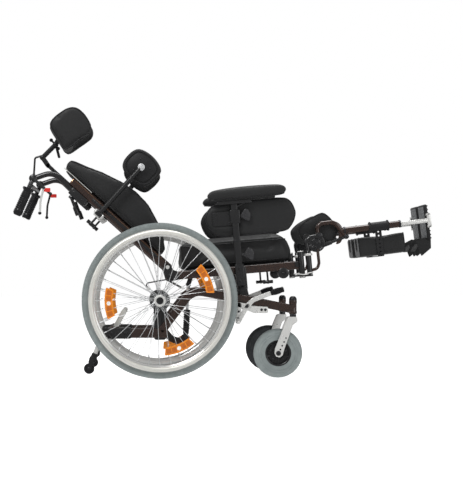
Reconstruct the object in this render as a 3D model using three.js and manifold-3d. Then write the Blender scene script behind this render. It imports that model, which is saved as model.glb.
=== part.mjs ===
// A tilt in space wheelchair: millimetres, +Z up, +X to the front, +Y to the sitter's left.
import * as THREE from 'three';
import { mergeVertices } from 'three/addons/utils/BufferGeometryUtils.js';
import Module from 'manifold-3d';

const wasm = await Module();
wasm.setup();

// Driving dimensions, shared by several pieces
const gap = 0.3; // between pieces that touch
const sink = 1; // how far one welded body reaches into the next
const overrun = 4; // how far a cut runs past what it cuts
const weld = 0.001; // points nearer than this are one point
const pinSides = 6;
const boreSides = 8;
const seatSlope = 5; // degrees that the seat rises to the front
const backRecline = 48; // degrees that the back leans from upright
const legSlope = 7.1; // degrees that the raised leg tubes rise to the front

// Driving dimensions of the base, from the rear axle's line and the floor
const base = {
  railY: 232, tubeWidth: 30, tubeHeight: 34, bend: 70,
  dipX: 357, dipZ: 305, shoulderX: 128, shoulderZ: 346, footX: 6, footZ: 184,
  railZ: 177, railHeight: 38, railRearX: -112, sleeveWall: 3, sleeveRearX: -206,
  crossRadius: 13, rearCrossX: 24, frontCrossX: 290,
  axlePlateThick: 12, axlePlateWidth: 44, axlePinRadius: 6, axleBossRadius: 20,
  pedalX: -140, pedalZ: 266, pedalFootX: -176, pedalWidth: 20, pedalThick: 7,
};
const tilt = { x: 330, z: 352, pinRadius: 8, lugThick: 6, lugRadius: 20, clear: 0.4, lean: 14 };
const wheel = {
  radius: 305, tyreWidth: 35, tyreHeight: 25, planeY: 280, rimWidth: 25, rimDepth: 30, rimWall: 12,
  sides: 32, spokes: 32, spokeRadius: 1.1, crosses: 3, spokeSpread: 2.6,
  hubRadius: 15, flangeRadius: 23, flangeThick: 3, flangeY: 20, drumRadius: 40, drumDepth: 17,
  hubInnerY: 36, bore: 6.5, capRadius: 21, capDepth: 5,
  reflectorInset: 105, reflectorHeight: 32, reflectorSweep: 34, reflectorThick: 6,
};
const reflectorAngles = [25, 183, 292]; // degrees round the wheel
const handrim = { inset: 37, tubeRadius: 9.5, offsetY: 35.5, tabs: 6, tabRadius: 4, tabFoot: 6,
  tubeSides: 5 };
const castor = {
  x: 527, trail: 60, radius: 97, width: 50, hubRadius: 53, bore: 6.4, pinRadius: 6, sides: 20,
  hubWidth: 38, hubBossRadius: 17, treadInset: 14, housingRadius: 16, housingBottom: 250, housingTop: 306,
  capTop: 322, stemRadius: 8, stemBore: 8.4, crownTop: 241, crownDrop: 33, crownThick: 6,
  legWidth: 29, legThick: 5, sideClear: 1.6, holes: 4, holeRadius: 3.4, holePitch: 16.7,
};
const tip = {
  x: -222, z: 180, pinRadius: 5, bore: 5.4, eyeRadius: 13, eyeWidth: 22, cheekThick: 5,
  tubeRadius: 9, rollerX: -277, rollerZ: 38, rollerRadius: 21, rollerWidth: 22,
  knuckleShare: 0.74, knuckleRadius: 15, forkThick: 4,
};
const lock = {
  ahead: 38, z: 282, pinRadius: 5, bore: 5.4, plateThick: 4.5, plateLength: 84, plateHeight: 27,
  boltRadius: 5, boltHeight: 3, saddleLift: 3, leverThick: 5, shoeBack: 35, shoeDrop: 63, shoeRadius: 6,
  shoeWidth: 42, elbowAhead: 24, elbowUp: 25, armAhead: 92, armUp: 51, gripAhead: 146, gripUp: 68,
  armWidth: 18, gripRadius: 11, gripNeck: 8,
};
const spring = {
  bottomX: 106, bottomZ: 158, topX: 117, topZ: 369, y: -90, bodyRadius: 13.5, bodyLength: 109,
    insideShare: 0.71,
  rodRadius: 6, eyeRadius: 11, eyeWidth: 18, pinRadius: 5, bore: 5.4, cheekThick: 5, rodBore: 6.5,
  cheekClear: 0.7,
};
const cable = {
  radius: 2.4, hubX: -41, hubUp: 41, elbowX: -59, elbowUp: 67, frameX: 29, frameZ: 388,
  endX: 96, endZ: 352, bend: 16, anchorWidth: 12, anchorThick: 6, stopRadius: 4.5, stopLength: 32,
};

// Driving dimensions of the seat, from the foot of the back along the seat rail
const seat = {
  x: 34, z: 400, railY: 192, railWidth: 26, railHeight: 32, railStart: 4, railShort: 11,
  crossRadius: 11, rearCross: 96, frontCross: 470, panStart: 52, panEnd: 508, panThick: 4,
  reclinePlateThick: 6, reclinePinRadius: 8, reclineH: 37, plateLength: 56, plateDrop: 20,
  hubRadius: 22, hubAlong: 458, hubDrop: 26, hubWidth: 30, knobAlong: 394, knobDrop: 56,
  knobStem: 4, knobRadius: 7, knobLength: 40,
  postRadius: 12, postAlong: 531, postBottom: -52, postTop: 56, postY: 215,
};
const cushion = { start: 50, end: 512, height: 107, halfWidth: 176, crown: 8, side: 22 };
const arm = {
  along: 281, y: 245, postDepth: 26, postWidth: 18, postBottom: -62, wall: 3,
  socketBottom: -60, socketTop: 24, knobAlong: 323, upperKnobH: 216, lowerKnobH: 61,
  knobRadius: 13, knobWidth: 12, plateStart: 193, plateHeight: 56, plateH: 208, plateThick: 3,
  topLength: 150, topThick: 3, topWidth: 34,
};
const armPad = { start: 177, end: 495, bottom: 279, height: 43, centreY: 250, width: 58 };
const sidePad = { start: 159, end: 532, bottom: 131, height: 144, thick: 26, innerY: 207 };

// Driving dimensions of the back, up the canes and forward of them, from the recline pivot
const back = {
  caneY: 192, caneWidth: 23, caneDepth: 35, caneTop: 511, pinBore: 8.4, crossRadius: 11,
  lowerCross: 130, upperCross: 480, shellThick: 6, shellStart: 62, shellEnd: 556,
  shellHalfWidth: 172, trackWidth: 12, trackThick: 3, trackStart: 60, trackEnd: 400,
  pushTubeRadius: 11, pushStart: 405, pushOffset: 29.5, pushBend: 60, archX: -420, archZ: 815,
  clampHeight: 36, clampDepth: 24, blockStart: 408, blockEnd: 492, blockDepth: 16,
  releaseX: -324, releaseZ: 642, releaseTopX: -352, releaseTopZ: 716, releaseRadius: 6,
};
const backPad = { start: 43, end: 578, rear: 19, depth: 128, halfWidth: 203, bolster: 52,
  centreShare: 0.42 };
const push = {
  x: -500, z: 787, y: 210, discRadius: 16, discThick: 13, tubeRadius: 9, endX: -564, endZ: 641,
  crossAt: 29, gripStart: 42, gripRadius: 19, gripEnd: 10,
  bracketThick: 6, bracketWidth: 12, leverX: -458, leverZ: 750, pinRadius: 3, bore: 3.4,
  leverTipX: -473, leverTipZ: 650, leverRadius: 5, ballRadius: 7, eyeRadius: 7, eyeWidth: 12,
  tabLength: 26, tabHeight: 16, tabThick: 8,
};
const lateral = {
  up: 341, offset: -24, y: 240, pinRadius: 5, bore: 5.4, hubRadius: 12, hubLength: 28, lugThick: 4,
  tubeRadius: 10, reach: 223, padHeight: 128, padDepth: 113, padThick: 32, padY: 204, bossRadius: 14,
  plateThick: 4, plateShare: 0.7, knobRadius: 8, knobLength: 38, knobDrop: 34, stemRadius: 4,
};
const head = {
  postWidth: 22, postDepth: 14, postOffset: -15, postStart: 428, postEnd: 640, sleeveWall: 7,
  sleeveHeight: 50, hingeX: -477, hingeZ: 886, padHingeX: -424, padHingeZ: 940, pinRadius: 5,
  bore: 5.4, eyeRadius: 12, linkWidth: 20, cheekThick: 4,
  padX: -379, padZ: 901, padLean: 33.6, padHeight: 139, padDepth: 150, padThick: 42,
  halfWidth: 132, wingThick: 40, leverLength: 66, leverRadius: 5,
};

// Driving dimensions of a leg support: the hanger in the seat's line, the rest from the knee pivot
const hanger = {
  reach: 31, y: 215, postRadius: 11, bottom: -40, top: 54, pinRadius: 5, bore: 5.4, lugThick: 8,
  collarH: 34, collarHeight: 9, collarWall: 4, tubeRadius: 9, kneeAhead: 37, kneeZ: 562, bend: 34,
  riseBack: 18, riseZ: 552, hubAhead: 26, hubZ: 533, hubRadius: 36, hubThick: 14, kneePinRadius: 8,
};
const leg = {
  y: 190, eyeWidth: 22, eyeRadius: 15, bore: 8.4, arcRadius: 9, arcHeight: 48, arcEnd: 112, arcDrop: -16,
    bend: 34,
  tubeZ: 8.5, tubeStart: 101, tubeEnd: 336, tubeRadius: 13, tubeBore: 8.9, boreStart: 180,
  strutRadius: 6, strutStart: 14, strutDrop: -40, crescentThick: 4,
};
const foot = { tubeRadius: 8.5, start: 226, end: 452, hingeY: 165, hingePin: 5, bore: 5.4, blockLength: 14,
  earReach: 7.5 };
const footRest = {
  thick: 18, bottom: -70, top: 75, width: 134, barrelRadius: 10, barrelHeight: 40, ribs: 5, ribDepth: 3,
  ribHeight: 8, strapThick: 3, strapLength: 62, strapDrop: 78, strapInset: 14,
};
const calfRest = {
  start: 158, end: 355, top: -25, height: 83, width: 118, centreY: 98, wall: 24, crown: 8,
  sleeveStart: 210, sleeveEnd: 283, sleeveWall: 5, strapWidth: 26, strapThick: 4, strapBottom: -112,
};
const kneeRest = { back: 44, z: 529, length: 170, height: 131, thick: 30, innerY: 143 };

// Outlines and stations as shares, chosen by hand, of the sizes that they follow
const cushionShares = [[0, 0.08], [0, 0.86], [0.04, 0.97], [0.3, 1], [0.86, 1], [0.93, 0.95], [0.97, 0.72],
  [1, 0.12],
  [0.97, 0], [0.03, 0]];
const backPadShares = [[0, 0], [0.02, 0.24], [0.19, 0.76], [0.33, 0.97], [0.47, 1], [0.59, 0.91],
  [0.75, 0.7],
  [0.87, 0.47], [0.97, 0.32], [1, 0.2], [0.98, 0]];
const armPadShares = [[0, 0.35], [0.03, 0.72], [0.1, 0.9], [0.44, 1], [0.9, 0.98], [0.97, 0.82], [1, 0.45],
  [0.97, 0.08],
  [0.9, 0], [0.06, 0.02]];
const sidePadShares = [[0, 0.5], [0.03, 0.77], [0.12, 0.95], [0.24, 1], [0.84, 1], [0.94, 0.9], [1, 0.6],
  [0.99, 0.4],
  [0.93, 0.14], [0.84, 0.02], [0.2, 0], [0.07, 0.12]];
const lateralPadShares = [[0.02, 0.5], [0.1, 0.13], [0.3, 0.02], [0.7, 0], [0.9, 0.1], [1, 0.45],
  [0.94, 0.82],
  [0.75, 0.98], [0.35, 1], [0.1, 0.86]];
const wingShares = [[0, 0], [0.02, 0.5], [0.05, 0.8], [0.2, 0.97], [0.4, 1], [0.7, 0.98], [0.93, 0.88],
  [1, 0.7], [0.97, 0.3],
  [0.93, 0]];
const kneeShares = [[0, 0.4], [0.04, 0.56], [0.39, 0.89], [0.56, 1], [0.67, 0.96], [0.81, 0.77], [1, 0.47],
  [0.8, 0],
  [0.7, 0], [0.1, 0.1]];
const crescentShares = [[0.5, 0.95], [0.72, 0.8], [0.72, 0.3], [0.6, 0], [0.78, 0.05], [0.9, 0.4],
  [0.88, 0.75], [0.7, 1]];

const materials = {
  frame: new THREE.MeshStandardMaterial({ color: 0x2a1c18, roughness: 0.35, metalness: 0.7 }),
  black: new THREE.MeshStandardMaterial({ color: 0x17181a, roughness: 0.55, metalness: 0.1 }),
  silver: new THREE.MeshStandardMaterial({ color: 0xc9ccca, roughness: 0.3, metalness: 0.9 }),
  tyre: new THREE.MeshStandardMaterial({ color: 0x8c9898, roughness: 0.85, metalness: 0 }),
  vinyl: new THREE.MeshStandardMaterial({ color: 0x303133, roughness: 0.75, metalness: 0 }),
  plastic: new THREE.MeshStandardMaterial({ color: 0x202124, roughness: 0.6, metalness: 0 }),
};

// Solids
const alongY = new THREE.Vector3(0, 1, 0);
const degrees = THREE.MathUtils.degToRad;

/** Turns a closed geometry into a solid, with its faces pointing out. */
function solid(geometry) {
  const bare = new THREE.BufferGeometry();
  bare.setAttribute('position', geometry.attributes.position);
  if (geometry.index) bare.setIndex(geometry.index);
  const merged = mergeVertices(bare, weld);
  const points = merged.attributes.position.array;
  const corners = merged.index.array;
  const triangles = [];
  const [a, b, c] = [new THREE.Vector3(), new THREE.Vector3(), new THREE.Vector3()];
  let volume = 0;
  for (let i = 0; i < corners.length; i += 3) {
    const [p, q, r] = [corners[i], corners[i + 1], corners[i + 2]];
    if (p === q || q === r || r === p) continue;
    triangles.push([p, q, r]);
    a.fromArray(points, 3 * p);
    b.fromArray(points, 3 * q);
    c.fromArray(points, 3 * r);
    volume += a.dot(b.cross(c));
  }
  const outward = volume < 0 ? triangles.map(([p, q, r]) => [p, r, q]) : triangles;
  const mesh = new wasm.Mesh({
    numProp: 3,
    vertProperties: new Float32Array(points),
    triVerts: new Uint32Array(outward.flat()),
  });
  return new wasm.Manifold(mesh);
}

const join = (...bodies) => bodies.reduce((whole, body) => whole.add(body));
const cut = (body, ...tools) => tools.reduce((rest, tool) => rest.subtract(tool), body);

/** A local frame at x, z whose +X points up from the world's +X by an angle in degrees. */
function frameAt(x, z, angle) {
  const lean = new THREE.Matrix4().makeRotationY(-degrees(angle));
  return new THREE.Matrix4().makeTranslation(x, 0, z).multiply(lean);
}
const seatFrame = frameAt(seat.x, seat.z, seatSlope);
const inSeat = (body) => body.transform(seatFrame.elements);
const onSeat = (along, y, h) => new THREE.Vector3(along, y, h).applyMatrix4(seatFrame);
const recline = onSeat(0, 0, seat.reclineH);
const backFrame = frameAt(recline.x, recline.z, backRecline);
const inBack = (body) => body.transform(backFrame.elements);
const onBack = (forward, y, up) => new THREE.Vector3(forward, y, up).applyMatrix4(backFrame);
const railEnd = seat.postAlong - seat.railShort;
const hangerAlong = seat.postAlong + hanger.reach;
const hangerX = seat.x + hangerAlong;
const kneeX = hangerX + hanger.kneeAhead;
const legFrame = frameAt(kneeX, hanger.kneeZ, legSlope);
const inLeg = (body) => body.transform(legFrame.elements);
const onLeg = (along, y, up) => new THREE.Vector3(along, y, up).applyMatrix4(legFrame);

/** A box between two corners. */
function block(low, high) {
  const size = high.map((value, i) => value - low[i]);
  const centre = high.map((value, i) => (value + low[i]) / 2);
  return solid(new THREE.BoxGeometry(...size).translate(...centre));
}

/** A profile of [radius, distance] turned about the line from one point towards another. */
function turned(profile, sides, from, towards) {
  const start = new THREE.Vector3(...from);
  const direction = new THREE.Vector3(...towards).sub(start).normalize();
  const first = profile[0];
  const last = profile[profile.length - 1];
  const closed = first[0] === 0 && last[0] === 0 ? profile : [...profile, first];
  const geometry = new THREE.LatheGeometry(closed.map(([r, d]) => new THREE.Vector2(r, d)), sides);
  const turn = new THREE.Quaternion().setFromUnitVectors(alongY, direction);
  return solid(geometry.applyQuaternion(turn).translate(start.x, start.y, start.z));
}

/** The same about an axis along Y. */
function turnedY(profile, sides, x, from, z, side = 1) {
  return turned(profile, sides, [x, from, z], [x, from + side, z]);
}

/** A round bar between two points. */
function rod(from, to, radius, sides = 8) {
  const length = new THREE.Vector3(...from).distanceTo(new THREE.Vector3(...to));
  return turned([[0, 0], [radius, 0], [radius, length], [0, length]], sides, from, to);
}

/** The corner radius of a faceted bore whose flats lie at a radius. */
const boreRadius = (radius, count) => radius / Math.cos(Math.PI / count);

/** A cutter for a round bore, whose flats lie at the radius. */
const drill = (from, to, radius) => rod(from, to, boreRadius(radius, boreSides), boreSides);

/** A round disc or bar along Y at x, z. */
const discY = (x, z, yFrom, yTo, radius, sides = 8) => rod([x, yFrom, z], [x, yTo, z], radius, sides);

/** A cutter for a bore along Y at x, z. */
const drillY = (x, z, yFrom, yTo, radius) => drill([x, yFrom, z], [x, yTo, z], radius);

/** An outline of [x, z] points given thickness from one Y to another. */
function panel(outline, yFrom, yTo) {
  const shape = new THREE.Shape(outline.map(([x, z]) => new THREE.Vector2(x, z)));
  const geometry = new THREE.ExtrudeGeometry(shape, { depth: Math.abs(yTo - yFrom), bevelEnabled: false });
  return solid(geometry.rotateX(Math.PI / 2).translate(0, Math.max(yFrom, yTo), 0));
}

/** A flat bar with round ends between two [x, z] points. */
function link(from, to, width, yFrom, yTo, steps = 3) {
  const angle = Math.atan2(to[1] - from[1], to[0] - from[0]);
  const outline = [];
  for (const [centre, start] of [[to, angle - Math.PI / 2], [from, angle + Math.PI / 2]]) {
    for (let i = 0; i <= steps; i += 1) {
      const turn = start + (Math.PI * i) / steps;
      outline.push([centre[0] + (width / 2) * Math.cos(turn), centre[1] + (width / 2) * Math.sin(turn)]);
    }
  }
  return panel(outline, yFrom, yTo);
}

/** The middle line of a bent tube: straight runs joined by round bends, with a station at each ring. */
class Route extends THREE.Curve {
  constructor(points, bend, across) {
    super();
    this.across = across;
    this.stations = [];
    const corners = points.map((point) => new THREE.Vector3(...point));
    for (let i = 0; i < corners.length; i += 1) this.addCorner(corners, i, bend);
  }

  addCorner(corners, i, bend) {
    const here = corners[i];
    const before = corners[i - 1] ?? here;
    const after = corners[i + 1] ?? here;
    const inward = here.clone().sub(before).normalize();
    const outward = after.clone().sub(here).normalize();
    if (i === 0) this.stations.push({ point: here, tangent: outward });
    else if (i === corners.length - 1) this.stations.push({ point: here, tangent: inward });
    else this.addBend(here, inward, outward, bend,
      Math.min(here.distanceTo(before), here.distanceTo(after)) / 2);
  }

  addBend(corner, inward, outward, bend, room) {
    const angle = inward.angleTo(outward);
    const reach = Math.min(bend * Math.tan(angle / 2), room);
    const steps = Math.max(1, Math.ceil(angle / degrees(38)));
    const axis = inward.clone().cross(outward).normalize();
    const start = corner.clone().addScaledVector(inward, -reach);
    const spoke = axis.clone().cross(inward).multiplyScalar(-reach / Math.tan(angle / 2));
    const centre = start.clone().sub(spoke);
    for (let i = 0; i <= steps; i += 1) {
      const turn = (angle * i) / steps;
      const point = centre.clone().add(spoke.clone().applyAxisAngle(axis, turn));
      this.stations.push({ point, tangent: inward.clone().applyAxisAngle(axis, turn) });
    }
  }

  get steps() {
    return this.stations.length - 1;
  }

  getPointAt(share) {
    return this.stations[Math.round(share * this.steps)].point.clone();
  }

  getTangentAt(share) {
    return this.stations[Math.round(share * this.steps)].tangent.clone();
  }

  computeFrenetFrames() {
    const tangents = this.stations.map((station) => station.tangent);
    const binormals = tangents.map((tangent) => tangent.clone().cross(this.across).normalize());
    const normals = tangents.map((tangent, i) => binormals[i].clone().cross(tangent).normalize());
    return { tangents, normals, binormals };
  }
}

/** A bent tube or bar, width across and height in its bends' plane. */
function tube(points, { width, height = width, bend = 0, sides = 8, across = alongY }) {
  const outline = [];
  for (let i = 0; i < sides; i += 1) {
    const turn = (2 * Math.PI * (i + 0.5)) / sides;
    outline.push(new THREE.Vector2(boreRadius(width / 2, sides) * Math.cos(turn),
      boreRadius(height / 2, sides) * Math.sin(turn)));
  }
  const route = new Route(points, bend, across);
  return solid(new THREE.ExtrudeGeometry(new THREE.Shape(outline),
    { steps: route.steps, extrudePath: route }));
}

/** A stuffed form: an outline in x, z repeated across Y, drawn in about a centre at each station. */
function stuffed(shares, centre, stations) {
  const flat = shares.map(([x, z]) => new THREE.Vector2(x, z));
  if (THREE.ShapeUtils.isClockWise(flat)) flat.reverse();
  const outline = flat.map((point) => point.toArray());
  const positions = [];
  const index = [];
  const count = outline.length;
  for (const { y, along, up } of stations) {
    for (const [x, z] of outline) {
      positions.push(centre[0] + (x - centre[0]) * along, y, centre[1] + (z - centre[1]) * up);
    }
  }
  const lastRing = (stations.length - 1) * count;
  for (let ring = 0; ring < lastRing; ring += count) {
    for (let i = 0; i < count; i += 1) {
      const next = (i + 1) % count;
      index.push(ring + i, ring + next, ring + count + i, ring + next, ring + count + next,
        ring + count + i);
    }
  }
  for (const cap of THREE.ShapeUtils.triangulateShape(flat, [])) {
    index.push(cap[0], cap[2], cap[1], lastRing + cap[0], lastRing + cap[1], lastRing + cap[2]);
  }
  const geometry = new THREE.BufferGeometry();
  geometry.setAttribute('position', new THREE.Float32BufferAttribute(positions, 3));
  geometry.setIndex(index);
  return solid(geometry);
}

/** Shares of a length and a height, as an outline from a lower rear corner. */
const outlineOf = (shares, x, z, length, height) => shares.map(([a, b]) => [x + a * length, z + b * height]);

/** A pad between two Y values: full in the middle, drawn in towards its seams. */
function pad(outline, yFrom, yTo) {
  const xs = outline.map(([x]) => x);
  const zs = outline.map(([, z]) => z);
  const centre = [(Math.min(...xs) + Math.max(...xs)) / 2, (Math.min(...zs) + Math.max(...zs)) / 2];
  const padShares = [[0, 0.9], [0.16, 0.985], [0.5, 1], [0.84, 0.985], [1, 0.9]];
  return stuffed(outline, centre, padShares.map(([share, size]) => (
    { y: yFrom + (yTo - yFrom) * share, along: size, up: size })));
}

// The object and its pivots
const wheelchair = new THREE.Group();
wheelchair.name = 'wheelchair';
wheelchair.userData.place = new THREE.Vector3();

/** A nested group at a joint's place, in the whole object's frame. */
function pivot(parent, name, place) {
  const group = new THREE.Group();
  group.name = name;
  group.userData.place = place.clone();
  group.position.copy(place).sub(parent.userData.place);
  parent.add(group);
  return group;
}

/** Adds a solid, modelled in the whole object's frame, to the group that carries it. */
function add(parent, name, body, material) {
  const mesh = body.getMesh();
  const geometry = new THREE.BufferGeometry();
  geometry.setAttribute('position', new THREE.BufferAttribute(new Float32Array(mesh.vertProperties), 3));
  geometry.setIndex(new THREE.BufferAttribute(new Uint32Array(mesh.triVerts), 1));
  const place = parent.userData.place;
  geometry.translate(-place.x, -place.y, -place.z);
  geometry.computeVertexNormals();
  const piece = new THREE.Mesh(geometry, material);
  piece.name = name;
  parent.add(piece);
}

const at = (x, y, z) => new THREE.Vector3(x, y, z);
const sides = [['right', -1], ['left', 1]];

// Base frame
const castorY = base.railY;
const cableY = wheel.planeY - wheel.hubInnerY - 2 * cable.radius;
const railOuter = base.railY + base.tubeWidth / 2;
const rearRail = base.sleeveRearX;

/** The upper tube of one side frame, from the castor housing over the shoulder to the rear rail. */
function sideTube(side, grow = 0) {
  const y = side * base.railY;
  const housingZ = (castor.housingBottom + castor.housingTop) / 2 - castor.housingRadius / 2;
  return tube([
    [castor.x, y, housingZ],
    [base.dipX, y, base.dipZ],
    [base.shoulderX, y, base.shoulderZ],
    [base.footX, y, base.footZ],
  ], { width: base.tubeWidth + 2 * grow, height: base.tubeHeight + 2 * grow, bend: base.bend });
}

function castorHousing(side) {
  const { housingRadius: r, housingBottom: low, housingTop: high, capTop } = castor;
  const wall = r - castor.stemBore;
  const cap = capTop - high;
  const profile = [[0, 0], [r, 0], [r, high - low], [r - wall / 4, high - low + cap / 2],
    [r / 2, capTop - low],
    [0, capTop - low]];
  return turned(profile, 12, [castor.x, side * castorY, low], [castor.x, side * castorY, high]);
}

/** The rear rail, its plastic sleeve, the axle plate and the pin that the wheel turns on. */
function rearEnd(side) {
  const y = side * base.railY;
  const half = base.tubeWidth / 2;
  const railLow = base.railZ - base.railHeight / 2;
  const railHigh = base.railZ + base.railHeight / 2;
  const grown = half + base.sleeveWall;
  const rail = block([base.railRearX - overrun, y - half, railLow],
    [base.axlePlateWidth * 0.7, y + half, railHigh]);
  const sleeve = block(
    [rearRail, y - grown, railLow - base.sleeveWall],
    [base.railRearX, y + grown, railHigh + base.sleeveWall],
  );
  const plateHalf = base.axlePlateThick / 2;
  const axlePlate = link([0, wheel.radius], [base.axlePlateWidth / 4, railHigh], base.axlePlateWidth,
    y - plateHalf, y + plateHalf);
  const innerY = base.railY - half;
  const bossY = wheel.planeY - wheel.hubInnerY - 2 * gap;
  const boss = discY(0, wheel.radius, side * innerY, side * bossY, base.axleBossRadius);
  const pinEnd = wheel.planeY + wheel.flangeY + wheel.capDepth;
  const pin = discY(0, wheel.radius, side * innerY, side * pinEnd, base.axlePinRadius, pinSides);
  return join(rail, sleeve, axlePlate, boss, pin);
}

/** The brake's anchor arm on the axle boss and the cable stop on the side tube. */
function cableSeats(side) {
  const y = side * cableY;
  const half = cable.anchorThick / 2;
  const rise = at(cable.elbowX - cable.hubX, 0, cable.elbowUp - cable.hubUp).normalize();
  const reach = cable.anchorWidth / 2 + gap;
  const anchorEnd = [cable.hubX - rise.x * reach, wheel.radius + cable.hubUp - rise.z * reach];
  const anchor = link([0, wheel.radius], anchorEnd, cable.anchorWidth, y - half, y + half);
  const run = at(cable.endX - cable.frameX, 0, cable.endZ - cable.frameZ).normalize();
  const stop = rod([cable.endX + run.x * gap, y, cable.endZ + run.z * gap],
    [cable.endX + run.x * cable.stopLength, y, cable.endZ + run.z * cable.stopLength], cable.stopRadius);
  return join(anchor, stop);
}

function tipMount(side) {
  const y = side * base.railY;
  const inner = tip.eyeWidth / 2 + gap;
  const outer = inner + tip.cheekThick;
  const cheeks = [-1, 1].map((hand) => (
    link([tip.x, tip.z], [rearRail + tip.eyeRadius, tip.z], 2 * tip.eyeRadius, y + hand * inner,
    y + hand * outer)));
  return join(...cheeks, discY(tip.x, tip.z, y - outer, y + outer, tip.pinRadius, pinSides));
}

function stepPedal(side) {
  const y = side * base.railY;
  const low = base.railZ + base.railHeight / 2;
  return link([base.pedalFootX, low], [base.pedalX, base.pedalZ], base.pedalWidth, y - base.pedalThick,
    y + base.pedalThick);
}

/** The lug that holds the seat's tilt pin, on the inner face of the side tube. */
function tiltLug(side) {
  const outer = base.railY - base.tubeWidth / 2 + 2 * sink;
  const inner = outer - 2 * sink - tilt.lugThick;
  const lug = link([tilt.x, tilt.z], [tilt.x - tilt.lean, tilt.z - 2 * tilt.lugRadius], 2 * tilt.lugRadius,
    side * inner, side * outer);
  return join(lug, discY(tilt.x, tilt.z, side * (seat.railY - seat.railWidth / 2), side * outer,
    tilt.pinRadius, 8));
}

/** The arm under the rear cross tube that carries the tilt spring's lower end. */
function springMount() {
  const inner = spring.eyeWidth / 2 + gap;
  const outer = inner + spring.cheekThick;
  const cheeks = [-1, 1].map((hand) => panel([
    [base.rearCrossX - base.crossRadius, base.railZ],
    [base.rearCrossX + base.crossRadius, base.railZ + base.crossRadius],
    [spring.bottomX - spring.eyeRadius, spring.bottomZ + spring.eyeRadius],
    [spring.bottomX + spring.eyeRadius, spring.bottomZ + spring.eyeRadius],
    [spring.bottomX + spring.eyeRadius, spring.bottomZ - spring.eyeRadius],
    [spring.bottomX - 3 * spring.eyeRadius, spring.bottomZ - spring.eyeRadius],
  ], spring.y + hand * inner, spring.y + hand * outer));
  return join(...cheeks, discY(spring.bottomX, spring.bottomZ, spring.y - outer, spring.y + outer,
    spring.pinRadius, pinSides));
}

function baseFrame() {
  const crossY = base.railY;
  const rearCross = discY(base.rearCrossX, base.railZ, -crossY, crossY, base.crossRadius);
  const frontZ = base.dipZ + (base.shoulderZ - base.dipZ)
    * ((base.dipX - base.frontCrossX) / (base.dipX - base.shoulderX));
  const frontCross = discY(base.frontCrossX, frontZ, -crossY, crossY, base.crossRadius);
  const halves = sides.map(([, side]) => {
    const bore = drill([castor.x, side * castorY, castor.housingBottom - overrun],
      [castor.x, side * castorY, castor.housingTop], castor.stemBore);
    return join(cut(join(sideTube(side), castorHousing(side)), bore), rearEnd(side), cableSeats(side),
      tipMount(side), stepPedal(side), tiltLug(side));
  });
  return join(...halves, rearCross, frontCross, springMount());
}

/** A round bar along Z. */
function discZ(x, y, zFrom, zTo, radius, count = 10) {
  return rod([x, y, zFrom], [x, y, zTo], radius, count);
}

add(wheelchair, 'base_frame', baseFrame(), materials.frame);

// Rear wheels
const rimOuter = wheel.radius - wheel.tyreHeight;
const rimSide = rimOuter - wheel.rimWall / 2; // middle of the rim's flat side
const handrimRadius = wheel.radius - handrim.inset;

/** The tyre, with a rounded tread and a base as wide as the rim. */
function rearTyre(side) {
  const half = wheel.tyreWidth / 2;
  const inner = rimOuter + gap;
  const widest = inner + wheel.tyreHeight * 0.5;
  const profile = [[inner, -half * 0.62], [widest, -half], [wheel.radius, -half * 0.45],
    [wheel.radius, half * 0.45], [widest, half], [inner, half * 0.62]];
  return turnedY(profile, wheel.sides, 0, side * wheel.planeY, wheel.radius, side);
}

/** The rim: deep, with a well for the tyre and a narrow spoke bed. */
function rim(side) {
  const half = wheel.rimWidth / 2;
  const inner = rimOuter - wheel.rimDepth;
  const bed = half * 0.5;
  const profile = [[inner, -bed], [rimOuter - wheel.rimWall, -half], [rimOuter, -half], [rimOuter, half],
    [rimOuter - wheel.rimWall, half], [inner, bed]];
  return turnedY(profile, wheel.sides, 0, side * wheel.planeY, wheel.radius, side);
}

/** The hub shell with its outer cap, two spoke flanges and the brake drum on its inner end. */
function hub(side) {
  const y = (offset) => offset + wheel.hubInnerY;
  const { bore, hubRadius, flangeRadius, flangeThick, flangeY, drumRadius, drumDepth, capRadius } = wheel;
  const start = -wheel.hubInnerY;
  const drumEnd = start + drumDepth;
  const profile = [[bore, y(start)], [drumRadius, y(start)], [drumRadius, y(drumEnd)],
    [hubRadius, y(drumEnd)],
    [hubRadius, y(flangeY - flangeThick)], [flangeRadius, y(flangeY - flangeThick)],
    [flangeRadius, y(flangeY)],
    [capRadius, y(flangeY)], [capRadius, y(flangeY + wheel.capDepth)], [bore, y(flangeY + wheel.capDepth)]];
  const from = side * (wheel.planeY - wheel.hubInnerY);
  return turnedY(profile, 14, 0, from, wheel.radius, side);
}

/** Tangent spokes, laced to cross their neighbours, from the flanges to the rim's bed. */
function spokes(side) {
  const bodies = [];
  const bedRadius = rimOuter - wheel.rimDepth + wheel.flangeThick;
  const step = (2 * Math.PI) / wheel.spokes;
  for (let i = 0; i < wheel.spokes; i += 1) {
    const outer = i % 2 === 0;
    const trailing = i % 4 < 2 ? 1 : -1;
    const rimAngle = i * step;
    const hubAngle = rimAngle + trailing * wheel.crosses * 2 * step;
    const flange = outer ? wheel.flangeY - wheel.flangeThick / 2 : -wheel.hubInnerY + wheel.drumDepth
      - wheel.flangeThick;
    const radius = outer ? wheel.flangeRadius - wheel.flangeThick : wheel.drumRadius - wheel.flangeThick;
    const y = side * (wheel.planeY + flange + trailing * wheel.spokeSpread);
    const from = [radius * Math.cos(hubAngle), y, wheel.radius + radius * Math.sin(hubAngle)];
    const to = [bedRadius * Math.cos(rimAngle), side * wheel.planeY,
      wheel.radius + bedRadius * Math.sin(rimAngle)];
    bodies.push(rod(from, to, wheel.spokeRadius, 3));
  }
  return bodies;
}

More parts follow.
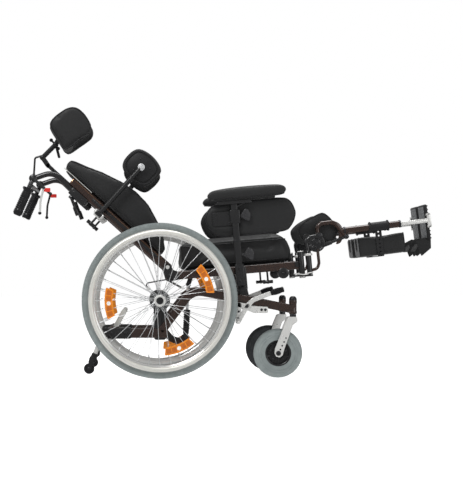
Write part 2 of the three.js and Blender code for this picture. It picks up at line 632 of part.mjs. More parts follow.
/** One curved reflector, clipped across the spokes. */
function reflector(side, angle) {
  const sweep = degrees(wheel.reflectorSweep);
  const centre = degrees(angle);
  const steps = 4;
  const outline = [];
  for (const [offset, hand] of [[-wheel.reflectorHeight / 2, 1], [wheel.reflectorHeight / 2, -1]]) {
    for (let i = 0; i <= steps; i += 1) {
      const turn = centre + hand * sweep * (i / steps - 0.5);
      const radius = wheel.radius - wheel.reflectorInset + offset;
      outline.push([radius * Math.cos(turn), wheel.radius + radius * Math.sin(turn)]);
    }
  }
  const half = wheel.reflectorThick / 2;
  const y = side * (wheel.planeY + half);
  return panel(outline, y - half, y + half);
}

/** The handrim, on short tabs that bolt to the side of the rim. */
function handrimRing(side) {
  const count = handrim.tubeSides;
  const profile = [];
  for (let i = 0; i < count; i += 1) {
    const turn = (2 * Math.PI * (i + 0.5)) / count;
    profile.push([handrimRadius + handrim.tubeRadius * Math.cos(turn), handrim.tubeRadius * Math.sin(turn)]);
  }
  const y = side * (wheel.planeY + handrim.offsetY);
  const ring = turnedY(profile, wheel.sides, 0, y, wheel.radius);
  const tabs = [];
  for (let i = 0; i < handrim.tabs; i += 1) {
    const turn = (2 * Math.PI * (i + 0.5)) / handrim.tabs;
    const spot = (radius, out) => [radius * Math.cos(turn), side * out,
      wheel.radius + radius * Math.sin(turn)];
    const inner = wheel.planeY + wheel.rimWidth / 2 + gap;
    const middle = inner + handrim.tabFoot / 2;
    tabs.push(rod(spot(rimSide, inner), spot(rimSide, inner + handrim.tabFoot), handrim.tabRadius, 4));
    tabs.push(rod(spot(rimSide, middle), spot(handrimRadius, wheel.planeY + handrim.offsetY),
      handrim.tabRadius, 4));
  }
  return join(ring, ...tabs);
}

for (const [name, side] of sides) {
  const axle = pivot(wheelchair, `${name}_wheel_pivot`, at(0, side * wheel.planeY, wheel.radius));
  const built = join(rim(side), hub(side), ...spokes(side),
    ...reflectorAngles.map((angle) => reflector(side, angle)));
  add(axle, `${name}_rear_tyre`, rearTyre(side), materials.tyre);
  add(axle, `${name}_rear_wheel`, built, materials.silver);
  add(axle, `${name}_handrim`, handrimRing(side), materials.silver);
}

// Castors
const castorAxleX = castor.x - castor.trail;
const legInner = castor.width / 2 + castor.sideClear;

/** The fork: a stem, a bent crown, and two slanting legs with a row of axle holes. */
function castorFork(side) {
  const y = side * castorY;
  const crownLow = castor.crownTop - castor.crownThick;
  const legOuter = legInner + castor.legThick;
  const bottom = [castorAxleX, castor.radius];
  const top = [castor.x - castor.legThick, castor.crownTop - castor.crownDrop];
  const length = Math.hypot(top[0] - bottom[0], top[1] - bottom[1]);
  const step = [(top[0] - bottom[0]) / length, (top[1] - bottom[1]) / length];
  const legs = [-1, 1].map((hand) => link(bottom, top, castor.legWidth, y + hand * legInner,
    y + hand * legOuter));
  const crown = tube([
    [top[0], y - legOuter + castor.legThick / 2, top[1]],
    [castor.x, y - legOuter + castor.legThick / 2, crownLow + castor.crownThick / 2],
    [castor.x, y + legOuter - castor.legThick / 2, crownLow + castor.crownThick / 2],
    [top[0], y + legOuter - castor.legThick / 2, top[1]],
  ], { width: castor.legWidth, height: castor.crownThick, bend: castor.legWidth / 2, sides: 4,
  across: at(1, 0, 0) });
  const stem = discZ(castor.x, y, crownLow, castor.housingTop - 2 * gap, castor.stemRadius);
  const collar = discZ(castor.x, y, crownLow, castor.housingBottom - gap, castor.housingRadius * 0.8);
  const pin = discY(bottom[0], bottom[1], y - legOuter, y + legOuter, castor.pinRadius, pinSides);
  const holes = [];
  for (let i = 1; i <= castor.holes; i += 1) {
    const [x, z] = [bottom[0] + step[0] * castor.holePitch * i, bottom[1] + step[1] * castor.holePitch * i];
    holes.push(discY(x, z, y - legOuter - overrun, y + legOuter + overrun, castor.holeRadius, 5));
  }
  return cut(join(...legs, crown, stem, collar, pin), ...holes);
}

function castorTyre(side) {
  const half = castor.width / 2;
  const inner = castor.hubRadius + gap;
  const shoulder = castor.radius - castor.treadInset;
  const profile = [[inner, -half * 0.8], [shoulder, -half], [castor.radius, -half * 0.55],
    [castor.radius, half * 0.55], [shoulder, half], [inner, half * 0.8]];
  const y = side * castorY;
  return turnedY(profile, castor.sides, castorAxleX, y, castor.radius);
}

function castorHub(side) {
  const { bore, hubRadius, hubWidth, hubBossRadius } = castor;
  const end = legInner - 2 * gap;
  const y = (offset) => offset + end;
  const web = hubWidth / 4;
  const profile = [[bore, y(-end)], [hubBossRadius, y(-end)], [hubRadius * 0.8, y(-web)],
    [hubRadius, y(-hubWidth / 2)], [hubRadius, y(hubWidth / 2)],
    [hubRadius * 0.8, y(web)], [hubBossRadius, y(end)], [bore, y(end)]];
  const from = side * castorY - end;
  return turnedY(profile, castor.sides, castorAxleX, from, castor.radius);
}

for (const [name, side] of sides) {
  const swivel = pivot(wheelchair, `${name}_castor_swivel`,
    at(castor.x, side * castorY, castor.housingBottom));
  add(swivel, `${name}_castor_fork`, castorFork(side), materials.silver);
  const axle = pivot(swivel, `${name}_castor_pivot`, at(castorAxleX, side * castorY, castor.radius));
  add(axle, `${name}_castor_tyre`, castorTyre(side), materials.tyre);
  add(axle, `${name}_castor_hub`, castorHub(side), materials.black);
}

// Anti-tip arms
function tipArm(side) {
  const y = side * base.railY;
  const half = tip.eyeWidth / 2;
  const kx = tip.x + (tip.rollerX - tip.x) * tip.knuckleShare;
  const kz = tip.z + (tip.rollerZ - tip.z) * tip.knuckleShare;
  const eye = discY(tip.x, tip.z, y - half, y + half, tip.eyeRadius);
  const stem = rod([tip.x, y, tip.z], [kx, y, kz], tip.tubeRadius);
  const inner = tip.rollerWidth / 2 + 2 * gap;
  const outer = inner + tip.forkThick;
  const knuckle = discY(kx, kz, y - outer, y + outer, tip.knuckleRadius);
  const fork = [-1, 1].map((hand) => (
    link([kx, kz], [tip.rollerX, tip.rollerZ], tip.knuckleRadius, y + hand * inner, y + hand * outer)));
  const pin = discY(tip.rollerX, tip.rollerZ, y - outer, y + outer, tip.pinRadius, pinSides);
  const bore = drillY(tip.x, tip.z, y - half - overrun, y + half + overrun, tip.bore);
  const clearance = discY(tip.rollerX, tip.rollerZ, y - inner, y + inner,
    tip.rollerRadius + tip.pinRadius / 2);
  return join(cut(join(eye, stem, knuckle, ...fork), bore, clearance), pin);
}

function tipRoller(side) {
  const y = side * base.railY - tip.rollerWidth / 2;
  const { bore, rollerRadius: r, rollerWidth: w } = tip;
  const profile = [[bore, 0], [r * 0.8, 0], [r, w * 0.2], [r, w * 0.8], [r * 0.8, w], [bore, w]];
  return turnedY(profile, 16, tip.rollerX, y, tip.rollerZ);
}

for (const [name, side] of sides) {
  const hinge = pivot(wheelchair, `${name}_anti_tip_pivot`, at(tip.x, side * base.railY, tip.z));
  add(hinge, `${name}_anti_tip_arm`, tipArm(side), materials.black);
  const roller = pivot(hinge, `${name}_anti_tip_roller_pivot`,
    at(tip.rollerX, side * base.railY, tip.rollerZ));
  add(roller, `${name}_anti_tip_roller`, tipRoller(side), materials.black);
}

// Wheel locks
const lockFace = railOuter + gap;
const leverFace = lockFace + lock.plateThick + gap;
const lockX = wheel.radius + lock.ahead;
const elbow = [lockX + lock.elbowAhead, lock.z + lock.elbowUp];
const shoeAt = [lockX - lock.shoeBack, lock.z - lock.shoeDrop];
const armEnd = [lockX + lock.armAhead, lock.z + lock.armUp];
const gripEnd = [lockX + lock.gripAhead, lock.z + lock.gripUp];

/** The lock's bracket on the side tube, with two bolts and the lever's pin. */
function lockBracket(side) {
  const outer = lockFace + lock.plateThick;
  const low = lock.z - lock.plateHeight;
  const high = lock.z + lock.saddleLift;
  const body = panel([
    [lockX - 2 * lock.pinRadius, lock.z + 2 * lock.pinRadius],
    [lockX - 2 * lock.pinRadius, lock.z - 2 * lock.pinRadius],
    [lockX + lock.plateHeight, low],
    [lockX + lock.plateLength, low],
    [lockX + lock.plateLength, high],
    [lockX + lock.plateHeight, lock.z + 2 * lock.pinRadius],
  ], side * lockFace, side * outer);
  const saddleInner = side * base.railY;
  const saddle = block([lockX + lock.plateHeight, Math.min(saddleInner, side * outer),
    low + lock.plateThick],
    [lockX + lock.plateLength, Math.max(saddleInner, side * outer), high]);
  const pin = discY(lockX, lock.z, side * lockFace, side * (leverFace + lock.leverThick + gap),
    lock.pinRadius, pinSides);
  const bolts = [1, 2].map((i) => discY(lockX + lock.plateLength - i * 2.6 * lock.boltRadius,
    low + lock.plateHeight / 2,
    side * lockFace, side * (outer + lock.boltHeight), lock.boltRadius, 6));
  return cut(join(body, saddle, pin, ...bolts), sideTube(side, gap));
}

/** The hand lever, cranked at its pin, with the shoe that presses on the tyre. */
function lockLever(side) {
  const inner = side * leverFace;
  const outer = side * (leverFace + lock.leverThick);
  const pinSide = [lockX, lock.z];
  const arm1 = link(pinSide, elbow, lock.armWidth, inner, outer);
  const arm2 = link(elbow, armEnd, lock.armWidth * 0.7, inner, outer);
  const shoeArm = link(pinSide, shoeAt, lock.armWidth, inner, outer);
  const shoe = discY(...shoeAt, inner, side * (leverFace + lock.shoeWidth), lock.shoeRadius);
  const middle = side * (leverFace + lock.leverThick / 2);
  const direction = at(gripEnd[0] - armEnd[0], 0, gripEnd[1] - armEnd[1]);
  const length = direction.length();
  const r = lock.gripRadius;
  const grip = turned([[0, -lock.gripNeck], [r * 0.6, -lock.gripNeck], [r * 0.8, length * 0.2],
    [r, length * 0.7],
    [r * 0.7, length], [0, length]], 10, [armEnd[0], middle, armEnd[1]], [gripEnd[0], middle, gripEnd[1]]);
  const bore = drillY(lockX, lock.z, side * lockFace, side * (leverFace + 2 * lock.leverThick), lock.bore);
  return cut(join(arm1, arm2, shoeArm, shoe, grip), bore);
}

for (const [name, side] of sides) {
  add(wheelchair, `${name}_wheel_lock_bracket`, lockBracket(side), materials.silver);
  const hinge = pivot(wheelchair, `${name}_wheel_lock_pivot`, at(lockX, side * leverFace, lock.z));
  add(hinge, `${name}_wheel_lock_lever`, lockLever(side), materials.silver);
}

// Brake cables, from the drum over the rail's shoulder
for (const [name, side] of sides) {
  const y = side * cableY;
  const anchor = [cable.hubX, y, wheel.radius + cable.hubUp];
  const elbowAt = [cable.elbowX, y, wheel.radius + cable.elbowUp];
  const route = [anchor, elbowAt, [cable.frameX, y, cable.frameZ], [cable.endX, y, cable.endZ]];
  const body = tube(route, { width: 2 * cable.radius, bend: cable.bend, sides: 6 });
  add(wheelchair, `${name}_brake_cable`, body, materials.black);
}

// Tilt spring
const springUp = at(spring.topX - spring.bottomX, 0, spring.topZ - spring.bottomZ).normalize();
const onSpring = (distance) => [spring.bottomX + springUp.x * distance, spring.y,
  spring.bottomZ + springUp.z * distance];
const springLength = Math.hypot(spring.topX - spring.bottomX, spring.topZ - spring.bottomZ);

function springBody() {
  const half = spring.eyeWidth / 2;
  const eye = discY(spring.bottomX, spring.bottomZ, spring.y - half, spring.y + half, spring.eyeRadius);
  const neck = rod(onSpring(0), onSpring(2 * spring.eyeRadius), spring.rodRadius);
  const start = 1.5 * spring.eyeRadius;
  const barrel = rod(onSpring(start), onSpring(start + spring.bodyLength), spring.bodyRadius, 14);
  const bore = drill(onSpring(start + spring.bodyRadius / 4), onSpring(start + spring.bodyLength + overrun),
    spring.rodBore);
  const [low, high] = [spring.y - half - overrun, spring.y + half + overrun];
  const eyeBore = drillY(spring.bottomX, spring.bottomZ, low, high, spring.bore);
  return cut(join(eye, neck, barrel), bore, eyeBore);
}

function springRod() {
  const half = spring.eyeWidth / 2;
  const start = 1.5 * spring.eyeRadius + spring.bodyLength * spring.insideShare;
  const bar = rod(onSpring(start), onSpring(springLength), spring.rodRadius);
  return join(bar, discY(spring.topX, spring.topZ, spring.y - half, spring.y + half, spring.eyeRadius));
}

const springHinge = pivot(wheelchair, 'tilt_spring_pivot', at(spring.bottomX, spring.y, spring.bottomZ));
add(springHinge, 'tilt_spring_body', springBody(), materials.black);
add(springHinge, 'tilt_spring_rod', springRod(), materials.silver);

// Seat
const tiltPivot = pivot(wheelchair, 'tilt_pivot', at(tilt.x, 0, tilt.z));
const railFace = seat.railWidth / 2;
const railTop = seat.railHeight / 2;
const panTop = railTop + seat.panThick * 0.75;

/** The plate that carries the back's pin, on the outer face of the rail. */
function reclinePlate(side) {
  const inner = seat.railY + railFace - sink;
  const outer = inner + sink + seat.reclinePlateThick;
  const body = panel([
    [-seat.plateLength * 0.2, seat.reclineH + seat.reclinePinRadius],
    [-seat.plateLength * 0.26, seat.reclineH - seat.reclinePinRadius],
    [-seat.plateLength * 0.12, -railTop],
    [seat.plateLength * 0.3, -seat.plateDrop],
    [seat.plateLength * 0.74, -railTop],
    [seat.plateLength * 0.74, railTop],
    [seat.plateLength * 0.16, seat.reclineH + 1.5 * seat.reclinePinRadius],
  ], side * inner, side * outer);
  const pin = discY(0, seat.reclineH, side * (seat.railY - railFace), side * outer, seat.reclinePinRadius);
  return join(body, pin);
}

/** The socket that the armrest's post slides in, on an arm from the rail. */
function armSocket(side) {
  const halfX = arm.postDepth / 2 + gap;
  const halfY = arm.postWidth / 2 + gap;
  const y = side * arm.y;
  const sleeve = block(
    [arm.along - halfX - arm.wall, y - halfY - arm.wall, arm.socketBottom],
    [arm.along + halfX + arm.wall, y + halfY + arm.wall, arm.socketTop],
  );
  const inner = side * (seat.railY + railFace - sink);
  const outer = side * (arm.y - halfY - arm.wall + sink);
  const bridge = block(
    [arm.along - halfX, Math.min(inner, outer), -railTop / 2],
    [arm.along + halfX, Math.max(inner, outer), railTop],
  );
  const hollow = block([arm.along - halfX, y - halfY, arm.socketBottom - overrun],
    [arm.along + halfX, y + halfY, arm.socketTop + overrun]);
  return cut(join(sleeve, bridge), hollow);
}

/** The upright at the front of the rail, with the pin and the collar that the leg support swings in. */
function hangerMount(side) {
  const y = side * seat.postY;
  const post = rod([seat.postAlong, y, seat.postBottom], [seat.postAlong, y, seat.postTop], seat.postRadius);
  const ears = block(
    [railEnd - seat.postRadius, Math.min(side * seat.railY, y), -railTop / 2],
    [seat.postAlong, Math.max(side * seat.railY, y), railTop / 2],
  );
  const lugTop = hanger.bottom - gap;
  const lug = block(
    [seat.postAlong, y - hanger.postRadius, lugTop - hanger.lugThick],
    [hangerAlong + hanger.postRadius, y + hanger.postRadius, lugTop],
  );
  const pin = rod([hangerAlong, y, lugTop - sink], [hangerAlong, y, hanger.collarH], hanger.pinRadius);
  const collarSides = 10;
  const bore = boreRadius(hanger.postRadius + gap, collarSides);
  const outer = bore + hanger.collarWall;
  const collarEnd = hanger.collarH + hanger.collarHeight;
  const ring = turned([[bore, 0], [outer, 0], [outer, hanger.collarHeight], [bore, hanger.collarHeight]],
    collarSides,
    [hangerAlong, y, hanger.collarH], [hangerAlong, y, collarEnd]);
  const neck = block([seat.postAlong, y - hanger.collarWall, hanger.collarH],
    [hangerAlong - bore - sink, y + hanger.collarWall, collarEnd]);
  return join(post, ears, lug, pin, ring, neck);
}

/** The hub and the T knob that hang under the rail's front. */
function underRail(side) {
  const y = side * seat.railY;
  const hubBody = rod([seat.hubAlong, y - seat.hubWidth / 2, -seat.hubDrop],
    [seat.hubAlong, y + seat.hubWidth / 2, -seat.hubDrop],
    seat.hubRadius, 10);
  const stem = rod([seat.knobAlong, y, 0], [seat.knobAlong, y, -seat.knobDrop], seat.knobStem, 8);
  const half = seat.knobLength / 2;
  const bar = rod([seat.knobAlong - half, y, -seat.knobDrop], [seat.knobAlong + half, y, -seat.knobDrop],
    seat.knobRadius, 8);
  return join(hubBody, stem, bar);
}

/** The hanging lug, with a bore for the tilt pin. */
function tiltEar(side) {
  const place = at(tilt.x, 0, tilt.z).applyMatrix4(seatFrame.clone().invert());
  const inner = side * (seat.railY - railFace);
  const outer = side * (base.railY - base.tubeWidth / 2 - tilt.lugThick - gap);
  const body = link([place.x, place.z], [place.x, 0], 2 * tilt.lugRadius, inner, outer);
  const bore = drillY(place.x, place.z, inner - side * overrun, outer + side * overrun,
    tilt.pinRadius + tilt.clear);
  return cut(body, bore);
}

/** The two cheeks that stand beside the tilt spring's upper eye, which is left open. */
function springCheeks() {
  const top = at(spring.topX, 0, spring.topZ).applyMatrix4(seatFrame.clone().invert());
  const inner = spring.eyeWidth / 2 + spring.cheekClear;
  return [-1, 1].map((hand) => link([top.x, top.z], [seat.rearCross, 0], 1.6 * spring.eyeRadius,
    spring.y + hand * inner, spring.y + hand * (inner + spring.cheekThick)));
}

function seatFrameBody() {
  const halves = sides.map(([, side]) => {
    const y = side * seat.railY;
    const rail = block([seat.railStart + seat.reclinePinRadius * 2, y - railFace, -railTop],
      [railEnd, y + railFace, railTop]);
    return join(rail, reclinePlate(side), armSocket(side), hangerMount(side), underRail(side),
      tiltEar(side));
  });
  const crosses = [seat.rearCross, seat.frontCross].map((along) => (
    rod([along, -seat.railY, 0], [along, seat.railY, 0], seat.crossRadius)));
  const inset = seat.railY;
  const pan = block([seat.panStart, -inset, panTop - seat.panThick], [seat.panEnd, inset, panTop]);
  return inSeat(join(...halves, ...crosses, pan, ...springCheeks()));
}
add(tiltPivot, 'seat_frame', seatFrameBody(), materials.frame);

/** The seat cushion: crowned on top, with its sides drawn in and a rounded front. */
function seatCushion() {
  const { start, end, height, halfWidth: half, crown, side } = cushion;
  const bottom = panTop + gap;
  const outline = outlineOf(cushionShares, start, bottom, end - start, height - crown);
  const full = height / (height - crown);
  const centre = [(start + end) / 2, bottom];
  const stations = [
    { y: -half, along: 0.97, up: 0.86 }, { y: -half + side / 2, along: 1, up: 0.97 },
    { y: -half + 3 * side, along: 1, up: full * 0.985 },
    { y: 0, along: 1, up: full },
    { y: half - 3 * side, along: 1, up: full * 0.985 }, { y: half - side / 2, along: 1, up: 0.97 },
    { y: half, along: 0.97, up: 0.86 },
  ];
  return inSeat(stuffed(outline, centre, stations));
}
add(tiltPivot, 'seat_cushion', seatCushion(), materials.vinyl);

// Armrests
/** The post, with its knobs, the side pad's plate and the arm pad's carrier on top. */
function armPost(side) {
  const y = side * arm.y;
  const halfX = arm.postDepth / 2;
  const halfY = arm.postWidth / 2;
  const topFace = armPad.bottom - gap;
  const post = block([arm.along - halfX, y - halfY, arm.postBottom],
    [arm.along + halfX, y + halfY, topFace]);
  const knobs = [arm.upperKnobH, arm.lowerKnobH].map((h) => join(
    block([arm.along, y - halfY / 2, h - halfY / 2], [arm.knobAlong, y + halfY / 2, h + halfY / 2]),
    discY(arm.knobAlong, h, y - arm.knobWidth / 2, y + arm.knobWidth / 2, arm.knobRadius, 10),
  ));
  const innerFace = arm.y - halfY;
  const plateInner = innerFace - arm.plateThick;
  const carrier = block(
    [arm.plateStart, Math.min(side * plateInner, side * (innerFace + sink)),
    arm.plateH - arm.plateHeight / 2],
    [arm.along + halfX, Math.max(side * plateInner, side * (innerFace + sink)),
    arm.plateH + arm.plateHeight / 2],
  );
  const half = arm.topLength / 2;
  const top = block([arm.along - half, y - arm.topWidth / 2, topFace - arm.topThick],
    [arm.along + half, y + arm.topWidth / 2, topFace]);
  return inSeat(join(post, ...knobs, carrier, top));
}

function armPadBody(side) {
  const outline = outlineOf(armPadShares, armPad.start, armPad.bottom, armPad.end - armPad.start,
    armPad.height);
  const y = side * armPad.centreY;
  return inSeat(pad(outline, y - armPad.width / 2, y + armPad.width / 2));
}

function sidePadBody(side) {
  const outline = outlineOf(sidePadShares, sidePad.start, sidePad.bottom, sidePad.end - sidePad.start,
    sidePad.height);
  return inSeat(pad(outline, side * sidePad.innerY, side * (sidePad.innerY + sidePad.thick - gap)));
}

for (const [name, side] of sides) {
  const slide = pivot(tiltPivot, `${name}_armrest_slide`, onSeat(arm.along, side * arm.y, arm.socketTop));
  add(slide, `${name}_armrest_post`, armPost(side), materials.black);
  add(slide, `${name}_armrest_pad`, armPadBody(side), materials.vinyl);
  add(slide, `${name}_side_pad`, sidePadBody(side), materials.vinyl);
}

// Back
const reclinePivot = pivot(tiltPivot, 'recline_pivot', recline);

/** A push tube's fixed part: up behind the cane, over in an arch, and down to its toothed joint. */
function pushTube(side) {
  const y = side * back.caneY;
  const foot = onBack(-back.pushOffset, y, back.pushStart);
  const route = [[foot.x, y, foot.z], [back.archX, y, back.archZ], [push.x, y, push.z]];
  const tooth = discY(push.x, push.z, side * (push.y - push.discThick / 2 - gap),
    side * (back.caneY - back.pushTubeRadius),
    push.discRadius, 10);
  return join(tube(route, { width: 2 * back.pushTubeRadius, bend: back.pushBend }), tooth);
}

/** The silver clamp on the cane with the pin that the side support's arm swings on. */
function lateralClamp(side) {
  const half = back.clampHeight / 2;
  const inner = side * (back.caneY - back.caneWidth / 2);
  const outer = side * (lateral.y + lateral.hubRadius);
  const rear = -back.caneDepth / 2 - back.clampDepth;
  const yLow = Math.min(inner, outer);
  const yHigh = Math.max(inner, outer);
  const hubHalf = lateral.hubLength / 2 + gap;
  const lugs = [-1, 1].map((hand) => {
    const [low, high] = hand < 0 ? [-hubHalf - lateral.lugThick, -hubHalf] : [hubHalf,
      hubHalf + lateral.lugThick];
    return block([lateral.offset - lateral.hubRadius, yLow, lateral.up + low],
      [lateral.offset + lateral.hubRadius * 0.6, yHigh, lateral.up + high]);
  });
  const jaw = side * (lateral.y - lateral.hubRadius - lateral.tubeRadius);
  const body = block([rear, Math.min(inner, jaw), lateral.up - half],
    [-back.caneDepth / 2 + sink, Math.max(inner, jaw), lateral.up + half]);
  const pin = rod([lateral.offset, side * lateral.y, lateral.up - hubHalf - sink],
    [lateral.offset, side * lateral.y, lateral.up + hubHalf + sink], lateral.pinRadius);
  const knobX = rear - lateral.knobDrop;
  const knobY = side * back.caneY;
  const stem = rod([rear + sink, knobY, lateral.up], [knobX, knobY, lateral.up], lateral.stemRadius, 8);
  const knob = rod([knobX, knobY, lateral.up - lateral.knobLength / 2],
    [knobX, knobY, lateral.up + lateral.knobLength / 2], lateral.knobRadius, 8);
  return join(body, ...lugs, pin, stem, knob);
}

/** One cane with its track, turned on the recline pin. */
function cane(side) {
  const y = side * back.caneY;
  const round = tube([[0, y, 0], [0, y, back.caneTop]],
    { width: back.caneWidth, height: back.caneDepth, sides: 10 });
  const foot = discY(0, 0, y - back.caneWidth / 2, y + back.caneWidth / 2, back.caneDepth / 2, 10);
  const face = side * (back.caneY + back.caneWidth / 2 - sink);
  const outer = side * (back.caneY + back.caneWidth / 2 - sink + back.trackThick);
  const track = block([-back.trackWidth / 2, Math.min(face, outer), back.trackStart],
    [back.trackWidth / 2, Math.max(face, outer), back.trackEnd]);
  return join(round, foot, track, lateralClamp(side));
}

/** The cross tube's sleeve that the head support's post slides in, with the release block beside it. */
function headSleeve() {
  const halfY = head.postWidth / 2 + head.sleeveWall;
  const halfX = head.postDepth / 2 + head.sleeveWall;
  const centre = back.upperCross;
  const half = head.sleeveHeight / 2;
  return block([head.postOffset - halfX, -halfY, centre - half],
    [head.postOffset + halfX, halfY, centre + half]);
}

function backFrameBody() {
  const canes = inBack(join(...sides.map(([, side]) => cane(side))));
  const crosses = [back.lowerCross, back.upperCross].map((up, i) => {
    const forward = i === 0 ? backPad.rear - 2 * gap - back.shellThick - back.crossRadius : head.postOffset;
    return rod([forward, -back.caneY, up], [forward, back.caneY, up], back.crossRadius);
  });
  const block1 = sides.map(([, side]) => {
    const y = side * back.caneY;
    return block([-back.pushOffset - back.blockDepth, y - back.caneWidth / 2, back.blockStart],
      [0, y + back.caneWidth / 2, back.blockEnd]);
  });
  const hollow = block(
    [head.postOffset - head.postDepth / 2 - gap, -head.postWidth / 2 - gap, head.postStart - overrun],
    [head.postOffset + head.postDepth / 2 + gap, head.postWidth / 2 + gap, head.postEnd],
  );
  const middle = inBack(cut(join(...crosses, headSleeve(), ...block1), hollow));
  const release = sides.map(([, side]) => rod([back.releaseTopX, side * back.caneY, back.releaseTopZ],
    [back.releaseX, side * back.caneY, back.releaseZ], back.releaseRadius, 8));
  const body = join(canes, middle, ...sides.map(([, side]) => pushTube(side)), ...release);
  const bores = sides.map(([, side]) => drillY(recline.x, recline.z,
    side * (back.caneY - back.caneWidth / 2 - overrun),
    side * (back.caneY + back.caneWidth / 2 + overrun), back.pinBore));
  return cut(body, ...bores);
}
add(reclinePivot, 'back_frame', backFrameBody(), materials.frame);

/** The back shell: a plate between the canes with its side edges turned forward. */
function backShell() {
  const half = back.shellHalfWidth;
  const rear = backPad.rear - gap - back.shellThick;
  return inBack(block([rear, -half, back.shellStart], [rear + back.shellThick, half, back.shellEnd]));
}
add(reclinePivot, 'back_shell', backShell(), materials.plastic);

/** The back cushion: deep side bolsters, and a shallower middle to lean on. */
function backCushion() {
  const length = backPad.end - backPad.start;
  const outline = backPadShares.map(([up, forward]) => [backPad.rear + forward * backPad.depth,
    backPad.start + up * length]);
  const centre = [backPad.rear, (backPad.start + backPad.end) / 2];
  const { halfWidth: half, bolster, centreShare } = backPad;
  const middle = centreShare * 1.12;
  const stations = [
    { y: -half, along: 0.9, up: 0.97 }, { y: -half + bolster / 4, along: 1, up: 1 },
    { y: -half + bolster, along: 0.96, up: 1 },
    { y: -half + 1.8 * bolster, along: middle, up: 1 }, { y: 0, along: centreShare, up: 1 },
    { y: half - 1.8 * bolster, along: middle, up: 1 },
    { y: half - bolster, along: 0.96, up: 1 }, { y: half - bolster / 4, along: 1, up: 1 },
    { y: half, along: 0.9, up: 0.97 },
  ];
  return inBack(stuffed(outline, centre, stations));
}
add(reclinePivot, 'back_cushion', backCushion(), materials.vinyl);

// Push bar, its grips and the brake levers
const pushPivot = pivot(reclinePivot, 'push_bar_pivot', at(push.x, 0, push.z));
const pushDown = at(push.endX - push.x, 0, push.endZ - push.z).normalize();
const onPush = (distance, y) => [push.x + pushDown.x * distance, y, push.z + pushDown.z * distance];
const pushLength = Math.hypot(push.endX - push.x, push.endZ - push.z);

/** Both handle tubes, their toothed discs and lever brackets, joined by the cross bar. */
function pushBar() {
  const cross = rod(onPush(push.crossAt, -push.y), onPush(push.crossAt, push.y), push.tubeRadius);
  const halves = sides.map(([, side]) => {
    const y = side * push.y;
    const disc = discY(push.x, push.z, side * (push.y - push.discThick / 2),
      side * (push.y + push.discThick / 2), push.discRadius, 10);
    const neck = rod(onPush(0, y), onPush(push.crossAt, y), push.discThick / 2 - gap);
    const handle = rod(onPush(push.discRadius + gap, y), onPush(pushLength - push.gripEnd, y),
      push.tubeRadius);
    const inner = side * (push.y + push.eyeWidth / 2 + gap);
    const outer = side * (push.y + push.eyeWidth / 2 + gap + push.bracketThick);
    const cheek = link([push.x, push.z], [push.leverX, push.leverZ], push.bracketWidth, inner, outer);
    const stub = discY(push.x, push.z, y, outer, push.bracketWidth / 2);
    const pin = discY(push.leverX, push.leverZ, side * (push.y - push.eyeWidth / 2), outer, push.pinRadius,
      pinSides);
    return join(disc, neck, handle, cheek, stub, pin);
  });
  return join(cross, ...halves);
}

/** A hand grip, closed at its rounded end. */
function pushGrip(side) {
  const y = side * push.y;
  const gripSides = 12;
  const bore = boreRadius(push.tubeRadius + gap, gripSides);
  const length = pushLength - push.gripStart;
  const r = push.gripRadius;
  const floor = length - push.gripEnd + gap;
  const profile = [[bore, 0], [r * 0.82, 0], [r, r * 0.4], [r, length - r * 0.5], [r * 0.6, length],
    [0, length], [0, floor], [bore, floor]];
  return turned(profile, gripSides, onPush(push.gripStart, y), onPush(pushLength, y));
}

/** A brake lever: an eye on its pin, a long finger blade with a ball end, and the red parking tab. */
function brakeLever(side) {
  const y = side * push.y;
  const half = push.eyeWidth / 2;
  const eye = discY(push.leverX, push.leverZ, y - half, y + half, push.eyeRadius, 10);
  const middleX = (push.leverX + push.leverTipX) / 2 - push.leverRadius;
  const middleZ = (push.leverZ + push.leverTipZ) / 2;
  const blade = tube([[push.leverX, y, push.leverZ], [middleX, y, middleZ],
    [push.leverTipX, y, push.leverTipZ]],
    { width: 2 * push.leverRadius, height: 1.6 * push.leverRadius, bend: push.leverRadius * 10, sides: 6 });
  const ball = solid(new THREE.SphereGeometry(push.ballRadius, 8, 6).translate(push.leverTipX, y,
    push.leverTipZ));
  const tab = block([push.leverX, y - push.tabThick / 2, push.leverZ - push.tabHeight],
    [push.leverX + push.tabLength, y + push.tabThick / 2, push.leverZ]);
  const bore = drillY(push.leverX, push.leverZ, y - half - overrun, y + half + overrun, push.bore);
  return cut(join(eye, blade, ball, tab), bore);
}

add(pushPivot, 'push_bar', pushBar(), materials.black);
for (const [name, side] of sides) {
  add(pushPivot, `${name}_push_grip`, pushGrip(side), materials.plastic);
  const lever = pivot(pushPivot, `${name}_brake_lever_pivot`, at(push.leverX, side * push.y, push.leverZ));
  add(lever, `${name}_brake_lever`, brakeLever(side), materials.silver);
}

// Side supports of the trunk
/** The arm: a hub on the clamp's pin and a round tube forward to the pad. */
function lateralArm(side) {
  const y = side * lateral.y;
  const half = lateral.hubLength / 2;
  const hubBody = rod([lateral.offset, y, lateral.up - half], [lateral.offset, y, lateral.up + half],
    lateral.hubRadius, 8);
  const bar = rod([lateral.offset, y, lateral.up], [lateral.reach, y, lateral.up], lateral.tubeRadius);
  const padFace = side * (lateral.padY + lateral.padThick / 2 + lateral.plateThick + gap);
  const boss = rod([lateral.reach, padFace, lateral.up],
    [lateral.reach, y + side * lateral.tubeRadius, lateral.up], lateral.bossRadius, 8);
  const bore = drill([lateral.offset, y, lateral.up - half - overrun],
    [lateral.offset, y, lateral.up + half + overrun], lateral.bore);
  return inBack(cut(join(hubBody, bar, boss), bore));
}

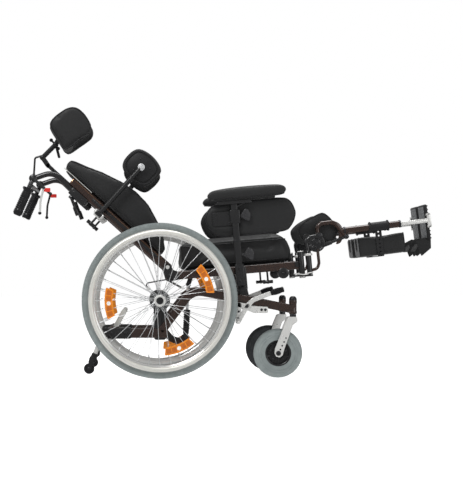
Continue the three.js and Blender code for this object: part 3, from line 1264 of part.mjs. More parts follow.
/** The pad, with the plate on its outer face that the arm is bolted to. */
function lateralPad(side) {
  const outline = outlineOf(lateralPadShares, lateral.reach - lateral.padDepth / 2,
    lateral.up - lateral.padHeight / 2,
    lateral.padDepth, lateral.padHeight);
  const inner = side * (lateral.padY - lateral.padThick / 2);
  const outer = side * (lateral.padY + lateral.padThick / 2);
  const plateOutline = outline.map(([x, z]) => [lateral.reach + (x - lateral.reach) * lateral.plateShare,
    lateral.up + (z - lateral.up) * lateral.plateShare]);
  return inBack(join(pad(outline, inner, outer),
    panel(plateOutline, outer - side, outer + side * lateral.plateThick)));
}

for (const [name, side] of sides) {
  const swing = pivot(reclinePivot, `${name}_lateral_pivot`,
    onBack(lateral.offset, side * lateral.y, lateral.up));
  add(swing, `${name}_lateral_arm`, lateralArm(side), materials.black);
  add(swing, `${name}_lateral_pad`, lateralPad(side), materials.vinyl);
}

// Head support
const headSlide = pivot(reclinePivot, 'headrest_slide', onBack(head.postOffset, 0, head.postEnd));

/** The post: a flat bar with two cheeks and the pin for the link. */
function headPost() {
  const halfX = head.postDepth / 2;
  const bar = inBack(block([head.postOffset - halfX, -head.postWidth / 2, head.postStart],
    [head.postOffset + halfX, head.postWidth / 2, head.postEnd]));
  const inner = head.linkWidth / 2 + gap;
  const outer = inner + head.cheekThick;
  const top = onBack(head.postOffset, 0, head.postEnd);
  const low = onBack(head.postOffset, 0, head.postEnd - 2 * head.eyeRadius);
  const cheeks = [-1, 1].flatMap((hand) => [
    link([top.x, top.z], [head.hingeX, head.hingeZ], 1.6 * head.eyeRadius, hand * inner, hand * outer),
    link([low.x, low.z], [top.x, top.z], head.postDepth, hand * inner, hand * outer),
  ]);
  return join(bar, ...cheeks, discY(head.hingeX, head.hingeZ, -outer, outer, head.pinRadius, pinSides));
}

function headLink() {
  const half = head.linkWidth / 2;
  const ends = [[head.hingeX, head.hingeZ], [head.padHingeX, head.padHingeZ]];
  const body = link(ends[0], ends[1], 1.5 * head.eyeRadius, -half, half);
  const bores = ends.map(([x, z]) => drillY(x, z, -half - overrun, half + overrun, head.bore));
  return cut(body, ...bores);
}

/** The head pad: a padded back with two wings, and the cheeks that hold it on the link. */
function headPad() {
  const padFrame = frameAt(head.padX, head.padZ, head.padLean);
  const inPad = (body) => body.transform(padFrame.elements);
  const outline = wingShares.map(([up, forward]) => [forward * head.padDepth, up * head.padHeight]);
  const inner = head.halfWidth - head.wingThick;
  const wings = sides.map(([, side]) => pad(outline, side * inner, side * head.halfWidth));
  const rear = outlineOf([[0, 0.1], [0, 0.85], [0.4, 0.96], [1, 0.9], [1, 0.1], [0.4, 0]], 0, 0,
    head.padThick, head.padHeight);
  const centre = [head.padThick / 2, head.padHeight / 2];
  const middle = stuffed(rear, centre, [{ y: -inner - overrun, along: 1, up: 1 },
    { y: 0, along: 1.06, up: 1.03 }, { y: inner + overrun, along: 1, up: 1 }]);
  const innerY = head.linkWidth / 2 + gap;
  const outerY = innerY + head.cheekThick;
  const mount = at(head.padHingeX, 0, head.padHingeZ).applyMatrix4(padFrame.clone().invert());
  const cheeks = [-1, 1].map((hand) => link([mount.x, mount.z],
    [head.cheekThick * 2, mount.z + head.eyeRadius], 1.5 * head.eyeRadius, hand * innerY, hand * outerY));
  const pin = discY(mount.x, mount.z, -outerY, outerY, head.pinRadius, pinSides);
  const clearance = at(mount.x, 0, mount.z);
  const relief = discY(clearance.x, clearance.z, -innerY, innerY, head.eyeRadius, 12);
  const lever = rod([mount.x, outerY - sink, mount.z],
    [mount.x, outerY + head.leverLength, mount.z - head.eyeRadius], head.leverRadius, 8);
  return inPad(join(cut(join(...wings, middle), relief), ...cheeks, pin, lever));
}

add(headSlide, 'headrest_post', headPost(), materials.black);
const headHinge = pivot(headSlide, 'headrest_link_pivot', at(head.hingeX, 0, head.hingeZ));
add(headHinge, 'headrest_link', headLink(), materials.black);
const headPadHinge = pivot(headHinge, 'headrest_pad_pivot', at(head.padHingeX, 0, head.padHingeZ));
add(headPadHinge, 'headrest_pad', headPad(), materials.vinyl);

// Leg supports
/** The hanger: a post on the seat's pin, a tube up to the knee, and the ratchet hub beside it. */
function hangerBody(side) {
  const y = side * hanger.y;
  const post = inSeat(rod([hangerAlong, y, hanger.bottom], [hangerAlong, y, hanger.top], hanger.postRadius,
    8));
  const top = onSeat(hangerAlong, y, hanger.top - 2 * sink);
  const riser = tube([[top.x, y, top.z], [hangerX - hanger.riseBack, y, hanger.riseZ],
    [kneeX, y, hanger.kneeZ]],
    { width: 2 * hanger.tubeRadius, bend: hanger.bend });
  const inner = hanger.y - hanger.hubThick / 2;
  const hubBody = discY(hangerX + hanger.hubAhead, hanger.hubZ, side * inner,
    side * (hanger.y + hanger.hubThick / 2),
    hanger.hubRadius, 14);
  const pinEnd = leg.y - leg.eyeWidth / 2 - gap;
  const pin = discY(kneeX, hanger.kneeZ, side * pinEnd, y, hanger.kneePinRadius);
  const stay = kneeStay(side);
  const bore = inSeat(drill([hangerAlong, y, hanger.bottom - overrun],
    [hangerAlong, y, hanger.collarH + 2 * gap], hanger.bore));
  return cut(join(post, riser, hubBody, pin, stay), bore);
}

/** The stay that reaches over to the knee pad's plate, in front of the leg tube's eye. */
function kneeStay(side) {
  const x = hangerX - kneeRest.back + kneeRest.length * 0.22;
  const z = hanger.kneeZ - hanger.hubRadius * 0.2;
  const face = kneeRest.innerY + kneeRest.thick + gap;
  return rod([x, side * face, z], [x, side * hanger.y, z], hanger.tubeRadius * 0.8, 8);
}

/** The leg tube: an arch over the knee joint, the straight tube, its strut and the crescent plate. */
function legTube(side) {
  const y = side * leg.y;
  const half = leg.eyeWidth / 2;
  const eye = discY(0, 0, y - half, y + half, leg.eyeRadius, 10);
  const arch = tube([[0, y, 0], [0, y, leg.arcHeight], [leg.arcEnd * 0.62, y, leg.arcHeight],
    [leg.arcEnd, y, leg.arcDrop]],
    { width: 2 * leg.arcRadius, bend: leg.bend });
  const straight = rod([leg.tubeStart, y, leg.tubeZ], [leg.tubeEnd, y, leg.tubeZ], leg.tubeRadius, 10);
  const strut = rod([leg.strutStart, y, leg.strutDrop], [leg.arcEnd, y, leg.arcDrop], leg.strutRadius, 8);
  const crescent = panel(outlineOf(crescentShares, 0, leg.strutDrop, leg.arcEnd,
    leg.arcHeight - leg.strutDrop),
    y - leg.crescentThick / 2, y + leg.crescentThick / 2);
  const eyeBore = drillY(0, 0, y - half - overrun, y + half + overrun, leg.bore);
  const hollow = drill([leg.boreStart, y, leg.tubeZ], [leg.tubeEnd + overrun, y, leg.tubeZ], leg.tubeBore);
  return inLeg(cut(join(eye, arch, straight, strut, crescent), eyeBore, hollow));
}

/** The foot tube in the leg tube, with the block and pin that the footplate turns on. */
function footTube(side) {
  const y = side * leg.y;
  const bar = rod([foot.start, y, leg.tubeZ], [foot.end, y, leg.tubeZ],
    boreRadius(foot.tubeRadius, boreSides), boreSides);
  const half = foot.tubeRadius;
  const near = side * (leg.y + half);
  const far = side * foot.hingeY;
  const blockEnd = foot.end + foot.blockLength / 2;
  const barrelHalf = footRest.barrelHeight / 2 + gap;
  const ears = [-1, 1].map((hand) => {
    const [low, high] = hand < 0 ? [-barrelHalf - half, -barrelHalf] : [barrelHalf, barrelHalf + half];
    const reach = far - side * foot.earReach;
    return block([foot.end - foot.blockLength / 2, Math.min(near, reach), leg.tubeZ + low],
      [blockEnd, Math.max(near, reach), leg.tubeZ + high]);
  });
  const spine = block([foot.end - foot.blockLength / 2, Math.min(near, side * (leg.y - half)),
    leg.tubeZ - barrelHalf - half],
    [blockEnd, Math.max(near, side * (leg.y - half)), leg.tubeZ + barrelHalf + half]);
  const pin = rod([foot.end, far, leg.tubeZ - barrelHalf - sink],
    [foot.end, far, leg.tubeZ + barrelHalf + sink], foot.hingePin);
  return inLeg(join(bar, ...ears, spine, pin));
}

/** The footplate: a ribbed plate on its barrel, with the heel strap's two flaps below. */
function footplate(side) {
  const x = foot.end;
  const half = footRest.thick / 2;
  const outerY = foot.hingeY - footRest.barrelRadius;
  const innerY = outerY - footRest.width;
  const [yLow, yHigh] = [Math.min(side * innerY, side * outerY), Math.max(side * innerY, side * outerY)];
  const board = block([x - half, yLow, footRest.bottom], [x + half, yHigh, footRest.top]);
  const barrelHalf = footRest.barrelHeight / 2;
  const barrel = rod([x, side * foot.hingeY, leg.tubeZ - barrelHalf],
    [x, side * foot.hingeY, leg.tubeZ + barrelHalf], footRest.barrelRadius, 8);
  const web = block([x - half / 2, Math.min(side * (outerY - half), side * (outerY + half / 2)),
    leg.tubeZ - barrelHalf],
    [x + half / 2, Math.max(side * (outerY - half), side * (outerY + half / 2)), leg.tubeZ + barrelHalf]);
  const pitch = (footRest.top - footRest.bottom) / footRest.ribs;
  const grooves = [];
  for (let i = 0; i < footRest.ribs; i += 1) {
    const middle = footRest.bottom + pitch * (i + 0.5);
    grooves.push(block([x + half - footRest.ribDepth, yLow - overrun, middle - footRest.ribHeight / 2],
      [x + half + overrun, yHigh + overrun, middle + footRest.ribHeight / 2]));
  }
  const flaps = [yLow + footRest.strapInset, yHigh - footRest.strapInset].map((y) => panel([
    [x + half, footRest.bottom + footRest.ribHeight],
    [x - half, footRest.bottom + footRest.ribHeight],
    [x - footRest.strapLength, footRest.bottom - footRest.strapDrop * 0.2],
    [x - footRest.strapLength * 0.5, footRest.bottom - footRest.strapDrop * 0.8],
    [x + half, footRest.bottom - footRest.strapDrop * 0.5],
  ], y - footRest.strapThick / 2, y + footRest.strapThick / 2));
  const bore = drill([x, side * foot.hingeY, leg.tubeZ - barrelHalf - overrun],
    [x, side * foot.hingeY, leg.tubeZ + barrelHalf + overrun], foot.bore);
  return inLeg(cut(join(cut(board, ...grooves), barrel, web, ...flaps), bore));
}

/** The calf pad: a padded trough on a strap from the sleeve round the leg tube. */
function calfPad(side) {
  const y = side * calfRest.centreY;
  const half = calfRest.width / 2;
  const bottom = calfRest.top - calfRest.height;
  const shape = new THREE.Shape([[-half, -calfRest.height + calfRest.crown],
    [-half + calfRest.crown, -calfRest.height], [half - calfRest.crown, -calfRest.height],
    [half, -calfRest.height + calfRest.crown], [half, -calfRest.crown], [half - calfRest.wall / 2, 0],
    [half - calfRest.wall, -calfRest.crown],
    [half - 1.6 * calfRest.wall, -calfRest.height + calfRest.wall],
    [-half + 1.6 * calfRest.wall, -calfRest.height + calfRest.wall],
    [-half + calfRest.wall, -calfRest.crown], [-half + calfRest.wall / 2, 0],
    [-half, -calfRest.crown]].map(([a, b]) => new THREE.Vector2(a, b)));
  const trough = solid(new THREE.ExtrudeGeometry(shape,
    { depth: calfRest.end - calfRest.start, bevelEnabled: false })
    .rotateX(Math.PI / 2).rotateZ(Math.PI / 2).translate(calfRest.start, y, calfRest.top));
  const sleeveSides = 12;
  const bore = boreRadius(leg.tubeRadius + gap, sleeveSides);
  const outer = bore + calfRest.sleeveWall;
  const length = calfRest.sleeveEnd - calfRest.sleeveStart;
  const sleeve = turned([[bore, 0], [outer, 0], [outer, length], [bore, length]], sleeveSides,
    [calfRest.sleeveStart, side * leg.y, leg.tubeZ], [calfRest.sleeveEnd, side * leg.y, leg.tubeZ]);
  const mid = (calfRest.sleeveStart + calfRest.sleeveEnd) / 2;
  const [strapLow, strapHigh] = [mid - calfRest.strapWidth / 2, mid + calfRest.strapWidth / 2];
  const face = calfRest.centreY + half - sink;
  const strap = block([strapLow, Math.min(side * face, side * (face + sink + calfRest.strapThick)),
    calfRest.strapBottom],
    [strapHigh, Math.max(side * face, side * (face + sink + calfRest.strapThick)), leg.tubeZ]);
  const reach = block([strapLow, Math.min(side * face, side * (leg.y - bore - sink)),
    leg.tubeZ - calfRest.strapThick],
    [strapHigh, Math.max(side * face, side * (leg.y - bore - sink)), leg.tubeZ]);
  const shelf = block([strapLow, y - half, bottom - calfRest.strapThick],
    [strapHigh, y + half, bottom + sink]);
  return inLeg(join(trough, sleeve, strap, reach, shelf));
}

function kneePad(side) {
  const outline = outlineOf(kneeShares, hangerX - kneeRest.back, kneeRest.z, kneeRest.length,
    kneeRest.height);
  return pad(outline, side * kneeRest.innerY, side * (kneeRest.innerY + kneeRest.thick));
}

for (const [name, side] of sides) {
  const swing = pivot(tiltPivot, `${name}_hanger_pivot`,
    onSeat(hangerAlong, side * hanger.y, hanger.bottom));
  add(swing, `${name}_legrest_hanger`, hangerBody(side), materials.black);
  add(swing, `${name}_knee_pad`, kneePad(side), materials.vinyl);
  const raise = pivot(swing, `${name}_knee_pivot`, at(kneeX, side * leg.y, hanger.kneeZ));
  add(raise, `${name}_leg_tube`, legTube(side), materials.frame);
  const calfSwing = pivot(raise, `${name}_calf_pivot`, onLeg(calfRest.sleeveStart, side * leg.y, leg.tubeZ));
  add(calfSwing, `${name}_calf_pad`, calfPad(side), materials.vinyl);
  const slide = pivot(raise, `${name}_foot_slide`, onLeg(foot.start, side * leg.y, leg.tubeZ));
  add(slide, `${name}_foot_tube`, footTube(side), materials.silver);
  const flip = pivot(slide, `${name}_footplate_pivot`, onLeg(foot.end, side * foot.hingeY, leg.tubeZ));
  add(flip, `${name}_footplate`, footplate(side), materials.plastic);
}

// The origin is on the floor, below the middle of the whole object
const bounds = new THREE.Box3().setFromObject(wheelchair);
const middle = bounds.getCenter(new THREE.Vector3());
wheelchair.position.set(-middle.x, -middle.y, -bounds.min.z);

export default wheelchair;
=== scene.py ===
"""Dresses a tilt in space wheelchair: tubes, wheels, upholstery and its small hardware."""

from __future__ import annotations

import logging
import math
from dataclasses import dataclass
from enum import Enum
from typing import Callable, Iterable, Sequence

import bmesh
import bpy
from mathutils import Matrix, Vector
from mathutils.bvhtree import BVHTree

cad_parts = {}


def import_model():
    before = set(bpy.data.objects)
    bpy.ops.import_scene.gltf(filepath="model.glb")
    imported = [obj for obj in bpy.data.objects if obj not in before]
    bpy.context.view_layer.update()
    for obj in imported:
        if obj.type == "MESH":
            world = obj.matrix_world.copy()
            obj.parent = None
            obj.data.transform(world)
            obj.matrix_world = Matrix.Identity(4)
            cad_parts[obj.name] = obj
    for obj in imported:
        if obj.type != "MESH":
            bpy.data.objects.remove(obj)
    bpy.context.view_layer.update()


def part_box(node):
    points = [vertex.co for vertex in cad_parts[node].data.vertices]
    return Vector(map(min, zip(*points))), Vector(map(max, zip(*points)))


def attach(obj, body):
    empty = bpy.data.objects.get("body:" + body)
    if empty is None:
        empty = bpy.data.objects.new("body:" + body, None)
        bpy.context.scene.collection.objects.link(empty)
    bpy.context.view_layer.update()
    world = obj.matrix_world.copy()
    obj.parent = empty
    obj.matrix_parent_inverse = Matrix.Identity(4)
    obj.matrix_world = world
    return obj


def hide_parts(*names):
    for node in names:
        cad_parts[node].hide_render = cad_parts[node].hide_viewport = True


logger = logging.getLogger("wheelchair")

MM = 0.001
Point = Sequence[float]
Colour = tuple[float, float, float]
Outline = list[tuple[float, float]]
Mesh = bmesh.types.BMesh
Piece = bpy.types.Object
Socket = bpy.types.NodeSocket

# Places that several parts share, in millimetres. These lie forward of the rear axle and above the floor.
AXLE_UP = 305.0
SPRING_Y = -90.0
SPRING_TOP = (117.0, 369.0)
TILT_PIN = (330.0, 352.0)
KNEE = (633.0, 562.0)
PUSH_PIVOT = (-500.0, 787.0)

# These lie in the seat's frame.
RECLINE_UP = 37.0
ARMREST_ALONG = 281.0
ARMREST_Y = 245.0
HANGER_ALONG = 562.0
HANGER_Y = 215.0

# These lie in the back's frame.
LATERAL_UP = 341.0
LATERAL_OFFSET = -24.0
LATERAL_Y = 240.0

# The bend of a route whose points already follow its curve.
NO_BEND = 0.01
FULL_TURN = 2 * math.pi


class Side(Enum):
    """The two sides of the chair, as its sitter names them."""

    RIGHT = -1
    LEFT = 1

    @property
    def label(self) -> str:
        """The side's word in node and body names."""
        return self.name.lower()


# Frames


@dataclass(frozen=True)
class Frame:
    """A local frame in millimetres, whose X rises from the floor by an angle."""

    matrix: Matrix

    def at(self, along: float, y: float, up: float) -> Vector:
        """Gives a local point's place in the row frame, in metres."""
        return self.matrix @ Vector((along, y, up))

    def inside(self, outer: Frame, along: float, y: float, up: float) -> Vector:
        """Gives this frame's local point as a point of another frame."""
        return outer.matrix.inverted() @ self.at(along, y, up)


@dataclass(frozen=True)
class Frames:
    """The chair's frames, placed from the rear axle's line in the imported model.

    Attributes:
        axle_x: Where the rear axle stands along the row's X, in metres.
        seat_origin: The seat frame's origin, forward of the axle and above the floor.
        head_origin: The head pad's lower rear corner, likewise.
        seat_slope: How far the seat rises towards the front, in degrees.
        back_recline: How far the back leans from upright.
        leg_slope: How far the leg tubes rise towards the feet.
        head_lean: How far the head pad leans from upright.
    """

    axle_x: float
    seat_origin: Point = (34.0, 400.0)
    head_origin: Point = (-379.0, 901.0)
    seat_slope: float = 5.0
    back_recline: float = 48.0
    leg_slope: float = 7.1
    head_lean: float = 33.6

    def make(self, x: float, z: float, angle: float) -> Frame:
        """Makes a frame.

        Args:
            x: Its origin forward of the axle, in millimetres.
            z: Its origin above the floor, in millimetres.
            angle: How far its X axis rises, in degrees.

        Returns:
            The frame, from local millimetres to the row's metres.
        """
        place = Matrix.Translation((self.axle_x + x * MM, 0.0, z * MM))
        return Frame(place @ Matrix.Rotation(-math.radians(angle), 4, "Y") @ Matrix.Scale(MM, 4))

    @property
    def base(self) -> Frame:
        """The frame at floor level under the rear axle."""
        return self.make(0, 0, 0)

    @property
    def seat(self) -> Frame:
        """The frame along the seat rails."""
        return self.make(*self.seat_origin, self.seat_slope)

    @property
    def back(self) -> Frame:
        """The frame at the recline pin: X forward of the back, Z up the canes."""
        pin = self.base.matrix.inverted() @ self.seat.at(0, 0, RECLINE_UP)
        return self.make(pin.x, pin.z, self.back_recline)

    @property
    def leg(self) -> Frame:
        """The frame along a leg tube from the knee pivot."""
        return self.make(*KNEE, self.leg_slope)

    @property
    def head(self) -> Frame:
        """The frame of the head pad's back face."""
        return self.make(*self.head_origin, self.head_lean)


# Outlines


def rounded(points: Sequence[Point], radius: float, steps: int = 4) -> Outline:
    """Rounds each corner of a closed outline.

    Args:
        points: The corners in order.
        radius: The corners' radius, cut back where a side is short.
        steps: How many chords each round corner gets.

    Returns:
        The rounded outline's points.
    """
    corners = [Vector((p[0], p[1])) for p in points]
    result: Outline = []
    for index, corner in enumerate(corners):
        before = corners[index - 1] - corner
        after = corners[(index + 1) % len(corners)] - corner
        half = before.angle(after) / 2
        reach = min(radius / max(math.tan(half), 1e-4), before.length * 0.48, after.length * 0.48)
        start = corner + before.normalized() * reach
        end = corner + after.normalized() * reach
        for step in range(steps + 1):
            share = step / steps
            first = start.lerp(corner, share)
            second = corner.lerp(end, share)
            point = first.lerp(second, share)
            result.append((point.x, point.y))
    return result


def flowing(points: Sequence[Point], steps: int = 5) -> Outline:
    """Runs one smooth closed curve through an outline's points.

    Args:
        points: The points that the curve passes.
        steps: How many chords lie between two of them.

    Returns:
        The curve's points.
    """
    count = len(points)
    result: Outline = []
    for index in range(count):
        a, b, c, d = (Vector(points[(index + k - 1) % count]) for k in range(4))
        for step in range(steps):
            t = step / steps
            square = (2 * a - 5 * b + 4 * c - d) * t**2
            cube = (3 * b - a - 3 * c + d) * t**3
            point = 0.5 * (2 * b + (c - a) * t + square + cube)
            result.append((point.x, point.y))
    return result


def scaled(shares: Sequence[Point], x: float, z: float, length: float, height: float) -> Outline:
    """Sizes an outline of shares from its lower rear corner."""
    return [(x + a * length, z + b * height) for a, b in shares]


def bar_outline(start: Point, end: Point, width: float, steps: int = 10) -> Outline:
    """Draws a flat bar with round ends.

    Args:
        start: The middle of the first end.
        end: The middle of the other end.
        width: The bar's width.
        steps: How many chords each end gets.

    Returns:
        The outline's points.
    """
    angle = math.atan2(end[1] - start[1], end[0] - start[0])
    points: Outline = []
    for middle, first in ((end, angle - math.pi / 2), (start, angle + math.pi / 2)):
        for step in range(steps + 1):
            turn = first + math.pi * step / steps
            points.append((middle[0] + width / 2 * math.cos(turn), middle[1] + width / 2 * math.sin(turn)))
    return points


def bend_route(points: Sequence[Point], bend: float, grain: float = 9.0) -> list[tuple[Vector, Vector]]:
    """Rounds a route's corners.

    Args:
        points: The corners that the route turns at.
        bend: The radius of each turn.
        grain: The most degrees between two stations of a turn.

    Returns:
        Each station's point and direction.
    """
    corners = [Vector(p) for p in points]
    stations: list[tuple[Vector, Vector]] = []
    for index, here in enumerate(corners):
        if index in (0, len(corners) - 1):
            other = corners[1] if index == 0 else corners[-2]
            run = (other - here) if index == 0 else (here - other)
            stations.append((here, run.normalized()))
            continue
        inward = (here - corners[index - 1]).normalized()
        outward = (corners[index + 1] - here).normalized()
        angle = inward.angle(outward)
        if angle < 1e-3:
            continue
        room = min((here - corners[index - 1]).length, (corners[index + 1] - here).length) * 0.49
        reach = min(bend * math.tan(angle / 2), room)
        axis = inward.cross(outward).normalized()
        spoke = axis.cross(inward) * (-reach / math.tan(angle / 2))
        middle = here - inward * reach - spoke
        steps = max(2, math.ceil(math.degrees(angle) / grain))
        for step in range(steps + 1):
            turn = Matrix.Rotation(angle * step / steps, 3, axis)
            stations.append((middle + turn @ spoke, turn @ inward))
    return stations


# Shapes


def axis_matrix(start: Vector, direction: Vector) -> Matrix:
    """Gives the placement that stands local Z at a start along a direction."""
    return Matrix.Translation(start) @ direction.to_track_quat("Z", "Y").to_matrix().to_4x4()


class Shape:
    """A mesh in the making, in the millimetres of one frame."""

    def __init__(self) -> None:
        """Starts with nothing in the mesh."""
        self.mesh = bmesh.new()

    def absorb(self, part: Mesh) -> Shape:
        """Takes a finished closed part in, with its faces turned outwards.

        Args:
            part: The part's own mesh, which is freed.

        Returns:
            This shape.
        """
        bmesh.ops.recalc_face_normals(part, faces=part.faces[:])
        buffer = bpy.data.meshes.new("buffer")
        part.to_mesh(buffer)
        part.free()
        self.mesh.from_mesh(buffer)
        bpy.data.meshes.remove(buffer)
        return self

    def block(self, low: Point, high: Point, bevel: float = 0.0, segments: int = 2) -> Shape:
        """Adds a box between two corners.

        Args:
            low: One corner.
            high: The other corner.
            bevel: The radius of its edges.
            segments: How many strips the edges get.

        Returns:
            This shape.
        """
        part = bmesh.new()
        bmesh.ops.create_cube(part, size=1.0)
        size = [abs(b - a) for a, b in zip(low, high)]
        middle = [(a + b) / 2 for a, b in zip(low, high)]
        bmesh.ops.transform(part, matrix=Matrix.Translation(middle) @ Matrix.Diagonal((*size, 1.0)),
                            verts=part.verts[:])
        soften(part, part.edges[:], min(bevel, min(size) * 0.45), segments)
        return self.absorb(part)

    def lathe(self, profile: Sequence[Point], start: Point, towards: Point, steps: int = 32,
              closed: bool = False) -> Shape:
        """Turns a profile about the line from one point towards another.

        Args:
            profile: Points of radius and distance along the line.
            start: Where the distances begin.
            towards: A point further along the line.
            steps: How many faces go round.
            closed: Whether the profile joins up off the axis, as a ring's does.

        Returns:
            This shape.
        """
        part = bmesh.new()
        verts = [part.verts.new((radius, 0, distance)) for radius, distance in profile]
        edges = [part.edges.new(pair) for pair in zip(verts, verts[1:])]
        if closed:
            edges.append(part.edges.new((verts[-1], verts[0])))
        bmesh.ops.spin(part, geom=verts + edges, cent=(0, 0, 0), axis=(0, 0, 1), dvec=(0, 0, 0),
                       angle=2 * math.pi, steps=steps, use_merge=True, use_duplicate=False)
        bmesh.ops.remove_doubles(part, verts=part.verts[:], dist=1e-3)
        begin = Vector(start)
        bmesh.ops.transform(part, matrix=axis_matrix(begin, Vector(towards) - begin), verts=part.verts[:])
        return self.absorb(part)

    def rod(self, start: Point, end: Point, radius: float, chamfer: float = 0.6, steps: int = 20) -> Shape:
        """Adds a round bar with softened ends.

        Args:
            start: The middle of one end.
            end: The middle of the other.
            radius: The bar's radius.
            chamfer: How far its end edges are cut back.
            steps: How many faces go round.

        Returns:
            This shape.
        """
        length = (Vector(end) - Vector(start)).length
        c = min(chamfer, radius * 0.6, length * 0.4)
        profile = [(0, 0), (radius - c, 0), (radius - 0.3 * c, 0.3 * c), (radius, c), (radius, length - c),
                   (radius - 0.3 * c, length - 0.3 * c), (radius - c, length), (0, length)]
        return self.lathe(profile, start, end, steps)

    def disc(self, x: float, z: float, y_from: float, y_to: float, radius: float, chamfer: float = 0.8,
             steps: int = 24) -> Shape:
        """Adds a round disc or bar along Y."""
        return self.rod((x, y_from, z), (x, y_to, z), radius, chamfer, steps)

    def plate(self, outline: Sequence[Point], y_from: float, y_to: float, bevel: float = 0.6,
              segments: int = 2) -> Shape:
        """Adds an outline in X and Z with thickness along Y.

        Args:
            outline: The outline's points.
            y_from: One face.
            y_to: The other face.
            bevel: The radius of the faces' edges.
            segments: How many strips the edges get.

        Returns:
            This shape.
        """
        part = prism(outline, y_from, y_to)
        if bevel > 0:
            soften(part, face_edges(part), min(bevel, abs(y_to - y_from) * 0.45), segments)
        return self.absorb(part)

    def link(self, start: Point, end: Point, width: float, y_from: float, y_to: float,
             bevel: float = 0.6) -> Shape:
        """Adds a flat bar with round ends between two points in X and Z."""
        return self.plate(bar_outline(start, end, width), y_from, y_to, bevel)

    def tube(self, points: Sequence[Point], width: float, height: float = 0.0, bend: float = 0.0,
             sides: int = 18, across: Point = (0, 1, 0), corner: float = 0.0, loop: bool = False) -> Shape:
        """Adds a bent tube or bar.

        Args:
            points: The corners of its middle line.
            width: Its size along the across direction.
            height: Its size in the plane of its bends, or 0 for a round tube.
            bend: The radius of its bends.
            sides: How many faces go round.
            across: The direction that its width lies along.
            corner: The corner radius of a square section, or 0 for a round one.
            loop: Whether the middle line closes on itself and has no ends.

        Returns:
            This shape.
        """
        part = bmesh.new()
        height = height or width
        if corner > 0:
            square = bmesh.ops.create_circle(part, cap_ends=False, segments=4, radius=math.sqrt(0.5),
                                             matrix=Matrix.Rotation(math.pi / 4, 4, "Z"))
            bmesh.ops.transform(part, matrix=Matrix.Diagonal((height, width, 1, 1)), verts=square["verts"])
            bmesh.ops.bevel(part, geom=part.verts[:] + part.edges[:], offset=corner, offset_type="OFFSET",
                            segments=4, profile=0.5, affect="VERTICES", material=-1)
        else:
            bmesh.ops.create_circle(part, cap_ends=False, segments=sides, radius=0.5)
            bmesh.ops.transform(part, matrix=Matrix.Diagonal((height, width, 1, 1)), verts=part.verts[:])
        stations = closed_stations(points) if loop else bend_route(points, bend)
        normal = Vector(across).cross(stations[0][1])
        if normal.length < 1e-4:
            normal = Vector((1, 0, 0)).cross(stations[0][1])
        normal.normalize()
        heading = stations[0][1]
        ring = part.edges[:]
        verts = part.verts[:]
        before = Matrix.Identity(4)
        for index, (point, tangent) in enumerate(stations):
            normal = heading.rotation_difference(tangent) @ normal
            normal = (normal - tangent * normal.dot(tangent)).normalized()
            heading = tangent
            turn = Matrix((normal, tangent.cross(normal), tangent)).transposed().to_4x4()
            place = Matrix.Translation(point) @ turn
            if index:
                ring, verts = extend(part, ring)
            bmesh.ops.transform(part, matrix=place @ before.inverted(), verts=verts)
            before = place
        if loop:
            bmesh.ops.bridge_loops(part, edges=[edge for edge in part.edges if edge.is_boundary])
        else:
            bmesh.ops.holes_fill(part, edges=part.edges[:], sides=0)
        return self.absorb(part)

    def ball(self, middle: Point, radius: float, squash: Point = (1, 1, 1), steps: int = 20) -> Shape:
        """Adds a ball, or an egg where it is squashed."""
        part = bmesh.new()
        bmesh.ops.create_uvsphere(part, u_segments=steps, v_segments=steps // 2, radius=radius)
        place = Matrix.Translation(middle) @ Matrix.Diagonal((*squash, 1.0))
        bmesh.ops.transform(part, matrix=place, verts=part.verts[:])
        return self.absorb(part)

    def screw(self, middle: Point, towards: Point, radius: float, height: float = 1.6) -> Shape:
        """Adds a button head with a hexagonal recess.

        Args:
            middle: The middle of its seat.
            towards: The way that its head faces, as a direction.
            radius: The head's radius.
            height: The head's height.

        Returns:
            This shape.
        """
        start = Vector(middle)
        recess = radius * 0.45
        profile = [(0, 0), (radius, 0), (radius, height * 0.35), (radius * 0.8, height * 0.85),
                   (recess * 1.25, height), (recess, height), (recess * 0.95, height * 0.3),
                   (0, height * 0.3)]
        return self.lathe(profile, start, start + Vector(towards), 12)

    def loft(self, outline: Sequence[Point], middle: Point, stations: Sequence[Point]) -> Shape:
        """Adds a form whose outline in X and Z changes along Y.

        Args:
            outline: The outline's points.
            middle: The point that the outline shrinks and grows about.
            stations: Each station's Y, its share along X and its share along Z.

        Returns:
            This shape.
        """
        part = bmesh.new()
        verts = [part.verts.new((x, 0, z)) for x, z in outline]
        ring = [part.edges.new((verts[i], verts[(i + 1) % len(verts)])) for i in range(len(verts))]
        before = Matrix.Identity(4)
        for index, (y, along, up) in enumerate(stations):
            about = Matrix.Translation((middle[0], 0, middle[1]))
            stretch = Matrix.Diagonal((along, 1, up, 1))
            place = Matrix.Translation((0, y, 0)) @ about @ stretch @ about.inverted()
            if index:
                ring, verts = extend(part, ring)
            bmesh.ops.transform(part, matrix=place @ before.inverted(), verts=verts)
            before = place
        bmesh.ops.holes_fill(part, edges=part.edges[:], sides=0)
        return self.absorb(part)


def prism(outline: Sequence[Point], y_from: float, y_to: float) -> Mesh:
    """Extrudes an outline in X and Z along Y.

    Args:
        outline: The outline's points.
        y_from: One face.
        y_to: The other face.

    Returns:
        The closed mesh.
    """
    part = bmesh.new()
    near = part.faces.new([part.verts.new((x, y_from, z)) for x, z in outline])
    made = bmesh.ops.extrude_face_region(part, geom=[near], use_keep_orig=True)
    moved = [item for item in made["geom"] if isinstance(item, bmesh.types.BMVert)]
    bmesh.ops.translate(part, vec=(0, y_to - y_from, 0), verts=moved)
    return part


def face_edges(part: Mesh) -> list[bmesh.types.BMEdge]:
    """Gives the edges round both faces of a prism."""
    return [edge for edge in part.edges if abs(edge.verts[0].co.y - edge.verts[1].co.y) < 1e-6]


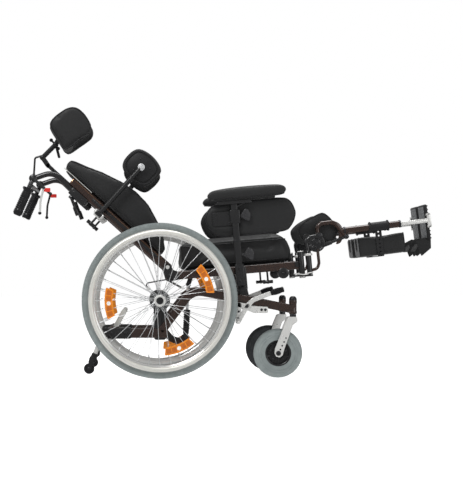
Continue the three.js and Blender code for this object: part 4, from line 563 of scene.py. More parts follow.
def extend(part: Mesh, ring: Sequence[bmesh.types.BMEdge]) -> tuple[list, list]:
    """Draws a strip of faces from a ring of edges.

    Args:
        part: The part's mesh.
        ring: The edges to start from.

    Returns:
        The new ring's edges and its points.
    """
    made = bmesh.ops.extrude_edge_only(part, edges=ring)["geom"]
    verts = [item for item in made if isinstance(item, bmesh.types.BMVert)]
    known = set(verts)
    edges = [item for item in made if isinstance(item, bmesh.types.BMEdge) and known.issuperset(item.verts)]
    return edges, verts


def soften(part: Mesh, edges: Iterable[bmesh.types.BMEdge], radius: float, segments: int = 2) -> None:
    """Rounds edges of a part.

    Args:
        part: The part's mesh.
        edges: The edges to round.
        radius: The rounding, where 0 leaves them sharp.
        segments: How many strips each edge gets.
    """
    if radius > 0:
        bmesh.ops.bevel(part, geom=list(edges), offset=radius, offset_type="OFFSET", segments=segments,
                        profile=0.5, affect="EDGES", material=-1, clamp_overlap=True)


def ray(angle: float) -> Vector:
    """Gives the direction at an angle in X and Z."""
    return Vector((math.cos(angle), 0, math.sin(angle)))


def both_ways(edge: Sequence[Point]) -> list[Point]:
    """Repeats a loft's stations on the other side of its middle, which is the last of them."""
    return [*edge, *((-y, along, up) for y, along, up in reversed(edge[:-1]))]


def handed(edge: Sequence[Point], hand: int) -> list[Point]:
    """Gives a loft's stations on the side of a hand."""
    return [(hand * y, along, up) for y, along, up in edge]


def turns(count: int) -> list[float]:
    """Gives evenly spaced angles round a full turn."""
    return [FULL_TURN * number / count for number in range(count)]


def both_faces(half: Sequence[Point]) -> list[Point]:
    """Completes a profile with its mirror image at the other end of its line."""
    return [*half, *((radius, -distance) for radius, distance in reversed(half))]


def placed(title: str, mesh: Mesh) -> Piece:
    """Puts a mesh in the scene as an object, and frees it."""
    data = bpy.data.meshes.new(title)
    mesh.to_mesh(data)
    mesh.free()
    item = bpy.data.objects.new(title, data)
    bpy.context.scene.collection.objects.link(item)
    return item


def closed_stations(points: Sequence[Point]) -> list[tuple[Vector, Vector]]:
    """Gives each point of a closed line with its direction."""
    line = [Vector(p) for p in points]
    count = len(line)
    return [(line[i], (line[(i + 1) % count] - line[i - 1]).normalized()) for i in range(count)]


# Finishes


class NodeWorks:
    """The node tree of one material."""

    def __init__(self, title: str) -> None:
        """Starts a material.

        Args:
            title: The material's name.
        """
        self.material = bpy.data.materials.new(title)
        self.material.use_nodes = True
        self.tree = self.material.node_tree
        self.shader = self.tree.nodes["Principled BSDF"]
        self.coords = self.tree.nodes.new("ShaderNodeTexCoord")

    def link(self, source: Socket, target: Socket) -> None:
        """Joins two sockets."""
        self.tree.links.new(source, target)

    def fix(self, values: dict[str, float]) -> None:
        """Sets plain values of the surface by their names."""
        for name, value in values.items():
            self.shader.inputs[name].default_value = value

    def tint(self, height: Socket, first: Colour, second: Colour) -> None:
        """Colours the surface by a height."""
        self.link(self.blend(height, first, second), self.shader.inputs["Base Color"])

    def roughen(self, height: Socket, low: float, high: float) -> None:
        """Varies the surface's roughness by a height."""
        self.link(self.spread(height, low, high), self.shader.inputs["Roughness"])

    def mapping(self, stretch: Point) -> Socket:
        """Places a pattern on the piece, scaled along each axis."""
        node = self.tree.nodes.new("ShaderNodeMapping")
        node.inputs["Scale"].default_value = stretch
        self.link(self.coords.outputs["Object"], node.inputs["Vector"])
        return node.outputs["Vector"]

    def noise(self, scale: float, detail: float = 3.0, stretch: Point = (1, 1, 1)) -> Socket:
        """Makes a cloudy pattern and gives its height."""
        node = self.tree.nodes.new("ShaderNodeTexNoise")
        node.inputs["Scale"].default_value = scale
        node.inputs["Detail"].default_value = detail
        self.link(self.mapping(stretch), node.inputs["Vector"])
        return node.outputs["Fac"]

    def cells(self, scale: float, stretch: Point = (1, 1, 1)) -> Socket:
        """Makes a pebbled pattern and gives each cell's distance."""
        node = self.tree.nodes.new("ShaderNodeTexVoronoi")
        node.inputs["Scale"].default_value = scale
        self.link(self.mapping(stretch), node.inputs["Vector"])
        return node.outputs["Distance"]

    def spread(self, source: Socket, low: float, high: float, from_low: float = 0.3,
               from_high: float = 0.7) -> Socket:
        """Stretches a height to a range of values."""
        node = self.tree.nodes.new("ShaderNodeMapRange")
        node.inputs["From Min"].default_value = from_low
        node.inputs["From Max"].default_value = from_high
        node.inputs["To Min"].default_value = low
        node.inputs["To Max"].default_value = high
        self.link(source, node.inputs["Value"])
        return node.outputs["Result"]

    def blend(self, factor: Socket, first: Colour, second: Colour) -> Socket:
        """Mixes two colours by a height."""
        node = self.tree.nodes.new("ShaderNodeMix")
        node.data_type = "RGBA"
        sockets = [socket for socket in node.inputs if socket.type == "RGBA"]
        for socket, colour in zip(sockets, (first, second)):
            socket.default_value = (*colour, 1)
        self.link(factor, node.inputs["Factor"])
        return next(socket for socket in node.outputs if socket.type == "RGBA")

    def bump(self, height: Socket, depth: float, strength: float) -> None:
        """Adds relief over what is there already.

        Args:
            height: The pattern's height.
            depth: The depth of its full range, in metres.
            strength: How much of it shows.
        """
        node = self.tree.nodes.new("ShaderNodeBump")
        node.inputs["Distance"].default_value = depth
        node.inputs["Strength"].default_value = strength
        normal = self.shader.inputs["Normal"]
        if normal.is_linked:
            self.link(normal.links[0].from_socket, node.inputs["Normal"])
        self.link(height, node.inputs["Height"])
        self.link(node.outputs["Normal"], normal)


def shade(colour: Colour, share: float) -> Colour:
    """Darkens or lightens a colour."""
    return tuple(min(1.0, part * share) for part in colour)


@dataclass(frozen=True)
class Finish:
    """A surface: its name, its slot in the record, and its plain values."""

    title: str
    slot: str
    colour: Colour
    roughness: float = 0.5
    metallic: float = 0.0

    def material(self) -> bpy.types.Material:
        """Gives the finish's material, made once."""
        found = bpy.data.materials.get(self.title)
        if found:
            return found
        works = NodeWorks(self.title)
        works.fix({"Metallic": self.metallic})
        works.material.diffuse_color = (*self.colour, 1)
        self.dress(works)
        return works.material

    def dress(self, works: NodeWorks) -> None:
        """Adds the finish's colour variation, wear and relief."""
        raise NotImplementedError


@dataclass(frozen=True)
class Paint(Finish):
    """Sprayed enamel with metal flecks under a clear coat."""

    fleck: Colour = (0.3, 0.16, 0.1)
    coat: float = 0.6

    def dress(self, works: NodeWorks) -> None:
        """Mixes flecks into the enamel and gives it a faint orange peel."""
        works.fix({"Coat Weight": self.coat, "Coat Roughness": 0.12})
        works.tint(works.spread(works.noise(900, 2), 0, 1, 0.52, 0.72), self.colour, self.fleck)
        works.roughen(works.noise(14, 4), self.roughness * 0.85, self.roughness * 1.2)
        works.bump(works.noise(260, 2), 0.00006, 0.35)


@dataclass(frozen=True)
class Alloy(Finish):
    """Bare or plated metal, brushed along one way or cast."""

    grain: Point = (1, 1, 1)
    metallic: float = 1.0

    def dress(self, works: NodeWorks) -> None:
        """Streaks the metal and dulls it in patches."""
        streaks = works.noise(420, 3, self.grain)
        works.tint(streaks, shade(self.colour, 0.86), shade(self.colour, 1.06))
        works.roughen(works.noise(22, 4), self.roughness * 0.75, self.roughness * 1.3)
        works.bump(streaks, 0.00003, 0.4)


@dataclass(frozen=True)
class Vinyl(Finish):
    """Coated upholstery cloth with a fine pebbled grain."""

    grain: float = 1500.0
    crease: float = 0.0006

    def dress(self, works: NodeWorks) -> None:
        """Pebbles the cloth, rubs its raised grain lighter and creases it softly."""
        works.fix({"Sheen Weight": 0.03, "Sheen Roughness": 0.45, "Specular IOR Level": 0.34})
        works.tint(works.noise(9, 5), shade(self.colour, 0.72), shade(self.colour, 1.3))
        works.roughen(works.noise(60, 3), self.roughness * 0.86, self.roughness * 1.12)
        works.bump(works.noise(16, 3, (1, 1, 2.4)), self.crease * 2, 0.5)
        works.bump(works.cells(self.grain), 0.00012, 0.45)


@dataclass(frozen=True)
class Plastic(Finish):
    """Moulded plastic with a spark-eroded grain."""

    grain: float = 1100.0

    def dress(self, works: NodeWorks) -> None:
        """Grains the plastic and varies its gloss and colour a little."""
        works.fix({"Specular IOR Level": 0.36})
        scuffs = works.noise(32, 5)
        works.tint(scuffs, shade(self.colour, 0.8), shade(self.colour, 1.25))
        works.roughen(scuffs, self.roughness * 0.88, self.roughness * 1.15)
        works.bump(works.noise(self.grain, 2), 0.00006, 0.4)


@dataclass(frozen=True)
class Rubber(Finish):
    """Tyre or grip rubber, chalky where it has been rubbed."""

    dust: Colour = (0.5, 0.54, 0.53)

    def dress(self, works: NodeWorks) -> None:
        """Dusts the rubber unevenly and gives it a dull tooth."""
        works.fix({"Specular IOR Level": 0.3})
        works.tint(works.spread(works.noise(45, 6), 0, 1, 0.35, 0.75), self.colour, self.dust)
        works.roughen(works.noise(120, 3), self.roughness * 0.9, min(1.0, self.roughness * 1.1))
        works.bump(works.noise(900, 3), 0.0001, 0.4)


@dataclass(frozen=True)
class Prism(Finish):
    """Clear coloured plastic with moulded prisms behind its face, given a painted glow: it emits light of its
    own, which a reflector does not.
    """

    glow: float = 0.1

    def dress(self, works: NodeWorks) -> None:
        """Paints a glow into the plastic: the prisms' colours are also emitted as light."""
        # Painted glow: the plastic emits light in its own colours.
        works.fix({"Emission Strength": self.glow, "Coat Weight": 0.25, "Coat Roughness": 0.05})
        prisms = works.cells(260)
        colours = works.blend(works.spread(prisms, 0, 1, 0.1, 0.6), shade(self.colour, 1.12),
                              shade(self.colour, 0.7))
        works.link(colours, works.shader.inputs["Base Color"])
        # The same colours feed the emission, so the painted glow follows the prisms.
        works.link(colours, works.shader.inputs["Emission Color"])
        works.roughen(prisms, self.roughness * 0.7, self.roughness * 1.4)
        works.bump(prisms, 0.0004, 0.6)


@dataclass(frozen=True)
class Finishes:
    """Every finish on the chair."""

    frame: Paint = Paint("brown_enamel", "frame_brown", (0.020, 0.009, 0.006), 0.22, 0.45,
                         (0.095, 0.038, 0.02), 1.0)
    # Copper on the brown frame: painted highlights that stand for the enamel's copper reflections.
    painted_copper_highlight: Alloy = Alloy("copper_highlight_paint", "frame_brown", (0.55, 0.3, 0.17), 0.3)
    black: Paint = Paint("black_enamel", "black_metal", (0.006, 0.006, 0.0068), 0.28, 0.15,
                         (0.014, 0.014, 0.015), 0.6)
    alloy: Alloy = Alloy("satin_alloy", "bright_alloy", (0.78, 0.78, 0.76), 0.32, 0.55, (1, 1, 0.08))
    chrome: Alloy = Alloy("bright_chrome", "bright_alloy", (0.8, 0.81, 0.82), 0.14, 0.8)
    steel: Alloy = Alloy("spoke_steel", "bright_alloy", (0.66, 0.67, 0.68), 0.3, 0.55)
    rim: Alloy = Alloy("polished_rim", "bright_alloy", (0.8, 0.8, 0.78), 0.2, 0.62, (1, 0.1, 1))
    cast: Alloy = Alloy("cast_alloy", "bright_alloy", (0.8, 0.79, 0.74), 0.36, 0.55)
    drum: Alloy = Alloy("drum_steel", "bright_alloy", (0.085, 0.087, 0.088), 0.38)
    tyre: Rubber = Rubber("grey_tyre", "tyre_rubber", (0.178, 0.203, 0.203), 0.8, 0.0, (0.222, 0.248, 0.244))
    # The grey tyre rubber darkened nearly to black: painted shade for the left castor, which stands in
    # shadow; the rubber itself is the same grey.
    painted_shade_tyre: Rubber = Rubber("tyre_painted_shade", "tyre_rubber", (0.022, 0.024, 0.026), 0.8, 0.0,
                               (0.035, 0.037, 0.04))
    vinyl: Vinyl = Vinyl("coated_vinyl", "charcoal_vinyl", (0.0135, 0.0138, 0.0143), 0.52)
    worn_vinyl: Vinyl = Vinyl("gathered_vinyl", "charcoal_vinyl", (0.0095, 0.0098, 0.0102), 0.58,
                              crease=0.0016)
    lining: Vinyl = Vinyl("grey_lining", "charcoal_vinyl", (0.12, 0.12, 0.122), 0.62, crease=0.001)
    mesh: Vinyl = Vinyl("knit_edge", "charcoal_vinyl", (0.014, 0.014, 0.015), 0.8, grain=520.0)
    piping: Vinyl = Vinyl("piping_vinyl", "charcoal_vinyl", (0.010, 0.010, 0.011), 0.5, grain=900.0)
    plastic: Plastic = Plastic("black_moulding", "black_plastic", (0.010, 0.010, 0.011), 0.42)
    gloss: Plastic = Plastic("gloss_moulding", "castor_hub_black", (0.012, 0.012, 0.013), 0.22)
    grey: Plastic = Plastic("grey_moulding", "black_plastic", (0.13, 0.135, 0.14), 0.45)
    grip: Rubber = Rubber("soft_grip", "grip_rubber", (0.008, 0.008, 0.009), 0.26, 0.0, (0.012, 0.012, 0.013))
    red: Plastic = Plastic("red_tab", "black_plastic", (0.55, 0.02, 0.015), 0.35)
    white: Plastic = Plastic("white_clip", "black_plastic", (0.75, 0.75, 0.73), 0.4)
    # The reflector finishes carry a painted glow: their plastic emits light.
    orange: Prism = Prism("orange_reflector", "black_plastic", (0.78, 0.235, 0.004), 0.3)
    amber: Prism = Prism("amber_window", "black_plastic", (0.5, 0.12, 0.002), 0.3)
    pale: Plastic = Plastic("pale_moulding", "black_plastic", (0.4, 0.4, 0.38), 0.45)
    # Black knob plastic lifted above the other black mouldings: partly its own colour, partly a painted
    # highlight so that the knobs stand out from the pads.
    knob: Plastic = Plastic("knob_moulding_painted_highlight", "black_plastic", (0.028, 0.028, 0.03), 0.26)
    oxide: Alloy = Alloy("blackened_steel", "black_metal", (0.075, 0.075, 0.08), 0.34)
    cable: Plastic = Plastic("cable_sheath", "cable_black", (0.03, 0.03, 0.032), 0.4)


FINISHES = Finishes()


# Pieces


class Workshop:
    """Turns shapes into pieces of the chair and keeps a list of them."""

    def __init__(self) -> None:
        """Starts the list."""
        self.made: list[str] = []

    def add(self, name: str, shape: Shape, place: Frame, finish: Finish, body: str,
            replaces: Sequence[str] = (), sharp: float = 38.0) -> Piece:
        """Makes one piece.

        Args:
            name: The piece's name.
            shape: Its mesh, in the millimetres of its frame.
            place: That frame.
            finish: Its surface.
            body: The body that it moves with.
            replaces: The nodes that it stands for.
            sharp: The least angle, in degrees, of an edge that stays crisp.

        Returns:
            The piece, with its place in its mesh.
        """
        piece = placed(name, shape.mesh)
        piece.data.transform(place.matrix)
        piece.data.materials.append(finish.material())
        piece.data.shade_smooth()
        piece.data.set_sharp_from_angle(angle=math.radians(sharp))
        return self.keep(piece, finish, body, replaces)

    def keep(self, piece: Piece, finish: Finish, body: str, replaces: Sequence[str] = ()) -> Piece:
        """Lists a piece that is already an object.

        Args:
            piece: The piece.
            finish: Its surface; not used.
            body: The body that it moves with.
            replaces: The nodes that it stands for.

        Returns:
            The same piece.
        """
        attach(piece, body)
        if replaces:
            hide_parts(*replaces)
        self.made.append(piece.name)
        logger.info("%s: %d faces on %s", piece.name, len(piece.data.polygons), body)
        return piece


@dataclass
class Sided:
    """A part that the chair carries once on each side.

    Attributes:
        side: The side that it stands on.
    """

    side: Side

    @property
    def hand(self) -> int:
        """The side's sign along Y."""
        return self.side.value

    @property
    def label(self) -> str:
        """The side's word in node and body names."""
        return self.side.label


# Base


@dataclass
class BaseFrame:
    """The welded frame between the wheels, from the castor housings to the anti-tip sleeves.

    Attributes:
        tube_y: How far each side tube's middle stands from the chair's.
        tube: The side tube's width and height.
        bend: The radius of its bends.
        route: The side tube's corners, forward of the axle and above the floor.
        rail_z: How high the rear rails' middle stands.
        rail_height: The rear rails' height.
        rail_rear: Where the rear rails enter their sleeves.
        sleeve_rear: Where the sleeves end.
        cross_radius: The cross tubes' radius.
        rear_cross_x: Where the rear cross tube stands.
        front_cross_x: Where the front cross tube stands.
        castor_x: Where the castor housings stand.
        sleeve_end: The anti-tip arms' pivot.
        spring_foot: The tilt spring's lower pivot.
    """

    tube_y: float = 232.0
    tube: Point = (30.0, 34.0)
    bend: float = 70.0
    route: Sequence[Point] = ((527, 270), (357, 305), (128, 346), (6, 184))
    rail_z: float = 177.0
    rail_height: float = 38.0
    rail_rear: float = -112.0
    sleeve_rear: float = -206.0
    cross_radius: float = 13.0
    rear_cross_x: float = 24.0
    front_cross_x: float = 290.0
    castor_x: float = 527.0
    sleeve_end: Point = (-222.0, 180.0)
    spring_foot: Point = (106.0, 158.0)

    def build(self, shop: Workshop, frames: Frames) -> None:
        """Makes the frame's tubes, plates, housings and pedals."""
        base = frames.base
        tubes, plates, trims, caps, pedals = (Shape() for _ in range(5))
        for side in Side:
            hand = side.value
            y = hand * self.tube_y
            tubes.tube([(x, y, z) for x, z in self.route], *self.tube, bend=self.bend, corner=9)
            tubes.tube([(self.rail_rear - 56, y, self.rail_z), (30, y, self.rail_z)], 30, self.rail_height,
                       corner=8)
            self.add_housing(tubes, caps, y)
            self.add_axle_plate(plates, trims, y, hand)
            self.add_lugs(plates, trims, y, hand)
            self.add_sleeve(plates, trims, y, hand)
            self.add_pedal(pedals, tubes, y, hand)
        half = self.tube_y - self.tube[0] / 2 + 2
        tubes.rod((self.rear_cross_x, -half, self.rail_z), (self.rear_cross_x, half, self.rail_z),
                  self.cross_radius)
        (front_x, front_low), (rear_x, rear_high) = self.route[1:3]
        front_z = front_low + (front_x - self.front_cross_x) * (rear_high - front_low) / (front_x - rear_x)
        tubes.rod((self.front_cross_x, -half, front_z), (self.front_cross_x, half, front_z),
                  self.cross_radius)
        self.add_spring_arm(plates, trims)
        shop.add("base_tubes", tubes, base, FINISHES.frame, "base", ["base_frame"])
        shop.add("base_plates", plates, base, FINISHES.black, "base")
        shop.add("base_bolts", trims, base, FINISHES.oxide, "base")
        shop.add("castor_housing_caps", caps, base, FINISHES.gloss, "base")
        shop.add("step_pedals", pedals, base, FINISHES.pale, "base")

    def add_housing(self, tubes: Shape, caps: Shape, y: float) -> None:
        """Adds one castor's upright bearing housing with its domed cap."""
        x = self.castor_x
        tubes.lathe([(0, 251), (13, 251), (15.6, 253), (16, 256), (16, 262), (14.8, 264), (14.8, 292),
                     (16, 294), (16, 303), (15.2, 305.5), (0, 305.5)], (x, y, 0), (x, y, 1), 32)
        caps.lathe([(0, 305), (15.4, 305), (15.6, 309), (14.2, 315), (10.8, 319.5), (6, 321.6), (0, 322)],
                   (x, y, 0), (x, y, 1), 32)

    def add_axle_plate(self, plates: Shape, trims: Shape, y: float, hand: int) -> None:
        """Adds the plate that holds a rear axle, its boss and its nuts."""
        outline = rounded([(-22, 150), (24, 150), (30, 196), (24, 330), (-16, 330), (-22, 300)], 9)
        inner = y - hand * 6
        plates.plate(outline, inner, y + hand * 6, 1.5)
        plates.disc(0, AXLE_UP, y - hand * 15, hand * 243.2, 19, 1.5, 28)
        plates.rod((0, y, 196), (0, y, 330), 11, 1, 18)
        trims.disc(0, AXLE_UP, hand * 234, hand * 304, 6, 0.8, 18)
        trims.disc(0, AXLE_UP, y - hand * 14, y - hand * 17, 11, 1, 6)
        for z in (172, 214, 262):
            trims.screw((6, inner, z), (0, -hand, 0), 7, 3.4)

    def add_lugs(self, plates: Shape, trims: Shape, y: float, hand: int) -> None:
        """Adds the tilt lug on the tube's inner face with its bolt."""
        lug = [(306, 306), (316, 352), (330, 371), (346, 356), (360, 300)]
        plates.plate(rounded(lug, 13, 5), y - hand * 17.5, y - hand * 11.5, 1)
        trims.disc(*TILT_PIN, y - hand * 20, y - hand * 17.6, 12, 0.6, 6)

    def add_sleeve(self, plates: Shape, trims: Shape, y: float, hand: int) -> None:
        """Adds the anti-tip arm's black sleeve with its bolts and cheeks."""
        low = (self.sleeve_rear, y - 18, self.rail_z - self.rail_height / 2 - 3)
        high = (self.rail_rear, y + 18, self.rail_z + self.rail_height / 2 + 3)
        plates.block(low, high, 5, 3)
        for cheek in (-1, 1):
            near = y + cheek * 11.9
            plates.link((-204, self.rail_z + 3), self.sleeve_end, 34, near, near + cheek * 5, 1)
        for x in (-188, -134):
            trims.screw((x, y + hand * 18, self.rail_z), (0, hand, 0), 6, 3)
        trims.disc(*self.sleeve_end, y - 20, y + 20, 6.5, 0.8, 18)

    def add_pedal(self, pedals: Shape, tubes: Shape, y: float, hand: int) -> None:
        """Adds one step pedal on its bent bar."""
        inner = y - hand * 2
        tubes.block((-196, inner - 9, 194), (-158, inner + 9, 203), 2)
        pedals.link((-174, 202), (-141, 262), 19, inner - 7, inner + 7, 2)
        for share in (0.62, 0.76, 0.9):
            x, z = -174 + 33 * share, 202 + 60 * share
            pedals.link((x - 8.6, z + 4.7), (x + 8.6, z - 4.7), 3.4, inner - 8, inner + 8, 0.8)

    def add_spring_arm(self, plates: Shape, trims: Shape) -> None:
        """Adds the curved bracket that carries the tilt spring's foot."""
        for offset in (-15.5, 10.5):
            y = SPRING_Y + offset
            arc = [(self.rear_cross_x, self.rail_z), (48, 148), (84, 138), self.spring_foot]
            plates.tube([(x, y + 2.5, z) for x, z in arc], 5, 26, 30, corner=2)
            plates.link((100, 155), self.spring_foot, 25, y, y + 5, 1)
        trims.disc(*self.spring_foot, SPRING_Y - 17.5, SPRING_Y + 17.5, 7, 0.8, 20)


# Wheels


@dataclass
class RearWheel(Sided):
    """A spoked rear wheel with its tyre, drum brake, handrim and reflectors.

    Attributes:
        spokes: How many spokes it has.
        crosses: How many others each spoke passes on its way.
    """

    plane_y: float = 280.0
    spokes: int = 36
    crosses: int = 3
    handrim_radius: float = 268.0
    handrim_tube: float = 9.5
    handrim_offset: float = 35.5
    reflector_angles: Sequence[float] = (25.0, 183.0, 292.0)
    valve_angle: float = 200.0

    def build(self, shop: Workshop, frames: Frames) -> None:
        """Makes the whole wheel."""
        self.base = frames.base
        self.body = f"{self.label}_wheel"
        self.middle = Vector((0, self.hand * self.plane_y, AXLE_UP))
        self.axis = (self.middle, (0, self.hand * (self.plane_y + 1), AXLE_UP))
        self.build_tyre(shop)
        self.build_rim(shop)
        self.build_hub(shop)
        self.build_handrim(shop)
        self.build_reflectors(shop)

    def spot(self, radius: float, angle: float, offset: float = 0.0) -> Vector:
        """Gives the point at a radius and an angle, and at an offset along Y from the wheel's plane."""
        return self.middle + ray(angle) * radius + Vector((0, offset, 0))

    def turned(self, shape: Shape, profile: Sequence[Point], steps: int, closed: bool = True) -> Shape:
        """Turns a profile of radius and outward distance about the axle."""
        return shape.lathe(profile, *self.axis, steps, closed)

    def build_tyre(self, shop: Workshop) -> None:
        """Makes the tyre with a centre groove and a blocked shoulder on each side."""
        tyre = Shape()
        tread = [(279, -12), (286, -15.6), (292, -17.2), (297, -16.8), (301, -14.2), (303.6, -10.5),
                 (304.6, -7.4), (303.3, -6.8), (303.3, -5.6), (304.9, -5), (305, -1.4), (303.6, -0.9)]
        self.turned(tyre, both_faces(tread), 128)
        for angle in turns(120):
            across = ray(angle + math.pi / 2)
            for edge in (-1, 1):
                ends = [self.spot(297.5, angle, edge * 16.6), self.spot(303.2, angle, edge * 12.4)]
                tyre.tube(ends, 5.6, 2.0, across=across, corner=0.5)
        shop.add(f"{self.label}_tyre_tread", tyre, self.base, FINISHES.tyre, self.body,
                 [f"{self.label}_rear_tyre"], 34)

    def build_rim(self, shop: Workshop) -> None:
        """Makes the rim, its spokes with nipples, and the valve."""
        rim = Shape()
        self.turned(rim, [(281, -12.3), (281.4, -10.4), (278.4, -9.6), (274, -9.4), (273, -8), (273, 8),
                          (274, 9.4), (278.4, 9.6), (281.4, 10.4), (281, 12.3), (276, 12.5), (266, 12.1),
                          (262, 11), (257, 7.5), (253, 5.5), (251.4, 3), (251, 0), (251.4, -3), (253, -5.5),
                          (257, -7.5), (262, -11), (266, -12.1), (276, -12.5)], 128)
        shop.add(f"{self.label}_rim", rim, self.base, FINISHES.rim, self.body, [f"{self.label}_rear_wheel"])
        spokes = Shape()
        steps = FULL_TURN / self.spokes
        for number in range(self.spokes):
            outward = 1 if number % 2 else -1
            lean = 1 if number % 4 < 2 else -1
            rim_angle = steps * number
            hub_angle = rim_angle + lean * steps * self.crosses * 1.02
            hub = self.spot(21, hub_angle, outward * 20 + lean * 1.9)
            end = self.spot(253, rim_angle, outward * 2.5)
            spokes.rod(hub, end, 1.05, 0.2, 8)
            spokes.rod(end + (hub - end).normalized() * 13, end, 2.1, 0.5, 8)
            spokes.ball(hub, 2.2, steps=8)
        valve = math.radians(self.valve_angle)
        spokes.rod(self.spot(253, valve), self.spot(222, valve), 3, 0.6, 12)
        spokes.rod(self.spot(226, valve), self.spot(214, valve), 4, 1.0, 12)
        shop.add(f"{self.label}_spokes", spokes, self.base, FINISHES.steel, self.body)

    def build_hub(self, shop: Workshop) -> None:
        """Makes the hub shell, its brake drum with cooling teeth, and the cap."""
        drum = Shape()
        inner = -36
        self.turned(drum, [(8, inner), (38, inner), (40, inner + 2), (40, inner + 12), (37, inner + 16),
                           (23, inner + 17), (8, inner + 17)], 48)
        for angle in turns(36):
            ends = [self.spot(38.5, angle, self.hand * (inner + depth)) for depth in (2.5, 13)]
            drum.tube(ends, 3.4, 4.6, across=ray(angle + math.pi / 2), corner=0.6)
        shop.add(f"{self.label}_brake_drum", drum, self.base, FINISHES.drum, self.body)
        hub = Shape()
        self.turned(hub, [(8, -19.5), (23, -22), (23.5, -21), (23.5, -19), (16, -17.5), (14, -10), (13.4, 0),
                          (14, 10), (16, 17.5), (23.5, 19), (23.5, 21), (23, 22), (21, 23), (21, 25),
                          (8, 25)], 48)
        shop.add(f"{self.label}_hub_shell", hub, self.base, FINISHES.alloy, self.body)
        ring = Shape()
        self.turned(ring, [(14.5, 24.5), (21, 24.5), (21, 26.5), (19.5, 28), (14.5, 28)], 40)
        shop.add(f"{self.label}_hub_ring", ring, self.base, FINISHES.alloy, self.body)
        cap = Shape()
        self.turned(cap, [(0, 25.3), (14.2, 25.3), (14.2, 28.5), (12.6, 30.6), (5, 31), (4.4, 30), (0, 29.8)],
                    36, False)
        shop.add(f"{self.label}_hub_cap", cap, self.base, FINISHES.gloss, self.body)

    def build_handrim(self, shop: Workshop) -> None:
        """Makes the handrim and the tabs that hold it to the rim."""
        rim = Shape()
        offset = self.handrim_offset
        round_tube = [ray(angle) * self.handrim_tube for angle in turns(16)]
        profile = [(self.handrim_radius + point.x, offset + point.z) for point in round_tube]
        self.turned(rim, profile, 144)
        for angle in (turn + math.pi / 6 for turn in turns(6)):
            foot = self.spot(273, angle, self.hand * 9)
            head = self.spot(self.handrim_radius, angle, self.hand * (offset - 7.5))
            rim.rod(foot, head, 3.4, 0.5, 14)
            rim.rod(foot, foot.lerp(head, 0.25), 5.4, 0.8, 6)
        shop.add(f"{self.label}_handrim_tube", rim, self.base, FINISHES.cast, self.body,
                 [f"{self.label}_handrim"])

    def build_reflectors(self, shop: Workshop) -> None:
        """Makes the spoke reflectors with their bright panes and round clips."""
        lenses, panes, clips = Shape(), Shape(), Shape()
        sweep = math.radians(34)
        face = self.hand * self.plane_y
        for degrees in self.reflector_angles:
            middle = math.radians(degrees)
            lens = self.arc_band(middle, 216, sweep / 2, 184, sweep * 0.45, 14)
            lenses.plate(rounded(lens, 4, 2), face + self.hand * 2.9, face + self.hand * 9, 1.6)
            for first, last in ((-0.43, -0.27), (-0.24, -0.09), (0.09, 0.24), (0.27, 0.43)):
                reach = sweep * (last - first) / 2
                pane = self.arc_band(middle + sweep * (first + last) / 2, 210, reach, 190, reach, 4)
                panes.plate(rounded(pane, 1.5, 2), face + self.hand * 8.6, face + self.hand * 9.6, 0.3)
            clip = self.spot(200, middle)
            clips.disc(clip.x, clip.z, face + self.hand * 8.6, face + self.hand * 11, 8, 1.0, 24)
            clips.disc(clip.x, clip.z, face + self.hand * 10.6, face + self.hand * 12, 3.2, 0.6, 6)
        shop.add(f"{self.label}_reflectors", lenses, self.base, FINISHES.orange, self.body)
        shop.add(f"{self.label}_reflector_panes", panes, self.base, FINISHES.amber, self.body)
        shop.add(f"{self.label}_reflector_clips", clips, self.base, FINISHES.white, self.body)

    def arc_band(self, middle: float, outer: float, outer_reach: float, inner: float, inner_reach: float,
                 steps: int) -> Outline:
        """Outlines a band of the wheel between two radii.

        Args:
            middle: The angle of its middle.
            outer: Its outer radius.
            outer_reach: How far its outer edge goes either way, in radians.
            inner: Its inner radius.
            inner_reach: How far its inner edge goes either way.
            steps: How many chords each edge gets.

        Returns:
            The outline's points.
        """
        shares = [2 * k / steps - 1 for k in range(steps + 1)]
        spots = [self.spot(outer, middle + outer_reach * share) for share in shares]
        spots += [self.spot(inner, middle + inner_reach * share) for share in reversed(shares)]
        return [(spot.x, spot.z) for spot in spots]


